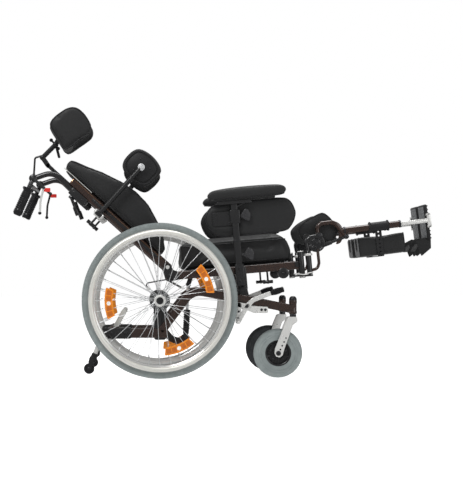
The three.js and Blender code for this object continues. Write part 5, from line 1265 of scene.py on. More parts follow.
@dataclass
class Castor(Sided):
    """A front castor: its drilled fork, grooved tyre and bolted hub."""

    x: float = 467.0
    radius: float = 97.0
    width: float = 50.0
    stem_x: float = 527.0
    offset_y: float = 232.0
    hole_pitch: float = 16.7
    holes: int = 5

    def build(self, shop: Workshop, frames: Frames) -> None:
        """Makes the fork, the tyre and the hub."""
        self.base = frames.base
        self.y = self.hand * self.offset_y
        self.axis = ((self.x, self.y, self.radius), (self.x, self.y + self.hand, self.radius))
        self.build_fork(shop)
        self.build_tyre(shop)
        self.build_hub(shop)

    def build_fork(self, shop: Workshop) -> None:
        """Makes the fork's crown, its two drilled legs and its nuts."""
        label = self.label
        fork, nuts = Shape(), Shape()
        side = [(542, 241), (509, 241), (502, 236), (453, 116), (451, 97), (458, 84), (472, 80), (484, 90),
                (489, 110), (524, 208), (542, 222)]
        for edge in (-1, 1):
            inner = self.y + edge * 26.6
            leg = prism(rounded(side, 7, 4), inner, inner + edge * 5)
            soften(leg, face_edges(leg), 1.1, 2)
            steps = [self.hole_pitch * number for number in range(1, self.holes)]
            holes = [(Vector((self.x + 0.444 * step, 0, self.radius + 0.896 * step)), 3.6) for step in steps]
            fork.absorb(drill(leg, holes, inner, edge))
            nuts.disc(self.x, self.radius, inner + edge * 4.6, inner + edge * 9.5, 7.5, 1.2, 6)
            nuts.disc(self.x, self.radius, inner + edge * 4.4, inner + edge * 5.6, 10, 0.5, 24)
        fork.block((507, self.y - 31.4, 234.6), (542, self.y + 31.4, 241), 2.6, 3)
        nuts.rod((self.stem_x, self.y, 240), (self.stem_x, self.y, 250.5), 13, 1.2, 28)
        shop.add(f"{label}_fork_nuts", nuts, self.base, FINISHES.oxide, f"{label}_castor_swivel")
        shop.add(f"{label}_fork", fork, self.base, FINISHES.alloy, f"{label}_castor_swivel",
                 [f"{label}_castor_fork"])

    def build_tyre(self, shop: Workshop) -> None:
        """Makes the castor's tyre with its grooved side and crowned tread."""
        half = self.width / 2
        profile = [(51.5, -18.6), (54, -19.4), (60, -20.2), (66, -21.4), (67, -20.6), (68.2, -21.8),
                   (76, -23), (77, -22.2), (78.2, -23.2), (86, -22.6), (92, -19.2), (95.6, -13), (96.8, -6),
                   (97, 0)]
        profile += [(radius, -y) for radius, y in reversed(profile[:-1])]
        tyre = Shape().lathe([(radius, y * half / 25) for radius, y in profile], *self.axis, 72, True)
        # The left castor's tyre takes the darkened copy: painted shade, not a darker rubber.
        finish = FINISHES.tyre if self.side is Side.RIGHT else FINISHES.painted_shade_tyre
        label = self.label
        shop.add(f"{label}_castor_tread", tyre, self.base, finish, f"{label}_castor_wheel",
                 [f"{label}_castor_tyre"], 50)

    def build_hub(self, shop: Workshop) -> None:
        """Makes the split hub with its rim lips, dished webs and bolts."""
        label = self.label
        hub = Shape()
        half = [(7, -19), (16, -19), (17, -18), (18, -11), (40, -10), (44, -16), (50, -18), (53.5, -18.4),
                (53.8, -16), (51, -13)]
        hub.lathe(both_faces(half), *self.axis, 56, True)
        bolts = Shape()
        middle = Vector((self.x, self.y, self.radius))
        for edge in (-1, 1):
            for angle in (turn + 0.3 for turn in turns(5)):
                bolt = middle + ray(angle) * 30
                hub.disc(bolt.x, bolt.z, self.y + edge * 8, self.y + edge * 13, 7.5, 1, 20)
                bolts.screw((bolt.x, self.y + edge * 13, bolt.z), (0, edge, 0), 5, 2.6)
                web = ray(angle + math.pi / 5)
                start = middle + web * 17 + Vector((0, edge * 11.5, 0))
                hub.rod(start, middle + web * 46 + Vector((0, edge * 13.5, 0)), 3.4, 0.6, 12)
        shop.add(f"{label}_castor_core", hub, self.base, FINISHES.gloss, f"{label}_castor_wheel",
                 [f"{label}_castor_hub"])
        shop.add(f"{label}_castor_bolts", bolts, self.base, FINISHES.oxide, f"{label}_castor_wheel")


def drill(part: Mesh, holes: Sequence[tuple[Vector, float]], y: float, edge: int) -> Mesh:
    """Cuts round holes through a plate.

    Args:
        part: The plate's mesh.
        holes: Each hole's middle and radius.
        y: One face of the plate.
        edge: The direction in which the plate thickens.

    Returns:
        The drilled plate as a new mesh.
    """
    cutter = bmesh.new()
    upright = Matrix.Rotation(math.pi / 2, 4, "X")
    for middle, radius in holes:
        place = Matrix.Translation((middle.x, y + edge * 2.5, middle.z)) @ upright
        bmesh.ops.create_cone(cutter, cap_ends=True, segments=20, radius1=radius, radius2=radius, depth=20,
                              matrix=place)
    bmesh.ops.recalc_face_normals(part, faces=part.faces[:])
    bmesh.ops.recalc_face_normals(cutter, faces=cutter.faces[:])
    return boolean(part, cutter, "DIFFERENCE")


def boolean(part: Mesh, tool: Mesh, operation: str) -> Mesh:
    """Joins or cuts one mesh with another.

    Args:
        part: The mesh that is kept.
        tool: The mesh that it is joined or cut with.
        operation: UNION, DIFFERENCE or INTERSECT.

    Returns:
        The result as a new mesh; both given meshes are freed.
    """
    objects = [placed("part", part), placed("tool", tool)]
    modifier = objects[0].modifiers.new("cut", "BOOLEAN")
    modifier.operation = operation
    modifier.solver = "EXACT"
    modifier.object = objects[1]
    result = bmesh.new()
    result.from_mesh(applied(objects[0]))
    for item in objects:
        data = item.data
        bpy.data.objects.remove(item)
        bpy.data.meshes.remove(data)
    return result


def applied(item: Piece) -> bpy.types.Mesh:
    """Gives an object's mesh with its modifiers worked in."""
    graph = bpy.context.evaluated_depsgraph_get()
    graph.update()
    return bpy.data.meshes.new_from_object(item.evaluated_get(graph), depsgraph=graph)


@dataclass
class AntiTip(Sided):
    """A rear anti-tip arm with its knuckle, fork and roller."""

    y: float = 232.0
    pivot: Point = (-222.0, 180.0)
    roller: Point = (-277.0, 38.0)
    knuckle_share: float = 0.74

    def build(self, shop: Workshop, frames: Frames) -> None:
        """Makes the arm and its roller."""
        base = frames.base
        y = self.hand * self.y
        label = self.label
        top = Vector((self.pivot[0], y, self.pivot[1]))
        end = Vector((self.roller[0], y, self.roller[1]))
        knuckle = top.lerp(end, self.knuckle_share)
        arm = Shape()
        arm.rod(top.lerp(end, 0.06), knuckle, 9, 1, 24)
        arm.disc(top.x, top.z, y - 11, y + 11, 13, 1.4, 28)
        shop.add(f"{label}_anti_tip_tube", arm, base, FINISHES.alloy, f"{label}_anti_tip",
                 [f"{label}_anti_tip_arm"])
        joint = Shape()
        joint.disc(knuckle.x, knuckle.z, y - 12.5, y + 12.5, 14.6, 2.4, 32)
        joint.disc(knuckle.x, knuckle.z, y - 15, y + 15, 7, 1, 24)
        along = (end - top).normalized()
        joint.rod(knuckle - along * 24, knuckle - along * 8, 11.6, 1.6, 24)
        for edge in (-1, 1):
            near = y + edge * 12.2
            joint.link((knuckle.x, knuckle.z), (end.x, end.z), 17, near, near + edge * 3.9, 1)
        shop.add(f"{label}_anti_tip_knuckle", joint, base, FINISHES.plastic, f"{label}_anti_tip")
        roller = Shape()
        half = [(5.4, -11), (13, -11), (14, -9.4), (18.6, -9.6), (20.6, -7), (21, -3)]
        roller.lathe(both_faces(half), end, (end.x, y + 1, end.z), 44, True)
        shop.add(f"{label}_anti_tip_tyre", roller, base, FINISHES.plastic, f"{label}_anti_tip_wheel",
                 [f"{label}_anti_tip_roller"])
        pins = Shape()
        for edge in (-1, 1):
            pins.screw((end.x, y + edge * 16, end.z), (0, edge, 0), 6.4, 2.6)
        shop.add(f"{label}_anti_tip_screws", pins, base, FINISHES.oxide, f"{label}_anti_tip")


@dataclass
class WheelLock(Sided):
    """A push to lock lever on its bracket, with its shoe and ribbed grip."""

    pivot: Point = (343.0, 282.0)
    face_y: float = 247.3
    lever_y: float = 252.1
    shoe: Point = (308.0, 219.0)
    elbow: Point = (367.0, 307.0)
    arm: Point = (435.0, 333.0)
    grip: Point = (489.0, 350.0)

    def build(self, shop: Workshop, frames: Frames) -> None:
        """Makes the bracket, the lever and the grip."""
        base = frames.base
        hand = self.hand
        label = self.label
        face, lever = hand * self.face_y, hand * self.lever_y
        bracket, bolts = Shape(), Shape()
        outline = rounded([(333, 292), (333, 272), (370, 255), (427, 255), (427, 280), (370, 283)], 6, 4)
        bracket.plate(outline, face, face + hand * 4.2, 1.2)
        bracket.block((384, hand * 224, 262), (424, face, 276), 1.2)
        for x in (401, 416):
            bolts.screw((x, face + hand * 4, 268.5), (0, hand, 0), 5.4, 2.8)
        bracket.disc(*self.pivot, face, hand * 258.5, 5, 0.6, 20)
        bolts.disc(*self.pivot, hand * 257.6, hand * 261, 7, 1.0, 6)
        shop.add(f"{label}_lock_plate", bracket, base, FINISHES.alloy, "base",
                 [f"{label}_wheel_lock_bracket"])
        arm = Shape()
        bend = (self.shoe[0] + 4, 288)
        for start, end in (((self.shoe[0], self.shoe[1] + 3), bend), (bend, self.pivot)):
            arm.link(start, end, 20, lever - hand * 2, lever + hand * 3, 1)
        for x, z in ((309, 236), (311, 262)):
            bolts.screw((x, lever + hand * 3, z), (0, hand, 0), 4.6, 2.4)
        bar = [self.shoe, self.pivot, self.elbow, self.arm, (self.grip[0] - 20, self.grip[1] - 7)]
        arm.tube([(x, lever + hand * 2.5, z) for x, z in bar], 5, 18, 22, corner=1.8)
        arm.disc(*self.pivot, lever, lever + hand * 5, 13, 1.2, 28)
        arm.disc(*self.shoe, hand * 256, hand * 296, 6, 1, 20)
        shop.add(f"{label}_lock_bolts", bolts, base, FINISHES.oxide, f"{label}_wheel_lock")
        shop.add(f"{label}_lock_lever", arm, base, FINISHES.alloy, f"{label}_wheel_lock",
                 [f"{label}_wheel_lock_lever"])
        grip = Shape()
        start = Vector((self.arm[0] + 2, lever + hand * 2.5, self.arm[1] + 1))
        end = Vector((self.grip[0], lever + hand * 2.5, self.grip[1]))
        length = (end - start).length
        profile: Outline = [(0, 0), (8.6, 0), (9.6, 1.2)]
        ribs = 9
        step = (length - 12) / ribs
        for rib in range(ribs):
            at = 4 + step * rib
            swell = 10.6 + 2.4 * math.sin(math.pi * (rib + 0.5) / ribs)
            profile += [(swell - 1.1, at), (swell, at + step * 0.25), (swell, at + step * 0.7),
                        (swell - 1.1, at + step * 0.95)]
        profile += [(11.6, length - 7), (11.4, length - 4), (9.6, length - 1), (6, length), (0, length)]
        grip.lathe(profile, start, end, 28)
        shop.add(f"{label}_lock_grip", grip, base, FINISHES.grip, f"{label}_wheel_lock")


@dataclass
class TiltSpring:
    """The gas spring that holds the seat's tilt."""

    y: float = SPRING_Y
    bottom: Point = (106.0, 158.0)
    top: Point = SPRING_TOP
    body_length: float = 109.0
    coil_turns: int = 9
    coil_radius: float = 12.6

    def build(self, shop: Workshop, frames: Frames) -> None:
        """Makes the cylinder with its coil guard and the rod."""
        base = frames.base
        start = Vector((self.bottom[0], self.y, self.bottom[1]))
        end = Vector((self.top[0], self.y, self.top[1]))
        run = (end - start).normalized()
        case = Shape()
        mouth = self.body_length
        case.lathe([(0, 9), (9, 9), (11, 11), (12, 16), (12, mouth - 3), (10.5, mouth - 0.5), (7, mouth),
                    (0, mouth)], start, end, 32)
        case.disc(start.x, start.z, self.y - 8.8, self.y + 8.8, 11, 1.2, 28)
        shop.add("spring_case", case, base, FINISHES.gloss, "spring_cylinder", ["tilt_spring_body"])
        coil = Shape()
        steps = 20
        count = self.coil_turns * steps
        first, last = 34.0, mouth - 6
        across = Vector((0, 1, 0))
        side = run.cross(across).normalized()
        line = []
        for number in range(count + 1):
            angle = FULL_TURN * number / steps
            spoke = side * math.cos(angle) + across * math.sin(angle)
            line.append(start + run * (first + (last - first) * number / count) + spoke * self.coil_radius)
        coil.tube(line, 3.4, bend=NO_BEND, sides=8)
        for at in (first - 5, last):
            coil.lathe([(11.8, at), (13.4, at), (14, at + 1), (14, at + 4), (13.4, at + 5), (11.8, at + 5)],
                       start, end, 28, True)
        shop.add("spring_coil", coil, base, FINISHES.black, "spring_cylinder")
        rod = Shape()
        rod.rod(start + run * (mouth - 21), end - run * 9, 6, 0.8, 24)
        rod.disc(end.x, end.z, self.y - 8.8, self.y + 8.8, 11, 1.2, 28)
        rod.rod(end - run * 22, end - run * 9, 8.5, 0.8, 6)
        shop.add("spring_rod", rod, base, FINISHES.chrome, "spring_rod", ["tilt_spring_rod"])


@dataclass
class BrakeCable(Sided):
    """A drum brake's cable from its anchor arm to the stop on the side tube."""

    radius: float = 2.4
    y: float = 239.2
    route: Sequence[Point] = ((-41, 346), (-59, 372), (29, 388), (96, 352))
    bend: float = 16.0

    def build(self, shop: Workshop, frames: Frames) -> None:
        """Makes the sheathed cable and its ferrules."""
        label = self.label
        base = frames.base
        corners = [(x, self.hand * self.y, z) for x, z in self.route]
        stations = [point for point, _ in bend_route(corners, self.bend, 7)]
        line: list[Vector] = []
        for first, second in zip(stations, stations[1:]):
            count = max(1, round((second - first).length / 12))
            line += [first.lerp(second, k / count) for k in range(count)]
        line.append(stations[-1])
        shape = Shape()
        shape.tube(line, self.radius * 2, bend=NO_BEND, sides=14)
        piece = shop.add(f"{label}_cable", shape, base, FINISHES.cable, "base", [f"{label}_brake_cable"])
        path = [tuple(base.at(*point)) for point in line]
        ferrules = Shape()
        for tip, inner in ((line[0], line[1]), (line[-1], line[-2])):
            run = (inner - tip).normalized()
            ferrules.rod(tip - run * 1, tip + run * 13, 3.7, 0.5, 16)
        ends = shop.add(f"{label}_cable_ferrules", ferrules, base, FINISHES.alloy, "base")


# Soft goods

SIM_FRAMES = 20


@dataclass(frozen=True)
class Stuffing:
    """How firmly a pad is filled.

    Attributes:
        voxel: The cell size of its skin, in millimetres.
        pressure: The pressure inside it.
        cap: The furthest that a point of the skin may move, in millimetres.
        fill: How full it is, from slack to tight; not used.
    """

    voxel: float = 6.0
    pressure: float = 4.0
    cap: float = 6.0
    fill: float = 0.75


def swell(item: Piece, stuffing: Stuffing, held: Sequence[tuple[Vector, Vector]]) -> None:
    """Blows a pad's skin up by cloth simulation, within a cap.

    Args:
        item: The pad, whose mesh is replaced by its stuffed form.
        stuffing: How it is filled.
        held: Low and high corners of the regions whose skin stays where it is, in metres.
    """
    remesh = item.modifiers.new("skin", "REMESH")
    remesh.mode = "VOXEL"
    remesh.voxel_size = stuffing.voxel * MM
    remesh.use_smooth_shade = True
    swap_mesh(item, applied(item))
    smooth = item.modifiers.new("even", "SMOOTH")
    smooth.factor = 0.5
    smooth.iterations = 3
    swap_mesh(item, applied(item))
    before = [vertex.co.copy() for vertex in item.data.vertices]
    group = item.vertex_groups.new(name="held")
    for vertex in item.data.vertices:
        if any(all(low[k] <= vertex.co[k] <= high[k] for k in range(3)) for low, high in held):
            group.add([vertex.index], 1.0, "REPLACE")
    cloth = item.modifiers.new("cloth", "CLOTH")
    settings = cloth.settings
    settings.quality = 4
    settings.mass = 0.3
    settings.tension_stiffness = 12
    settings.compression_stiffness = 12
    settings.shear_stiffness = 6
    settings.bending_stiffness = 1.5
    settings.use_pressure = True
    settings.uniform_pressure_force = stuffing.pressure
    settings.effector_weights.gravity = 0
    settings.vertex_group_mass = group.name
    cloth.collision_settings.use_collision = False
    cloth.collision_settings.use_self_collision = False
    cloth.point_cache.frame_start = 1
    cloth.point_cache.frame_end = SIM_FRAMES
    scene = bpy.context.scene
    for number in range(1, SIM_FRAMES + 1):
        scene.frame_set(number)
    after = applied(item)
    item.modifiers.clear()
    scene.frame_set(1)
    if len(after.vertices) == len(before):
        cap = stuffing.cap * MM
        for vertex, start in zip(after.vertices, before):
            move = vertex.co - start
            if move.length > cap:
                vertex.co = start + move.normalized() * cap
        swap_mesh(item, after)
    item.vertex_groups.clear()
    divide = item.modifiers.new("finer", "SUBSURF")
    divide.levels = 1
    divide.render_levels = 1
    swap_mesh(item, applied(item))


def swap_mesh(item: Piece, mesh: bpy.types.Mesh) -> None:
    """Puts a mesh in an object in place of its own, and drops its modifiers."""
    old = item.data
    item.modifiers.clear()
    item.data = mesh
    bpy.data.meshes.remove(old)


class Upholstery:
    """Makes stuffed pads and the piping on them."""

    def __init__(self, shop: Workshop) -> None:
        """Starts with the workshop that lists the pads."""
        self.shop = shop

    def pad(self, name: str, shape: Shape, place: Frame, finish: Finish, body: str, replaces: Sequence[str],
            stuffing: Stuffing, held: Sequence[tuple[Point, Point]] = ()) -> Piece:
        """Makes one stuffed pad.

        Args:
            name: The pad's name.
            shape: Its unstuffed form, in the millimetres of its frame.
            place: That frame.
            finish: Its cover.
            body: The body that it moves with.
            replaces: The nodes that it stands for.
            stuffing: How it is filled.
            held: Two opposite corners of each region that keeps its form, in millimetres of the frame.

        Returns:
            The pad.
        """
        item = placed(name, shape.mesh)
        item.data.transform(Matrix.Scale(MM, 4))
        regions = [(Vector(map(min, a, b)) * MM, Vector(map(max, a, b)) * MM) for a, b in held]
        swell(item, stuffing, regions)
        item.data.transform(place.matrix @ Matrix.Scale(1 / MM, 4))
        item.data.name = name
        item.data.materials.clear()
        item.data.materials.append(finish.material())
        item.data.shade_smooth()
        self.shop.keep(item, finish, body, replaces)
        return item

    def piping(self, name: str, lines: Sequence[Sequence[Point]], place: Frame, finish: Finish, body: str,
               radius: float, on: Piece | None = None, loop: bool = True, sink: float = 0.3) -> Piece:
        """Lays cords along seams, on the skin of a pad where one is given.

        Args:
            name: The piece's name.
            lines: The seams, in the millimetres of their frame.
            place: That frame.
            finish: The cord's cover.
            body: The body that it moves with.
            radius: The cord's radius, in millimetres.
            on: The pad whose skin the cords lie on.
            loop: Whether each seam closes on itself.
            sink: The share of the radius that is sunk in the skin.

        Returns:
            The cords as one piece.
        """
        tree = None
        if on:
            skin = bmesh.new()
            skin.from_mesh(on.data)
            tree = BVHTree.FromBMesh(skin)
            skin.free()
        inverse = place.matrix.inverted()
        shape = Shape()
        for line in lines:
            points = []
            for point in line:
                here = place.matrix @ Vector(point)
                if tree:
                    spot, normal, _, _ = tree.find_nearest(here)
                    here = spot + normal * radius * MM * (1 - 2 * sink)
                points.append(inverse @ here)
            shape.tube(points, radius * 2, bend=NO_BEND, sides=8, loop=loop)
        return self.shop.add(name, shape, place, finish, body)


# Seat and armrests


@dataclass
class Seat:
    """The seat frame, its pan and the cushion on it."""

    rail_y: float = 192.0
    rail_end: float = 520.0
    pan_top: float = 19.0
    mount_along: float = 531.0
    cushion: Point = (50.0, 512.0)
    cushion_height: float = 107.0
    cushion_half: float = 176.0

    def build(self, shop: Workshop, frames: Frames) -> None:
        """Makes the rails, plates, sockets and mounts."""
        seat = frames.seat
        rails, plates, trims = Shape(), Shape(), Shape()
        for side in Side:
            hand = side.value
            y = hand * self.rail_y
            rails.tube([(20, y, 0), (self.rail_end, y, 0)], 26, 32, corner=6)
            plates.block((self.rail_end - 3, y - 12.6, -15.6), (self.rail_end + 3.4, y + 12.6, 15.6), 2.4)
            self.add_recline_plate(plates, trims, hand)
            self.add_socket(plates, hand)
            self.add_mount(plates, trims, hand)
            self.add_under_rail(plates, hand)
            self.add_tilt_ear(plates, frames, hand)
        for along in (96, 470):
            rails.rod((along, -self.rail_y, 0), (along, self.rail_y, 0), 11)
        plates.block((52, -190, self.pan_top - 3.8), (508, 190, self.pan_top), 1.2)
        spring = frames.base.inside(frames.seat, SPRING_TOP[0], 0, SPRING_TOP[1])
        for edge in (-1, 1):
            near = SPRING_Y + edge * 9.7
            plates.link((spring.x, spring.z), (96, 0), 18, near, near + edge * 5, 1)
        shop.add("seat_rails", rails, seat, FINISHES.frame, "seat", ["seat_frame"])
        shop.add("seat_plates", plates, seat, FINISHES.black, "seat")
        shop.add("seat_trims", trims, seat, FINISHES.alloy, "seat")

    def add_recline_plate(self, plates: Shape, trims: Shape, hand: int) -> None:
        """Adds the plate that carries the back's pin."""
        inner = hand * (self.rail_y + 12.5)
        outline = rounded([(-11, 49), (-15, 28), (-7, -16), (17, -20), (42, -16), (42, 15), (22, 24),
                           (10, 49)], 7, 4)
        plates.plate(outline, inner, inner + hand * 6.4, 1.4)
        trims.disc(0, RECLINE_UP, hand * (self.rail_y - 13), inner + hand * 9, 7.8, 0.8, 24)
        plates.disc(0, RECLINE_UP, inner + hand * 6, inner + hand * 8.4, 11.5, 0.8, 28)
        for along, up in ((6, 4), (32, 2)):
            plates.screw((along, inner + hand * 6.4, up), (0, hand, 0), 6, 2.8)

    def add_socket(self, plates: Shape, hand: int) -> None:
        """Adds the armrest's socket: four walls, its bridge and its clamp screw."""
        y = hand * ARMREST_Y
        low, high = -60, 24
        for edge in (-1, 1):
            near, far = (ARMREST_ALONG + edge * depth for depth in (13.4, 16.4))
            plates.block((near, y - 12.2, low), (far, y + 12.2, high), 0.8)
            plates.block((264.8, y + edge * 9.4, low), (297.2, y + edge * 12.3, high), 0.8)
        plates.block((268, hand * 204, -8), (294, y - hand * 12, 16), 1.4)
        for up in (-44, 6):
            plates.screw((ARMREST_ALONG, y + hand * 12.2, up), (0, hand, 0), 5.4, 2.6)

    def add_mount(self, plates: Shape, trims: Shape, hand: int) -> None:
        """Adds the upright that the leg support hangs on, with its lug, pin and collar."""
        y = hand * HANGER_Y
        post, pin = self.mount_along, HANGER_ALONG
        plates.rod((post, y, -52), (post, y, 56), 12, 1.2, 28)
        for up in (-49, 53):
            trims.lathe([(0, 0), (12.6, 0), (12.6, 2.4), (11.4, 3.6), (0, 3.6)], (post, y, up - 1),
                        (post, y, up), 28)
        plates.block((506, hand * self.rail_y, -8), (post, y, 15), 1.4)
        plates.block((post, y - 10.8, -48.2), (572.8, y + 10.8, -40.4), 2)
        trims.rod((pin, y, -41), (pin, y, 34), 4.8, 0.6, 18)
        trims.lathe([(11.6, 0), (15.2, 0), (15.8, 1), (15.8, 8), (15.2, 9), (11.6, 9)], (pin, y, 34),
                    (pin, y, 35), 32, True)
        plates.block((post, y - 4, 34.4), (550, y + 4, 42.6), 1)

    def add_under_rail(self, plates: Shape, hand: int) -> None:
        """Adds the round hub and the T knob under the rail's front."""
        y = hand * self.rail_y
        plates.lathe([(0, 0), (18, 0), (21, 1.4), (22, 4), (22, 10), (20.6, 11), (20.6, 19), (22, 20),
                      (22, 26), (21, 28.6), (18, 30), (9, 30), (8, 27.6), (0, 27.6)],
                     (458, y - hand * 15, -26), (458, y, -26), 40)
        plates.screw((458, y + hand * 12.6, -26), (0, hand, 0), 6.4, 3.2)
        plates.rod((394, y, 0), (394, y, -50), 4, 0.4, 16)
        knob = both_faces([(0, -20), (5.6, -20), (7, -18), (6.2, -6), (7.6, -3)])
        plates.lathe(knob, (394, y, -56), (395, y, -56), 24)

    def add_tilt_ear(self, plates: Shape, frames: Frames, hand: int) -> None:
        """Adds the ear that hangs from the rail on the tilt pin."""
        place = frames.base.inside(frames.seat, TILT_PIN[0], 0, TILT_PIN[1])
        plates.link((place.x, place.z), (place.x, 0), 39, hand * 179.5, hand * 210.4, 1.6)
        plates.disc(place.x, place.z, hand * 176, hand * 211, 12, 1, 6)

    def build_cushion(self, pads: Upholstery, frames: Frames) -> None:
        """Makes the seat cushion with its top and bottom seams."""
        start, end = self.cushion
        low = self.pan_top + 0.4
        half = self.cushion_half
        shares = [(0.01, 0.04), (0.0, 0.5), (0.0, 0.88), (0.03, 0.97), (0.3, 1), (0.84, 1), (0.92, 0.96),
                  (0.965, 0.76), (0.985, 0.4), (0.97, 0.04), (0.9, 0), (0.5, 0), (0.08, 0)]
        outline = rounded(scaled(shares, start + 4, low, end - start - 8, self.cushion_height + 2), 9, 3)
        middle = ((start + end) / 2, low)
        edge = [(-half + 3, 0.975, 0.9), (-half + 8, 0.995, 0.985), (-half + 30, 1, 1), (-half / 2, 1, 1.03),
                (0, 1, 1.05)]
        shape = Shape().loft(outline, middle, both_ways(edge))
        pad = pads.pad("seat_cushion_cover", shape, frames.seat, FINISHES.vinyl, "seat", ["seat_cushion"],
                       Stuffing(8, 4, 6, 0.8), [((start - 9, -200, low - 4), (end + 9, 200, low + 6))])
        rim = rounded([(start + 1, -half - 2), (end - 30, -half - 2), (end - 30, half + 2),
                       (start + 1, half + 2)], 24, 6)
        heights = (self.cushion_height - 14, 13)
        seams = [[(x, y, low + height) for x, y in rim_points(rim)] for height in heights]
        pads.piping("seat_cushion_seams", seams, frames.seat, FINISHES.piping, "seat", 2.2, pad)


def rim_points(outline: Sequence[Point], grain: float = 14.0) -> Outline:
    """Splits an outline's long sides, so that a cord along it can follow a curved skin."""
    result = []
    for index, point in enumerate(outline):
        a, b = Vector(point), Vector(outline[(index + 1) % len(outline)])
        count = max(1, round((b - a).length / grain))
        result += [tuple(a.lerp(b, k / count)) for k in range(count)]
    return result


@dataclass
class Armrest(Sided):
    """An armrest: its post, wing knobs, plate, arm pad and oval side pad."""

    y: float = ARMREST_Y
    pad_y: float = 250.0

    def build(self, shop: Workshop, frames: Frames) -> None:
        """Makes the post with all that is bolted to it."""
        hand = self.hand
        label = self.label
        body = f"{label}_armrest"
        y = hand * self.y
        post = Shape()
        post.block((268, y - 9, -62), (294, y + 9, 276), 2.6, 3)
        outline = rounded([(193, 180), (294, 180), (294, 236), (193, 236)], 9, 5)
        post.plate(outline, y - hand * 9, y - hand * 12, 1)
        post.plate(rounded([(206, 262), (356, 262), (342, 276), (220, 276)], 5, 3), y - 16, y + 16, 1.6)
        post.tube([(ARMREST_ALONG, y, 246), (318, y, 262), (352, y, 274)], 12, 8, 12, corner=2)
        post.block((262, y - 10.6, 186), (302, y + 10.6, 240), 3.4, 3)
        shop.add(f"{label}_arm_post", post, frames.seat, FINISHES.black, body, [f"{label}_armrest_post"])
        knobs = Shape()
        corners = ((-23, -5), (0, 27), (13, 22), (22, 0), (16, -25), (4, -23))
        for up in (216, 61):
            knobs.rod((290, y, up), (323, y, up), 5, 0.6, 18)
            wing = [(323 + a, up + b) for a, b in corners]
            knobs.plate(rounded(wing, 9, 5), y - 8.6, y + 8.6, 4.2, 3)
            knobs.disc(319, up, y - 10.4, y + 10.4, 8, 1.8, 28)
        # The knobs' lifted black stands in for their highlight edges: painted highlight.
        shop.add(f"{label}_arm_knobs", knobs, frames.seat, FINISHES.knob, body)
        screws = Shape()
        for along, up in ((257, 190), (257, 226)):
            screws.screw((along, y - hand * 8.8, up), (0, hand, 0), 3, 1.6)
        screws.block((267.4, y - 9.6, 116), (294.6, y + 9.6, 120), 0.8)
        shop.add(f"{label}_arm_screws", screws, frames.seat, FINISHES.oxide, body)

    def build_pads(self, pads: Upholstery, frames: Frames) -> None:
        """Makes the arm pad and the side pad."""
        hand = self.hand
        label = self.label
        body = f"{label}_armrest"
        shares = [(0.0, 0.35), (0.02, 0.66), (0.08, 0.86), (0.24, 0.96), (0.5, 1), (0.86, 0.97),
                  (0.965, 0.82), (1, 0.5), (0.97, 0.16), (0.9, 0.03), (0.5, 0), (0.08, 0.03)]
        outline = flowing(scaled(shares, 180, 281, 312, 46), 4)
        middle = (336, 298)
        edge = [(-26, 0.985, 0.62), (-23, 0.995, 0.86), (-15, 1, 0.97), (0, 1, 1)]
        middle_y = hand * self.pad_y
        stations = [(middle_y + y, along, up) for y, along, up in both_ways(edge)]
        arm = pads.pad(f"{label}_arm_cover", Shape().loft(outline, middle, stations), frames.seat,
                       FINISHES.vinyl, body, [f"{label}_armrest_pad"], Stuffing(4.5, 4, 2.6, 0.9),
                       [((170, -300, 270), (500, 300, 282.5))])
        corners = [(184, -25), (488, -25), (488, 25), (184, 25)]
        under = rounded([(x, middle_y + y) for x, y in corners], 20, 5)
        pads.piping(f"{label}_arm_seam", [[(x, y, 284.5) for x, y in rim_points(under)]], frames.seat,
                    FINISHES.piping, body, 1.6, arm)
        oval = [(0.005, 0.5), (0.035, 0.76), (0.12, 0.94), (0.26, 0.99), (0.55, 1), (0.84, 0.99),
                (0.94, 0.89), (0.99, 0.62), (0.985, 0.4), (0.93, 0.15), (0.84, 0.03), (0.5, 0.0), (0.2, 0.01),
                (0.07, 0.12)]
        oval_line = flowing(scaled(oval, 162, 134.5, 367, 142), 5)
        inner = 207.0
        edge = [(inner + 1.5, 0.97, 0.93), (inner + 5, 0.995, 0.985), (inner + 12.5, 1, 1),
                (inner + 20, 0.995, 0.985), (inner + 24, 0.97, 0.93)]
        shape = Shape().loft(oval_line, (345, 203), handed(edge, hand))
        flat = [((185, hand * 229, 175), (300, hand * 236, 240))]
        oval_pad = pads.pad(f"{label}_side_cover", shape, frames.seat, FINISHES.vinyl, body,
                            [f"{label}_side_pad"], Stuffing(5, 4, 2.2, 0.85), flat)
        lines = [[(x, hand * (inner + depth), z) for x, z in oval_line] for depth in (21.5, 4.5)]
        pads.piping(f"{label}_side_seams", lines, frames.seat, FINISHES.piping, body, 2.0, oval_pad)


# Back


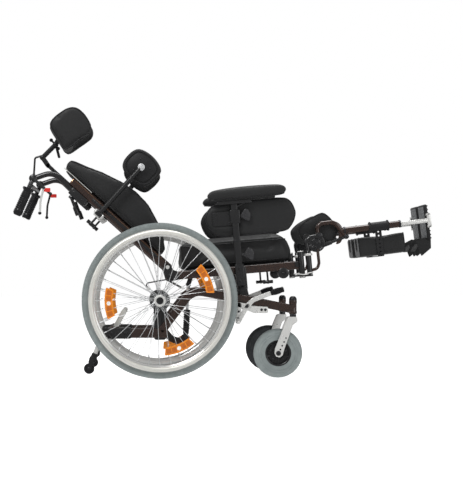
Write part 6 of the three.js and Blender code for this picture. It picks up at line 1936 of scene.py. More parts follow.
@dataclass
class Back:
    """The reclining back: canes, arch tubes, shell, and the deep cushion."""

    cane_y: float = 192.0
    cane_top: float = 511.0
    pad_rear: float = 19.0
    pad_depth: float = 128.0
    pad_half: float = 203.0
    pad_start: float = 43.0
    pad_end: float = 578.0

    def build(self, shop: Workshop, frames: Frames) -> None:
        """Makes everything that is welded or bolted to the canes."""
        back = frames.back
        canes, black, trims, lines = (Shape() for _ in range(4))
        for side in Side:
            hand = side.value
            y = hand * self.cane_y
            canes.tube([(0, y, 0), (0, y, self.cane_top - 3)], 23, 35, sides=28)
            canes.rod((0, y - 11.6, 0), (0, y + 11.6, 0), 17.5, 1.6, 32)
            face = hand * (self.cane_y + 11.2)
            black.block((-6, face, 60), (6, face + hand * 2.6, 400), 0.8)
            black.block((-2.2, face + hand * 2.2, 64), (2.2, face + hand * 2.9, 396), 0.2)
            # Painted highlights: thin copper strips down each cane's front edge and copper caps on the cane
            # tops stand for the enamel's copper reflections.
            lines.tube([(9.5, face - hand * 1.4, 40), (9.5, face - hand * 1.4, 498)], 2.4, 1.6, sides=10)
            lines.lathe([(0, 0), (13, 0), (14, 2), (13, 5), (0, 6)], (0, y, self.cane_top - 5),
                        (0, y, self.cane_top), 28)
            for up in (75, 160, 300, 388):
                black.screw((0, face + hand * 2.4, up), (0, hand, 0), 4.2, 1.8)
            self.add_arch(black, trims, frames, y, hand)
            self.add_clamp(black, trims, y, hand)
            black.block((-45, y - 11.4, 410), (-14, y + 11.4, 490), 3.4, 3)
            for up in (428, 472):
                black.screw((-30, y + hand * 11.4, up), (0, hand, 0), 5, 2)
        black.rod((2.0, -self.cane_y, 130), (2.0, self.cane_y, 130), 10, 1, 28)
        black.rod((-15, -self.cane_y, 480), (-15, self.cane_y, 480), 11, 1, 28)
        black.block((-29, -18, 455), (-1, 18, 505), 4, 3)
        black.block((-31, -13, 462), (-26, 13, 498), 2)
        trims.rod((-31, 0, 480), (-44, 0, 480), 5, 0.8, 18)
        black.rod((-42, 0, 480), (-56, 0, 480), 13, 3, 8)
        shop.add("back_canes", canes, back, FINISHES.frame, "back", ["back_frame"])
        shop.add("back_fittings", black, back, FINISHES.black, "back")
        shop.add("back_trims", trims, back, FINISHES.alloy, "back")
        # The copper strips and caps are painted highlights on the brown canes.
        shop.add("back_painted_highlights", lines, back, FINISHES.painted_copper_highlight, "back")
        shell = Shape()
        outline = rounded([(-172, 62), (172, 62), (172, 556), (-172, 556)], 26, 5)
        shell_mesh = prism(outline, 0, 5.6)
        bmesh.ops.transform(shell_mesh,
                            matrix=Matrix(((0, 1, 0, 12.8), (1, 0, 0, 0), (0, 0, 1, 0), (0, 0, 0, 1))),
                            verts=shell_mesh.verts[:])
        shell.absorb(shell_mesh)
        edges = Shape()
        for hand in (-1, 1):
            edges.block((17.2, hand * 187, 420), (20, hand * 201.5, 566), 1)
        shop.add("back_panel_edges", edges, back, FINISHES.pale, "back")
        shop.add("back_panel", shell, back, FINISHES.plastic, "back", ["back_shell"])

    def add_arch(self, black: Shape, trims: Shape, frames: Frames, y: float, hand: int) -> None:
        """Adds the thick arch tube with its toothed joint, and the recline strut."""
        route = ((-420, 815), PUSH_PIVOT, (-352, 716), (-324, 642))
        crown, joint, top, low = (frames.base.inside(frames.back, x, y, z) for x, z in route)
        black.tube([(-29.5, y, 405), crown, joint], 22, bend=60, sides=24)
        black.disc(joint.x, joint.z, hand * 202.6, hand * 181, 16, 1.6, 32)
        trims.disc(joint.x, joint.z, hand * 182, hand * 178, 7, 0.8, 6)
        black.rod(top, low, 6, 0.8, 20)
        black.rod(low, low.lerp(top, 0.45), 9, 1.2, 24)

    def add_clamp(self, black: Shape, trims: Shape, y: float, hand: int) -> None:
        """Adds the side support's clamp with its lugs, pin and T knob."""
        up, offset, hub_y = LATERAL_UP, LATERAL_OFFSET, hand * LATERAL_Y
        inner = hand * 180.5
        trims.block((-41.5, inner, up - 18), (-16.6, hand * 218, up + 18), 3, 3)
        for edge in (-1, 1):
            trims.block((offset - 12, inner, up + edge * 14.4), (offset + 7, hand * 252, up + edge * 18.2),
                        1.4)
        trims.rod((offset, hub_y, up - 21), (offset, hub_y, up + 21), 4.8, 0.8, 18)
        trims.rod((offset, hub_y, up + 18), (offset, hub_y, up + 22.5), 8, 0.8, 6)
        black.rod((-41, y, up), (-74, y, up), 4.4, 0.6, 16)
        knob = both_faces([(0, -19), (6, -19), (8, -17), (7, -6), (9, -3)])
        black.lathe(knob, (-75, y, up), (-75, y, up + 1), 28)

    def build_cushion(self, pads: Upholstery, frames: Frames) -> None:
        """Makes the back cushion: two deep bolsters with a hollow between them."""
        length = self.pad_end - self.pad_start - 8
        shares = [(0.0, 0.02), (0.005, 0.2), (0.08, 0.5), (0.19, 0.76), (0.33, 0.96), (0.47, 1), (0.6, 0.92),
                  (0.76, 0.71), (0.88, 0.5), (0.96, 0.38), (1, 0.3), (1, 0.02)]
        rear, foot, depth = self.pad_rear + 1, self.pad_start + 4, self.pad_depth - 7
        outline = rounded([(rear + forward * depth, foot + up * length) for up, forward in shares], 14, 3)
        middle = (self.pad_rear, (self.pad_start + self.pad_end) / 2)
        half = self.pad_half
        edge = [(-half + 4, 0.88, 0.97), (-half + 12, 0.97, 0.995), (-half + 28, 0.99, 1),
                (-half + 52, 0.88, 1), (-half + 76, 0.56, 1), (-half + 92, 0.44, 1), (0, 0.41, 1)]
        shape = Shape().loft(outline, middle, both_ways(edge))
        pad = pads.pad("back_cushion_cover", shape, frames.back, FINISHES.vinyl, "back",
                       ["back_cushion"], Stuffing(8, 4, 5.5, 0.8), [((0, -170, 0), (24, 170, 600))])
        seam = [(rear + forward * 0.97 * depth, foot + up * length) for up, forward in shares[1:-1]]
        lines = [[(x, hand * (half - 9), z) for x, z in seam] for hand in (-1, 1)]
        grid = [[tuple(Vector(a).lerp(Vector(b), k / 5)) for a, b in zip(line, line[1:]) for k in range(5)]
                for line in lines]
        pads.piping("back_cushion_seams", grid, frames.back, FINISHES.piping, "back", 2.4, pad, loop=False)
        strips = [[(self.pad_rear + 9, hand * (half - 1), up) for up in range(60, 570, 12)]
                  for hand in (-1, 1)]
        pads.piping("back_cushion_gather", strips, frames.back, FINISHES.worn_vinyl, "back", 4.6, pad,
                    loop=False, sink=0.55)


@dataclass
class PushBar:
    """The turning push handles: toothed joints, bent tubes, cross bar, grips and brake levers."""

    x: float = PUSH_PIVOT[0]
    z: float = PUSH_PIVOT[1]
    y: float = 210.0
    end: Point = (-564.0, 641.0)
    lever: Point = (-458.0, 750.0)
    lever_tip: Point = (-473.0, 650.0)

    def build(self, shop: Workshop, frames: Frames) -> None:
        """Makes both halves and the bar between them."""
        base = frames.base
        start = Vector((self.x, 0, self.z))
        run = Vector((self.end[0] - self.x, 0, self.end[1] - self.z))
        length = run.length
        run.normalize()

        def on(distance: float, y: float) -> Vector:
            """Gives the point at a distance down a handle."""
            return start + run * distance + Vector((0, y, 0))

        bar, trims = Shape(), Shape()
        bar.rod(on(29, -self.y), on(29, self.y), 9, 1, 24)
        for side in Side:
            hand = side.value
            y = hand * self.y
            bar.lathe([(0, -6.2), (13, -6.2), (15.6, -4), (16, -1), (14.4, 0), (16, 1), (15.6, 4), (13, 6.2),
                       (6, 6.6), (0, 6.6)], (self.x, y, self.z), (self.x, y + hand, self.z), 36)
            bar.rod(on(10, y), on(length - 10, y), 8.9, 1, 24)
            inner = hand * (self.y + 6.6)
            outer = hand * (self.y + 12)
            trims.link((self.x, self.z), self.lever, 12, inner, outer, 1)
            trims.disc(self.x, self.z, y, outer + hand * 1.4, 7.4, 0.8, 6)
            trims.disc(*self.lever, hand * (self.y - 6.8), outer + hand, 3, 0.4, 14)
            self.build_lever(shop, base, side)
            self.build_grip(shop, base, side, on, length)
        shop.add("push_tubes", bar, base, FINISHES.black, "push_handle", ["push_bar"])
        shop.add("push_cheeks", trims, base, FINISHES.drum, "push_handle")

    def build_grip(self, shop: Workshop, base: Frame, side: Side, on: Callable[[float, float], Vector],
                   length: float) -> None:
        """Makes one hand grip with its ribs and its end cap."""
        y = side.value * self.y
        size = length - 42
        profile = [(9.3, 0), (20, 0), (22.5, 1.4), (22.5, 8), (20, 10), (16.6, 14), (17.6, 24), (18.4, 36)]
        ribs = 7
        for rib in range(ribs):
            at = 40 + rib * (size - 62) / ribs
            profile += [(18.4, at), (17.2, at + 1.6), (17.2, at + 3.2), (18.6, at + 5)]
        profile += [(19, size - 16), (18.6, size - 9), (16, size - 5), (9.3, size - 5)]
        grip = Shape().lathe(profile, on(42, y), on(43, y), 32, True)
        shop.add(f"{side.label}_grip_sleeve", grip, base, FINISHES.grip, "push_handle",
                 [f"{side.label}_push_grip"])
        tip = Shape().lathe([(0, size - 5.4), (15.6, size - 5.4), (15, size - 2.6), (11.4, size - 0.4),
                             (0, size)], on(42, y), on(43, y), 28)
        finish = FINISHES.white if side is Side.LEFT else FINISHES.plastic
        shop.add(f"{side.label}_grip_tip", tip, base, finish, "push_handle")

    def build_lever(self, shop: Workshop, base: Frame, side: Side) -> None:
        """Makes one brake lever: eye, curved blade with its ball, and red parking tab."""
        y = side.value * self.y
        label = side.label
        lever = Shape()
        lever.disc(*self.lever, y - 5.8, y + 5.8, 7, 1, 24)
        tip = self.lever_tip
        lever.tube([(self.lever[0], y, self.lever[1]), (-470.5, y, 700), (tip[0], y, tip[1])], 10, 8, 50,
                   corner=2.4)
        # The left blade takes black enamel and the right satin alloy: painted shade on the far lever, which
        # stands in shadow; both levers are the same part.
        finish = FINISHES.alloy if side is Side.RIGHT else FINISHES.black
        shop.add(f"{label}_lever_blade", lever, base, finish, f"{label}_brake_lever",
                 [f"{label}_brake_lever"])
        ball = Shape().ball((tip[0], y, tip[1]), 6.8, steps=20)
        shop.add(f"{label}_lever_ball", ball, base, FINISHES.plastic, f"{label}_brake_lever")
        tab = Shape().block((self.lever[0] + 1, y - 4, self.lever[1] - 16),
                            (self.lever[0] + 26, y + 4, self.lever[1] - 1), 2.4, 3)
        shop.add(f"{label}_lever_tab", tab, base, FINISHES.red, f"{label}_brake_lever")


@dataclass
class LateralSupport(Sided):
    """A swing-away trunk support: hub, arm, boss, plate and padded oval."""

    up: float = LATERAL_UP
    offset: float = LATERAL_OFFSET
    y: float = LATERAL_Y
    reach: float = 223.0

    def build(self, shop: Workshop, frames: Frames) -> None:
        """Makes the arm and the plate."""
        hand = self.hand
        label = self.label
        body = f"{label}_lateral"
        y = hand * self.y
        arm = Shape()
        hub = both_faces([(5.6, -13.8), (11, -13.8), (12, -12)])
        arm.lathe(hub, (self.offset, y, self.up), (self.offset, y, self.up + 1), 32, True)
        arm.tube([(self.offset + 8, y, self.up), (self.reach, y, self.up)], 20, bend=1, sides=24)
        shop.add(f"{label}_lateral_tube", arm, frames.back, FINISHES.black, body, [f"{label}_lateral_arm"])
        boss = Shape()
        face = hand * 224.4
        boss.disc(self.reach, self.up, face, y + hand * 9, 14, 2, 32)
        boss.disc(self.reach, self.up, y + hand * 8.6, y + hand * 12, 8.4, 1, 6)
        shop.add(f"{label}_lateral_boss", boss, frames.back, FINISHES.steel, body)
        plate, screws = Shape(), Shape()
        plate.plate(flowing(self.outline(0.78), 4), hand * 220, hand * 224, 1.2)
        shop.add(f"{label}_lateral_plate", plate, frames.back, FINISHES.plastic, body)
        for along, up in ((-28, 16), (24, 26), (20, -28)):
            screws.screw((self.reach + along, hand * 224, self.up + up), (0, hand, 0), 3, 1.4)
        shop.add(f"{label}_lateral_screws", screws, frames.back, FINISHES.oxide, body)

    def outline(self, share: float) -> Outline:
        """Gives the pad's outline, sized about its middle."""
        shares = [(0.02, 0.5), (0.1, 0.13), (0.3, 0.02), (0.7, 0), (0.9, 0.1), (1, 0.45), (0.94, 0.82),
                  (0.75, 0.98), (0.35, 1), (0.1, 0.86)]
        return [(self.reach + (a - 0.5) * 124 * share, self.up + (b - 0.5) * 139 * share) for a, b in shares]

    def build_pad(self, pads: Upholstery, frames: Frames) -> None:
        """Makes the pad with its rolled foam rim."""
        hand = self.hand
        label = self.label
        rim = flowing(self.outline(1.03), 5)
        edge = [(188.5, 0.86, 0.86), (191, 0.97, 0.97), (197, 1, 1), (208, 1, 1), (216, 0.98, 0.98),
                (219.6, 0.9, 0.9)]
        shape = Shape().loft(rim, (self.reach, self.up), handed(edge, hand))
        pad = pads.pad(f"{label}_lateral_cover", shape, frames.back, FINISHES.vinyl, f"{label}_lateral",
                       [f"{label}_lateral_pad"], Stuffing(5, 4, 2.4, 0.85),
                       [((180, hand * 218, 300), (266, hand * 222, 384))])
        line = flowing(self.outline(0.9), 4)
        ring = flowing(self.outline(1.05), 4)
        pads.piping(f"{label}_lateral_rim", [[(x, hand * 219.5, z) for x, z in line]], frames.back,
                    FINISHES.mesh, f"{label}_lateral", 4.2, pad)
        pads.piping(f"{label}_lateral_seam", [[(x, hand * 194, z) for x, z in ring]], frames.back,
                    FINISHES.piping, f"{label}_lateral", 1.6, pad)


@dataclass
class Headrest:
    """The winged headrest on its post, double link and clamp lever."""

    hinge: Point = (-477.0, 886.0)
    pad_hinge: Point = (-424.0, 940.0)
    height: float = 139.0
    depth: float = 150.0
    half: float = 132.0
    wing: float = 40.0

    def build(self, shop: Workshop, frames: Frames) -> None:
        """Makes the post, the link and the pad's hardware."""
        back, base = frames.back, frames.base
        post = Shape()
        post.block((-22, -11, 428), (-8, 11, 640), 2.4, 3)
        for up in range(505, 640, 18):
            post.rod((-22.6, 0, up), (-21, 0, up), 3.4, 0.3, 14)
        post_top = back.inside(base, -15, 0, 640)
        post_low = back.inside(base, -15, 0, 616)
        shop.add("headrest_bar", post, back, FINISHES.black, "headrest_slide", ["headrest_post"])
        cheeks = Shape()
        for edge in (-1, 1):
            near, far = edge * 10.3, edge * 14.2
            cheeks.link((post_top.x, post_top.z), self.hinge, 19, near, far, 1)
            cheeks.link((post_low.x, post_low.z), (post_top.x, post_top.z), 15, near, far, 1)
        cheeks.disc(*self.hinge, -17, 17, 4.8, 0.6, 18)
        shop.add("headrest_cheeks", cheeks, base, FINISHES.black, "headrest_slide")
        link = Shape()
        link.link(self.hinge, self.pad_hinge, 18, -9.8, 9.8, 2)
        for x, z in (self.hinge, self.pad_hinge):
            link.rod((x, -9.9, z), (x, 9.9, z), 11.4, 1.6, 28)
        shop.add("headrest_link_block", link, base, FINISHES.plastic, "headrest_arm", ["headrest_link"])
        bolts = Shape()
        for x, z in (self.hinge, self.pad_hinge):
            for edge in (-1, 1):
                bolts.screw((x, edge * 14, z), (0, edge, 0), 6, 3)
        shop.add("headrest_bolts", bolts, base, FINISHES.oxide, "headrest_arm")
        crank = Shape().tube([(-482, 0, 893), (-508, 0, 885), (-512, 0, 818)], 8, bend=9, sides=16)
        crank.ball((-512, 0, 818), 5.4, steps=16)
        shop.add("headrest_crank", crank, base, FINISHES.black, "headrest_slide")
        clamp = Shape().link(self.pad_hinge, (-411, 891), 11, 15, 21, 1.6)
        x, z = self.pad_hinge
        clamp.rod((x, 15, z), (x - 18, 15, z + 18), 4, 0.6, 16)
        clamp.ball((-443, 15, 959), 7.5, (1, 1.5, 1), 20)
        shop.add("headrest_clamp", clamp, base, FINISHES.plastic, "headrest")
        head = frames.head
        mount = frames.head.matrix.inverted() @ base.at(self.pad_hinge[0], 0, self.pad_hinge[1])
        holder, lever = Shape(), Shape()
        for edge in (-1, 1):
            holder.link((mount.x, mount.z), (8, mount.z + 12), 18, edge * 10.3, edge * 14.3, 1)
        holder.block((-3, -38, mount.z - 20), (4, 38, mount.z + 34), 2.4)
        holder.rod((mount.x, -16, mount.z), (mount.x, 16, mount.z), 4.8, 0.6, 18)
        shop.add("headrest_bracket", holder, head, FINISHES.black, "headrest")
        lever.rod((mount.x, 14, mount.z), (mount.x, 74, mount.z - 11), 4.2, 0.8, 18)
        lever.ball((mount.x, 76, mount.z - 11.6), 7.4, steps=18)
        shop.add("headrest_lever", lever, head, FINISHES.plastic, "headrest")

    def build_pad(self, pads: Upholstery, frames: Frames) -> None:
        """Makes the padded back and its two rounded wings as one stuffed form."""
        wing = [(0.02, 0.03), (0.5, 0.03), (0.8, 0.06), (0.95, 0.2), (0.985, 0.42), (0.97, 0.68), (0.88, 0.9),
                (0.68, 1.015), (0.38, 1.03), (0.15, 0.99), (0.03, 0.88), (0.0, 0.68), (0.0, 0.3)]
        line = flowing([(a * self.depth, b * self.height) for a, b in wing], 5)
        back_line = rounded([(0, 0.1 * self.height), (0.3 * 42, 0.02 * self.height), (39, 0.08 * self.height),
                             (40, 0.9 * self.height), (14, 0.97 * self.height), (0, 0.87 * self.height)], 12,
                            4)
        inner, outer = self.half - self.wing, self.half
        whole = None
        for hand in (-1, 1):
            edge = [(inner + 3, 0.95, 0.93), (inner + 9, 0.985, 0.985), (inner + 20, 1, 1),
                    (outer - 9, 0.985, 0.985), (outer - 3, 0.95, 0.93)]
            wing_shape = Shape().loft(line, (70, 70), handed(edge, hand))
            whole = wing_shape.mesh if whole is None else boolean(whole, wing_shape.mesh, "UNION")
        stations = both_ways([(-inner - 8, 1, 0.98), (-40, 1, 0.98), (0, 1, 0.98)])
        middle = Shape().loft(back_line, (20, 70), stations)
        whole = boolean(whole, middle.mesh, "UNION")
        shape = Shape()
        shape.mesh.free()
        shape.mesh = whole
        pad = pads.pad("headrest_cover", shape, frames.head, FINISHES.vinyl, "headrest", ["headrest_pad"],
                       Stuffing(5, 4, 3, 0.85), [((-5, -60, 0), (5, 60, 140))])
        lines = [[(x, hand * (outer - 2), z) for x, z in line] for hand in (-1, 1)]
        pads.piping("headrest_seams", lines, frames.head, FINISHES.piping, "headrest", 2.4, pad)


# Leg supports


@dataclass
class LegSupport(Sided):
    """One raised leg support: hanger, knee hub, leg tube, calf pad and footplate."""

    y: float = 190.0
    hanger_y: float = HANGER_Y
    knee: Point = KNEE
    hub: Point = (622.0, 533.0)
    stay: Point = (589.4, 554.8)
    tube_up: float = 8.5
    fold_along: float = 452.0
    fold_y: float = 165.0
    strap_along: float = 246.5
    strap_y: float = 158.6
    calf_y: float = 98.0

    def build(self, shop: Workshop, frames: Frames) -> None:
        """Makes all the hard pieces of the leg support."""
        self.build_hanger(shop, frames)
        self.build_leg(shop, frames)
        self.build_foot(shop, frames)
        self.build_plate(shop, frames)
        self.build_calf_holder(shop, frames)

    def build_hanger(self, shop: Workshop, frames: Frames) -> None:
        """Makes the post, the riser and the ribbed knee hub."""
        y = self.hand * self.hanger_y
        base, seat = frames.base, frames.seat
        body = f"{self.label}_hanger"
        top = seat.inside(base, HANGER_ALONG, y, 52)
        low = seat.inside(base, HANGER_ALONG, y, -39.6)
        black = Shape()
        black.lathe([(5.2, 0), (10, 0), (11, 1), (11, 92), (10, 93.4), (5.2, 93.4)], low, top, 28, True)
        black.tube([top, (578, y, 552), (self.knee[0], y, self.knee[1])], 18, bend=34, sides=24)
        black.disc(*self.knee, y - 10, y + 10, 14, 2, 32)
        shop.add(f"{self.label}_hanger_tube", black, base, FINISHES.black, body,
                 [f"{self.label}_legrest_hanger"])
        hub = Shape()
        x, z = self.hub
        start, towards = (x, y, z), (x, y + self.hand, z)
        hub.lathe([(0, -7), (30, -7), (34, -5.4), (36, -2), (36, 2), (34.6, 5), (30, 6), (27, 4.4), (24, 5.8),
                   (20, 4.4), (16, 6.6), (8, 7.4), (0, 7.4)], start, towards, 56)
        middle = Vector(start)
        for rib in map(ray, turns(16)):
            inner = middle + rib * 12 + Vector((0, self.hand * 5.4, 0))
            hub.rod(inner, middle + rib * 31 + Vector((0, self.hand * 4.6, 0)), 1.7, 0.5, 8)
        shop.add(f"{self.label}_knee_hub", hub, base, FINISHES.gloss, body)
        trims = Shape()
        bolts = Shape().disc(*self.knee, y + self.hand * 10, y + self.hand * 12, 7, 0.8, 6)
        bolts.disc(x, z, y + self.hand * 7, y + self.hand * 9.4, 5.4, 0.8, 6)
        shop.add(f"{self.label}_hub_bolts", bolts, base, FINISHES.oxide, body)
        trims.disc(*self.knee, self.hand * (self.y - 11.6), y, 7.8, 0.8, 24)
        for share in (0.06, 0.86):
            spot = low.lerp(top, share)
            trims.lathe([(11.1, -2), (12.4, -2), (12.4, 2), (11.1, 2)], spot, spot + (top - low).normalized(),
                        28, True)
        trims.tube([low + Vector((0, self.hand * 10, 6)), (low.x - 26, y + self.hand * 15, low.z - 2),
                    (low.x - 66, y + self.hand * 15, low.z + 2)], 9, 4, 10, corner=1.2)
        shop.add(f"{self.label}_hanger_trims", trims, base, FINISHES.alloy, body)
        hook = Shape()
        hook.tube([(low.x + 8, y, low.z + 16), (low.x + 30, y, low.z + 22), (low.x + 36, y, low.z + 44),
                   (low.x + 30, y, self.hub[1] - 26)], 12, bend=22, sides=20)
        shop.add(f"{self.label}_hanger_hook", hook, base, FINISHES.frame, body)
        stay = Shape()
        face = self.hand * 173.4
        stay.disc(*self.stay, face, y, 7, 0.8, 20)
        stay.disc(*self.stay, face, face + self.hand * 5, 17, 1.4, 28)
        shop.add(f"{self.label}_knee_stay", stay, base, FINISHES.black, body)

    def build_leg(self, shop: Workshop, frames: Frames) -> None:
        """Makes the arc over the knee, the leg tube, its strut and its crescent plate."""
        leg = frames.leg
        y = self.hand * self.y
        body = f"{self.label}_leg"
        tube = Shape()
        tube.tube([(0, y, 0), (0, y, 48), (69.4, y, 48), (112, y, -16)], 18, bend=34, sides=24)
        tube.disc(0, 0, y - 11, y + 11, 15, 1.6, 32)
        tube.lathe([(9.0, 101), (12.2, 101), (13, 102), (13, 335), (12.2, 336), (9.0, 336)],
                   (0, y, self.tube_up), (1, y, self.tube_up), 32, True)
        tube.rod((100, y, self.tube_up), (180, y, self.tube_up), 12.6, 0.8, 28)
        tube.rod((106, y, -12), (122, y, self.tube_up), 8, 0.8, 16)
        shop.add(f"{self.label}_leg_arc", tube, leg, FINISHES.frame, body, [f"{self.label}_leg_tube"])
        plate = Shape()
        shares = [(0.5, 0.95), (0.72, 0.8), (0.72, 0.3), (0.6, 0), (0.78, 0.05), (0.9, 0.4), (0.88, 0.75),
                  (0.7, 1)]
        outline = flowing(scaled(shares, 0, -40, 112, 88), 5)
        plate.plate(outline, y - 1.9, y + 1.9, 0.8)
        shop.add(f"{self.label}_leg_crescent", plate, leg, FINISHES.frame, body)
        black = Shape()
        black.rod((14, y, -40), (112, y, -16), 5.8, 1, 20)
        black.rod((12, y, -40.5), (50, y, -31.2), 8.4, 1.4, 24)
        black.disc(112, -16, y - 9.4, y + 9.4, 10, 1.6, 24)
        shop.add(f"{self.label}_leg_strut", black, leg, FINISHES.black, body)
        trims = Shape()
        for edge in (-1, 1):
            trims.rod((0, y + edge * 11, 0), (0, y + edge * 12.4, 0), 9, 0.6, 24)
            trims.screw((112, y + edge * 9.4, -16), (0, edge, 0), 6, 2.4)
            trims.screw((80, y + edge * 1.9, -2), (0, edge, 0), 5, 2.2)
        for along in (329, 104):
            trims.lathe([(13.1, 0), (15, 0), (15, 7), (13.1, 7)], (along, y, self.tube_up),
                        (along + 1, y, self.tube_up), 32, True)
        shop.add(f"{self.label}_leg_trims", trims, leg, FINISHES.oxide, body)

    def build_foot(self, shop: Workshop, frames: Frames) -> None:
        """Makes the telescoping foot tube with its hinge block."""
        leg = frames.leg
        y = self.hand * self.y
        foot = Shape()
        foot.rod((226, y, self.tube_up), (self.fold_along, y, self.tube_up), 8.5, 0.8, 28)
        for along in range(350, 440, 22):
            foot.rod((along, y, self.tube_up + 7.9), (along, y, self.tube_up + 8.9), 2.6, 0.2, 12)
        near, up = self.hand * 199, self.tube_up
        for edge in (-1, 1):
            foot.block((445, near, up + edge * 20.6), (459, self.hand * 172, up + edge * 28.6), 2)
        foot.block((445, near, up - 28.6), (459, self.hand * 181.5, up + 28.6), 2.4)
        pin_y = self.hand * self.fold_y
        foot.rod((self.fold_along, pin_y, up - 27), (self.fold_along, pin_y, up + 27), 4.9, 0.6, 18)
        shop.add(f"{self.label}_foot_bar", foot, leg, FINISHES.alloy, f"{self.label}_foot",
                 [f"{self.label}_foot_tube"])

    def build_plate(self, shop: Workshop, frames: Frames) -> None:
        """Makes the ribbed footplate with its grey face and heel flaps."""
        leg = frames.leg
        body = f"{self.label}_footrest"
        inner, outer = 21.0, 155.0
        low, high = sorted((self.hand * inner, self.hand * outer))
        board, face, flaps = Shape(), Shape(), Shape()
        board.block((443.2, low, -69), (458, high, 74.5), 6, 4)
        pitch = 29.0
        for number in range(5):
            middle = -70 + pitch * (number + 0.5)
            for edge in (-1, 1):
                board.block((455.5, low + 3, middle + edge * 10), (460.8, high - 3, middle + edge * 4.6), 1.8,
                            3)
        ends = [(self.fold_along, self.hand * self.fold_y, self.tube_up + reach) for reach in (-20, 20)]
        board.rod(*ends, 10, 1.2, 28)
        board.block((447, self.hand * 150, self.tube_up - 19.6), (457, self.hand * 162, self.tube_up + 19.6),
                    2.2)
        shop.add(f"{self.label}_footplate_board", board, leg, FINISHES.plastic, body,
                 [f"{self.label}_footplate"])
        face.block((442.8, low + 8, -60), (444.4, high - 8, 66), 0.5)
        for number in range(7):
            middle = -50 + number * 18
            face.block((441.9, low + 14, middle - 1.2), (443.2, high - 14, middle + 1.2), 0.4)
        shop.add(f"{self.label}_footplate_face", face, leg, FINISHES.grey, body)
        outline = rounded([(396, -71), (430, -58), (447, -61), (459, -66), (455, -104), (412, -132)], 4, 3)
        for y in (low + 14, high - 14):
            flaps.plate(outline, y - 1.8, y + 1.8, 1.2)
        flaps.tube([(400, low + 12, -94), (400, high - 12, -94)], 3.2, 34, across=(0.82, 0, -0.57),
                   corner=1.2)
        shop.add(f"{self.label}_heel_strap", flaps, leg, FINISHES.worn_vinyl, body)

    def build_calf_holder(self, shop: Workshop, frames: Frames) -> None:
        """Makes the clamp on the leg tube with the slotted strap and the shelf under the pad."""
        leg = frames.leg
        y = self.hand * self.y
        body = f"{self.label}_calf"
        sleeve = Shape()
        sleeve.lathe([(13.6, 210), (17.6, 210), (18.6, 211), (18.6, 282), (17.6, 283), (13.6, 283)],
                     (0, y, self.tube_up), (1, y, self.tube_up), 36, True)
        shop.add(f"{self.label}_calf_sleeve", sleeve, leg, FINISHES.plastic, body)
        rings = Shape()
        for along in (206, 278):
            rings.lathe([(13.7, 0), (19.4, 0), (20.4, 1.4), (20.4, 7.6), (19.4, 9), (13.7, 9)],
                        (along, y, self.tube_up), (along + 1, y, self.tube_up), 40, True)
            for angle in turns(20):
                spot = (along + 1.4, y + 20.2 * math.cos(angle), self.tube_up + 20.2 * math.sin(angle))
                rings.rod(spot, (spot[0] + 6.2, spot[1], spot[2]), 1.5, 0.4, 8)
        shop.add(f"{self.label}_calf_rings", rings, leg, FINISHES.plastic, body)
        strap = Shape()
        face = self.hand * self.strap_y
        strap_frame = prism(rounded([(233.5, -111), (259.5, -111), (259.5, 8), (233.5, 8)], 5, 4), face,
                            face + self.hand * 4)
        holes = [(Vector((self.strap_along, 0, up)), 3.4) for up in (-92, -76, -60, -44, -28, -12)]
        strap.absorb(drill(strap_frame, holes, face, self.hand))
        strap.block((234, face, 3.4), (259, self.hand * 178, 7.6), 0.8)
        strap.block((234, self.hand * 40, -112), (259, self.hand * 159, -108.4), 0.8)
        shop.add(f"{self.label}_calf_strap", strap, leg, FINISHES.black, body)
        bolts = Shape()
        for up in (-100, 0):
            bolts.disc(self.strap_along, up, face + self.hand * 4, face + self.hand * 9, 6.4, 1, 6)
        shop.add(f"{self.label}_calf_bolts", bolts, leg, FINISHES.plastic, body)

    def build_pads(self, pads: Upholstery, frames: Frames) -> None:
        """Makes the calf trough and the knee pad."""
        hand, label = self.hand, self.label
        half, height, wall = 59.0, 83.0, 24.0
        right = [(0, -height + 1), (half - 10, -height + 2), (half - 2, -height + 10), (half - 2, -10),
                 (half - 8, -2.5), (half - 17, -2.5), (half - wall + 1, -10),
                 (half - wall - 8, -height + wall + 8), (half - wall - 18, -height + wall - 1)]
        left = [(-a, b) for a, b in reversed(right[1:])]
        section = [*left[-2:], *right, *left[:-2]]
        line = rounded(section, 6, 3)
        start, end = 158.0, 355.0
        trough = Shape().loft(line, (0, -45),
                              [(start + 3, 0.96, 0.95), (start + 9, 1, 1), ((start + end) / 2, 1.0, 1.0),
                               (end - 9, 1, 1), (end - 3, 0.96, 0.95)])
        swap = Matrix(((0, 1, 0, 0), (-1, 0, 0, hand * self.calf_y), (0, 0, 1, -25), (0, 0, 0, 1)))
        bmesh.ops.transform(trough.mesh, matrix=swap, verts=trough.mesh.verts[:])
        calf = pads.pad(f"{label}_calf_cover", trough, frames.leg, FINISHES.vinyl, f"{label}_calf",
                        [f"{label}_calf_pad"], Stuffing(5, 4, 2.2, 0.8),
                        [((150, -200, -112), (360, 200, -106.5))])
        rings = [[(along, hand * self.calf_y + a * 0.99, -25 + b * 0.99) for a, b in line]
                 for along in (start + 7, end - 7)]
        pads.piping(f"{label}_calf_seams", rings, frames.leg, FINISHES.piping, f"{label}_calf", 1.8, calf)
        lining = Shape().loft(line, (0, -45), [(start + 1.4, 0.86, 0.9), (start + 3.8, 0.9, 0.93)])
        bmesh.ops.transform(lining.mesh, matrix=swap, verts=lining.mesh.verts[:])
        pads.shop.add(f"{label}_calf_lining", lining, frames.leg, FINISHES.lining, f"{label}_calf")
        shares = [(0.02, 0.4), (0.05, 0.54), (0.2, 0.73), (0.39, 0.87), (0.56, 0.975), (0.67, 0.94),
                  (0.82, 0.76), (0.975, 0.46), (0.9, 0.22), (0.8, 0.03), (0.68, 0.03), (0.4, 0.04),
                  (0.12, 0.13)]
        outline = flowing(scaled(shares, 552, 529, 170, 131), 5)
        edge = [(144.5, 0.93, 0.92), (148, 0.985, 0.985), (158, 1, 1), (168, 0.985, 0.985),
                (171.5, 0.93, 0.92)]
        shape = Shape().loft(outline, (637, 592), handed(edge, hand))
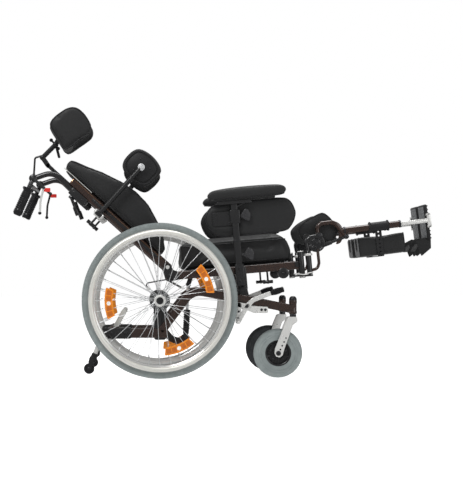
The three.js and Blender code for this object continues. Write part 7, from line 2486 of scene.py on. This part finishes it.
        knee = pads.pad(f"{label}_knee_cover", shape, frames.base, FINISHES.vinyl, f"{label}_hanger",
                        [f"{label}_knee_pad"], Stuffing(5, 4, 2.2, 0.85),
                        [((570, hand * 170, 530), (615, hand * 175, 580))])
        rim = [[(x, hand * 171, z) for x, z in outline]]
        pads.piping(f"{label}_knee_rim", rim, frames.base, FINISHES.mesh, f"{label}_hanger", 2.6, knee)


# Studio


@dataclass(frozen=True)
class Studio:
    """The camera, the lights and the floor.

    Attributes:
        lens: The camera's focal length, in millimetres.
        eye: Its place as metres behind the axle, to the right, and above the floor.
        angles: Its tilt from straight down and its turn, in degrees.
        floor_white: How bright the floor's own colour is.
        glow: How strongly the surroundings light the chair.
    """

    lens: float = 108.6
    eye: Point = (-0.054, -6.19, 0.382)
    angles: Point = (91.177, -3.24)
    floor_white: float = 0.82
    glow: float = 0.34

    def build(self, frames: Frames) -> None:
        """Sets all of it up."""
        scene = bpy.context.scene
        data = bpy.data.cameras.new("camera")
        data.lens = self.lens
        data.sensor_width = 36
        data.clip_end = 60
        camera = bpy.data.objects.new("camera", data)
        camera.location = (frames.axle_x + self.eye[0], self.eye[1], self.eye[2])
        camera.rotation_euler = (math.radians(self.angles[0]), 0, math.radians(self.angles[1]))
        scene.collection.objects.link(camera)
        scene.camera = camera
        scene.view_settings.view_transform = "Standard"
        self.light_up(scene)
        self.lay_floor()

    def light_up(self, scene: bpy.types.Scene) -> None:
        """Hangs the soft boxes and lifts the surroundings."""
        boxes = (
            ("key", (-1.8, -3.0, 3.6), 1.9, 85.0),
            ("fill", (3.2, -3.6, 1.8), 2.6, 26.0),
            ("top", (0.2, 0.4, 4.2), 2.2, 75.0),
            ("rear", (-3.4, 1.6, 2.2), 2.4, 26.0),
            ("front", (3.6, 1.4, 2.2), 2.4, 24.0),
        )
        for name, place, size, power in boxes:
            data = bpy.data.lights.new(name, "AREA")
            data.shape = "DISK"
            data.size = size
            data.energy = power
            lamp = bpy.data.objects.new(name, data)
            lamp.location = place
            aim = Vector((0, 0, 0.55)) - lamp.location
            lamp.rotation_euler = aim.to_track_quat("-Z", "Y").to_euler()
            scene.collection.objects.link(lamp)
        world = bpy.data.worlds.new("studio")
        world.use_nodes = True
        tree = world.node_tree
        sky = tree.nodes["Background"]
        sky.inputs["Color"].default_value = (1, 1, 1, 1)
        level = tree.nodes.new("ShaderNodeMapRange")
        level.inputs["To Min"].default_value = self.glow
        level.inputs["To Max"].default_value = 1.0
        tree.links.new(tree.nodes.new("ShaderNodeLightPath").outputs["Is Camera Ray"], level.inputs["Value"])
        tree.links.new(level.outputs["Result"], sky.inputs["Strength"])
        scene.world = world

    def lay_floor(self) -> None:
        """Lays a plain pale floor."""
        mesh = bmesh.new()
        bmesh.ops.create_grid(mesh, x_segments=1, y_segments=1, size=30)
        floor = placed("floor", mesh)
        works = NodeWorks("floor_white")
        white = (self.floor_white, self.floor_white, self.floor_white)
        clouds = works.noise(0.7, 2)
        works.tint(clouds, white, shade(white, 1.03))
        works.fix({"Roughness": 0.9, "Specular IOR Level": 0.1, "Emission Strength": 0.8})
        works.shader.inputs["Emission Color"].default_value = (1, 1, 1, 1)
        floor.data.materials.append(works.material)
        floor.visible_glossy = False


def main() -> None:
    """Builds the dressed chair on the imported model."""
    logging.basicConfig(level=logging.INFO, format="%(name)s: %(message)s")
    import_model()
    low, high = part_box("right_rear_wheel")
    frames = Frames((low[0] + high[0]) / 2)
    Studio().build(frames)
    shop = Workshop()
    for side in Side:
        BrakeCable(side).build(shop, frames)
    BaseFrame().build(shop, frames)
    TiltSpring().build(shop, frames)
    seat, back, headrest = Seat(), Back(), Headrest()
    for piece in (seat, back, PushBar(), headrest):
        piece.build(shop, frames)
    for side in Side:
        for kind in (RearWheel, Castor, AntiTip, WheelLock, Armrest, LateralSupport, LegSupport):
            kind(side).build(shop, frames)
    pads = Upholstery(shop)
    seat.build_cushion(pads, frames)
    back.build_cushion(pads, frames)
    headrest.build_pad(pads, frames)
    for side in Side:
        Armrest(side).build_pads(pads, frames)
        LateralSupport(side).build_pad(pads, frames)
        LegSupport(side).build_pads(pads, frames)
    logger.info("%d pieces", len(shop.made))


if __name__ == "__main__":
    main()
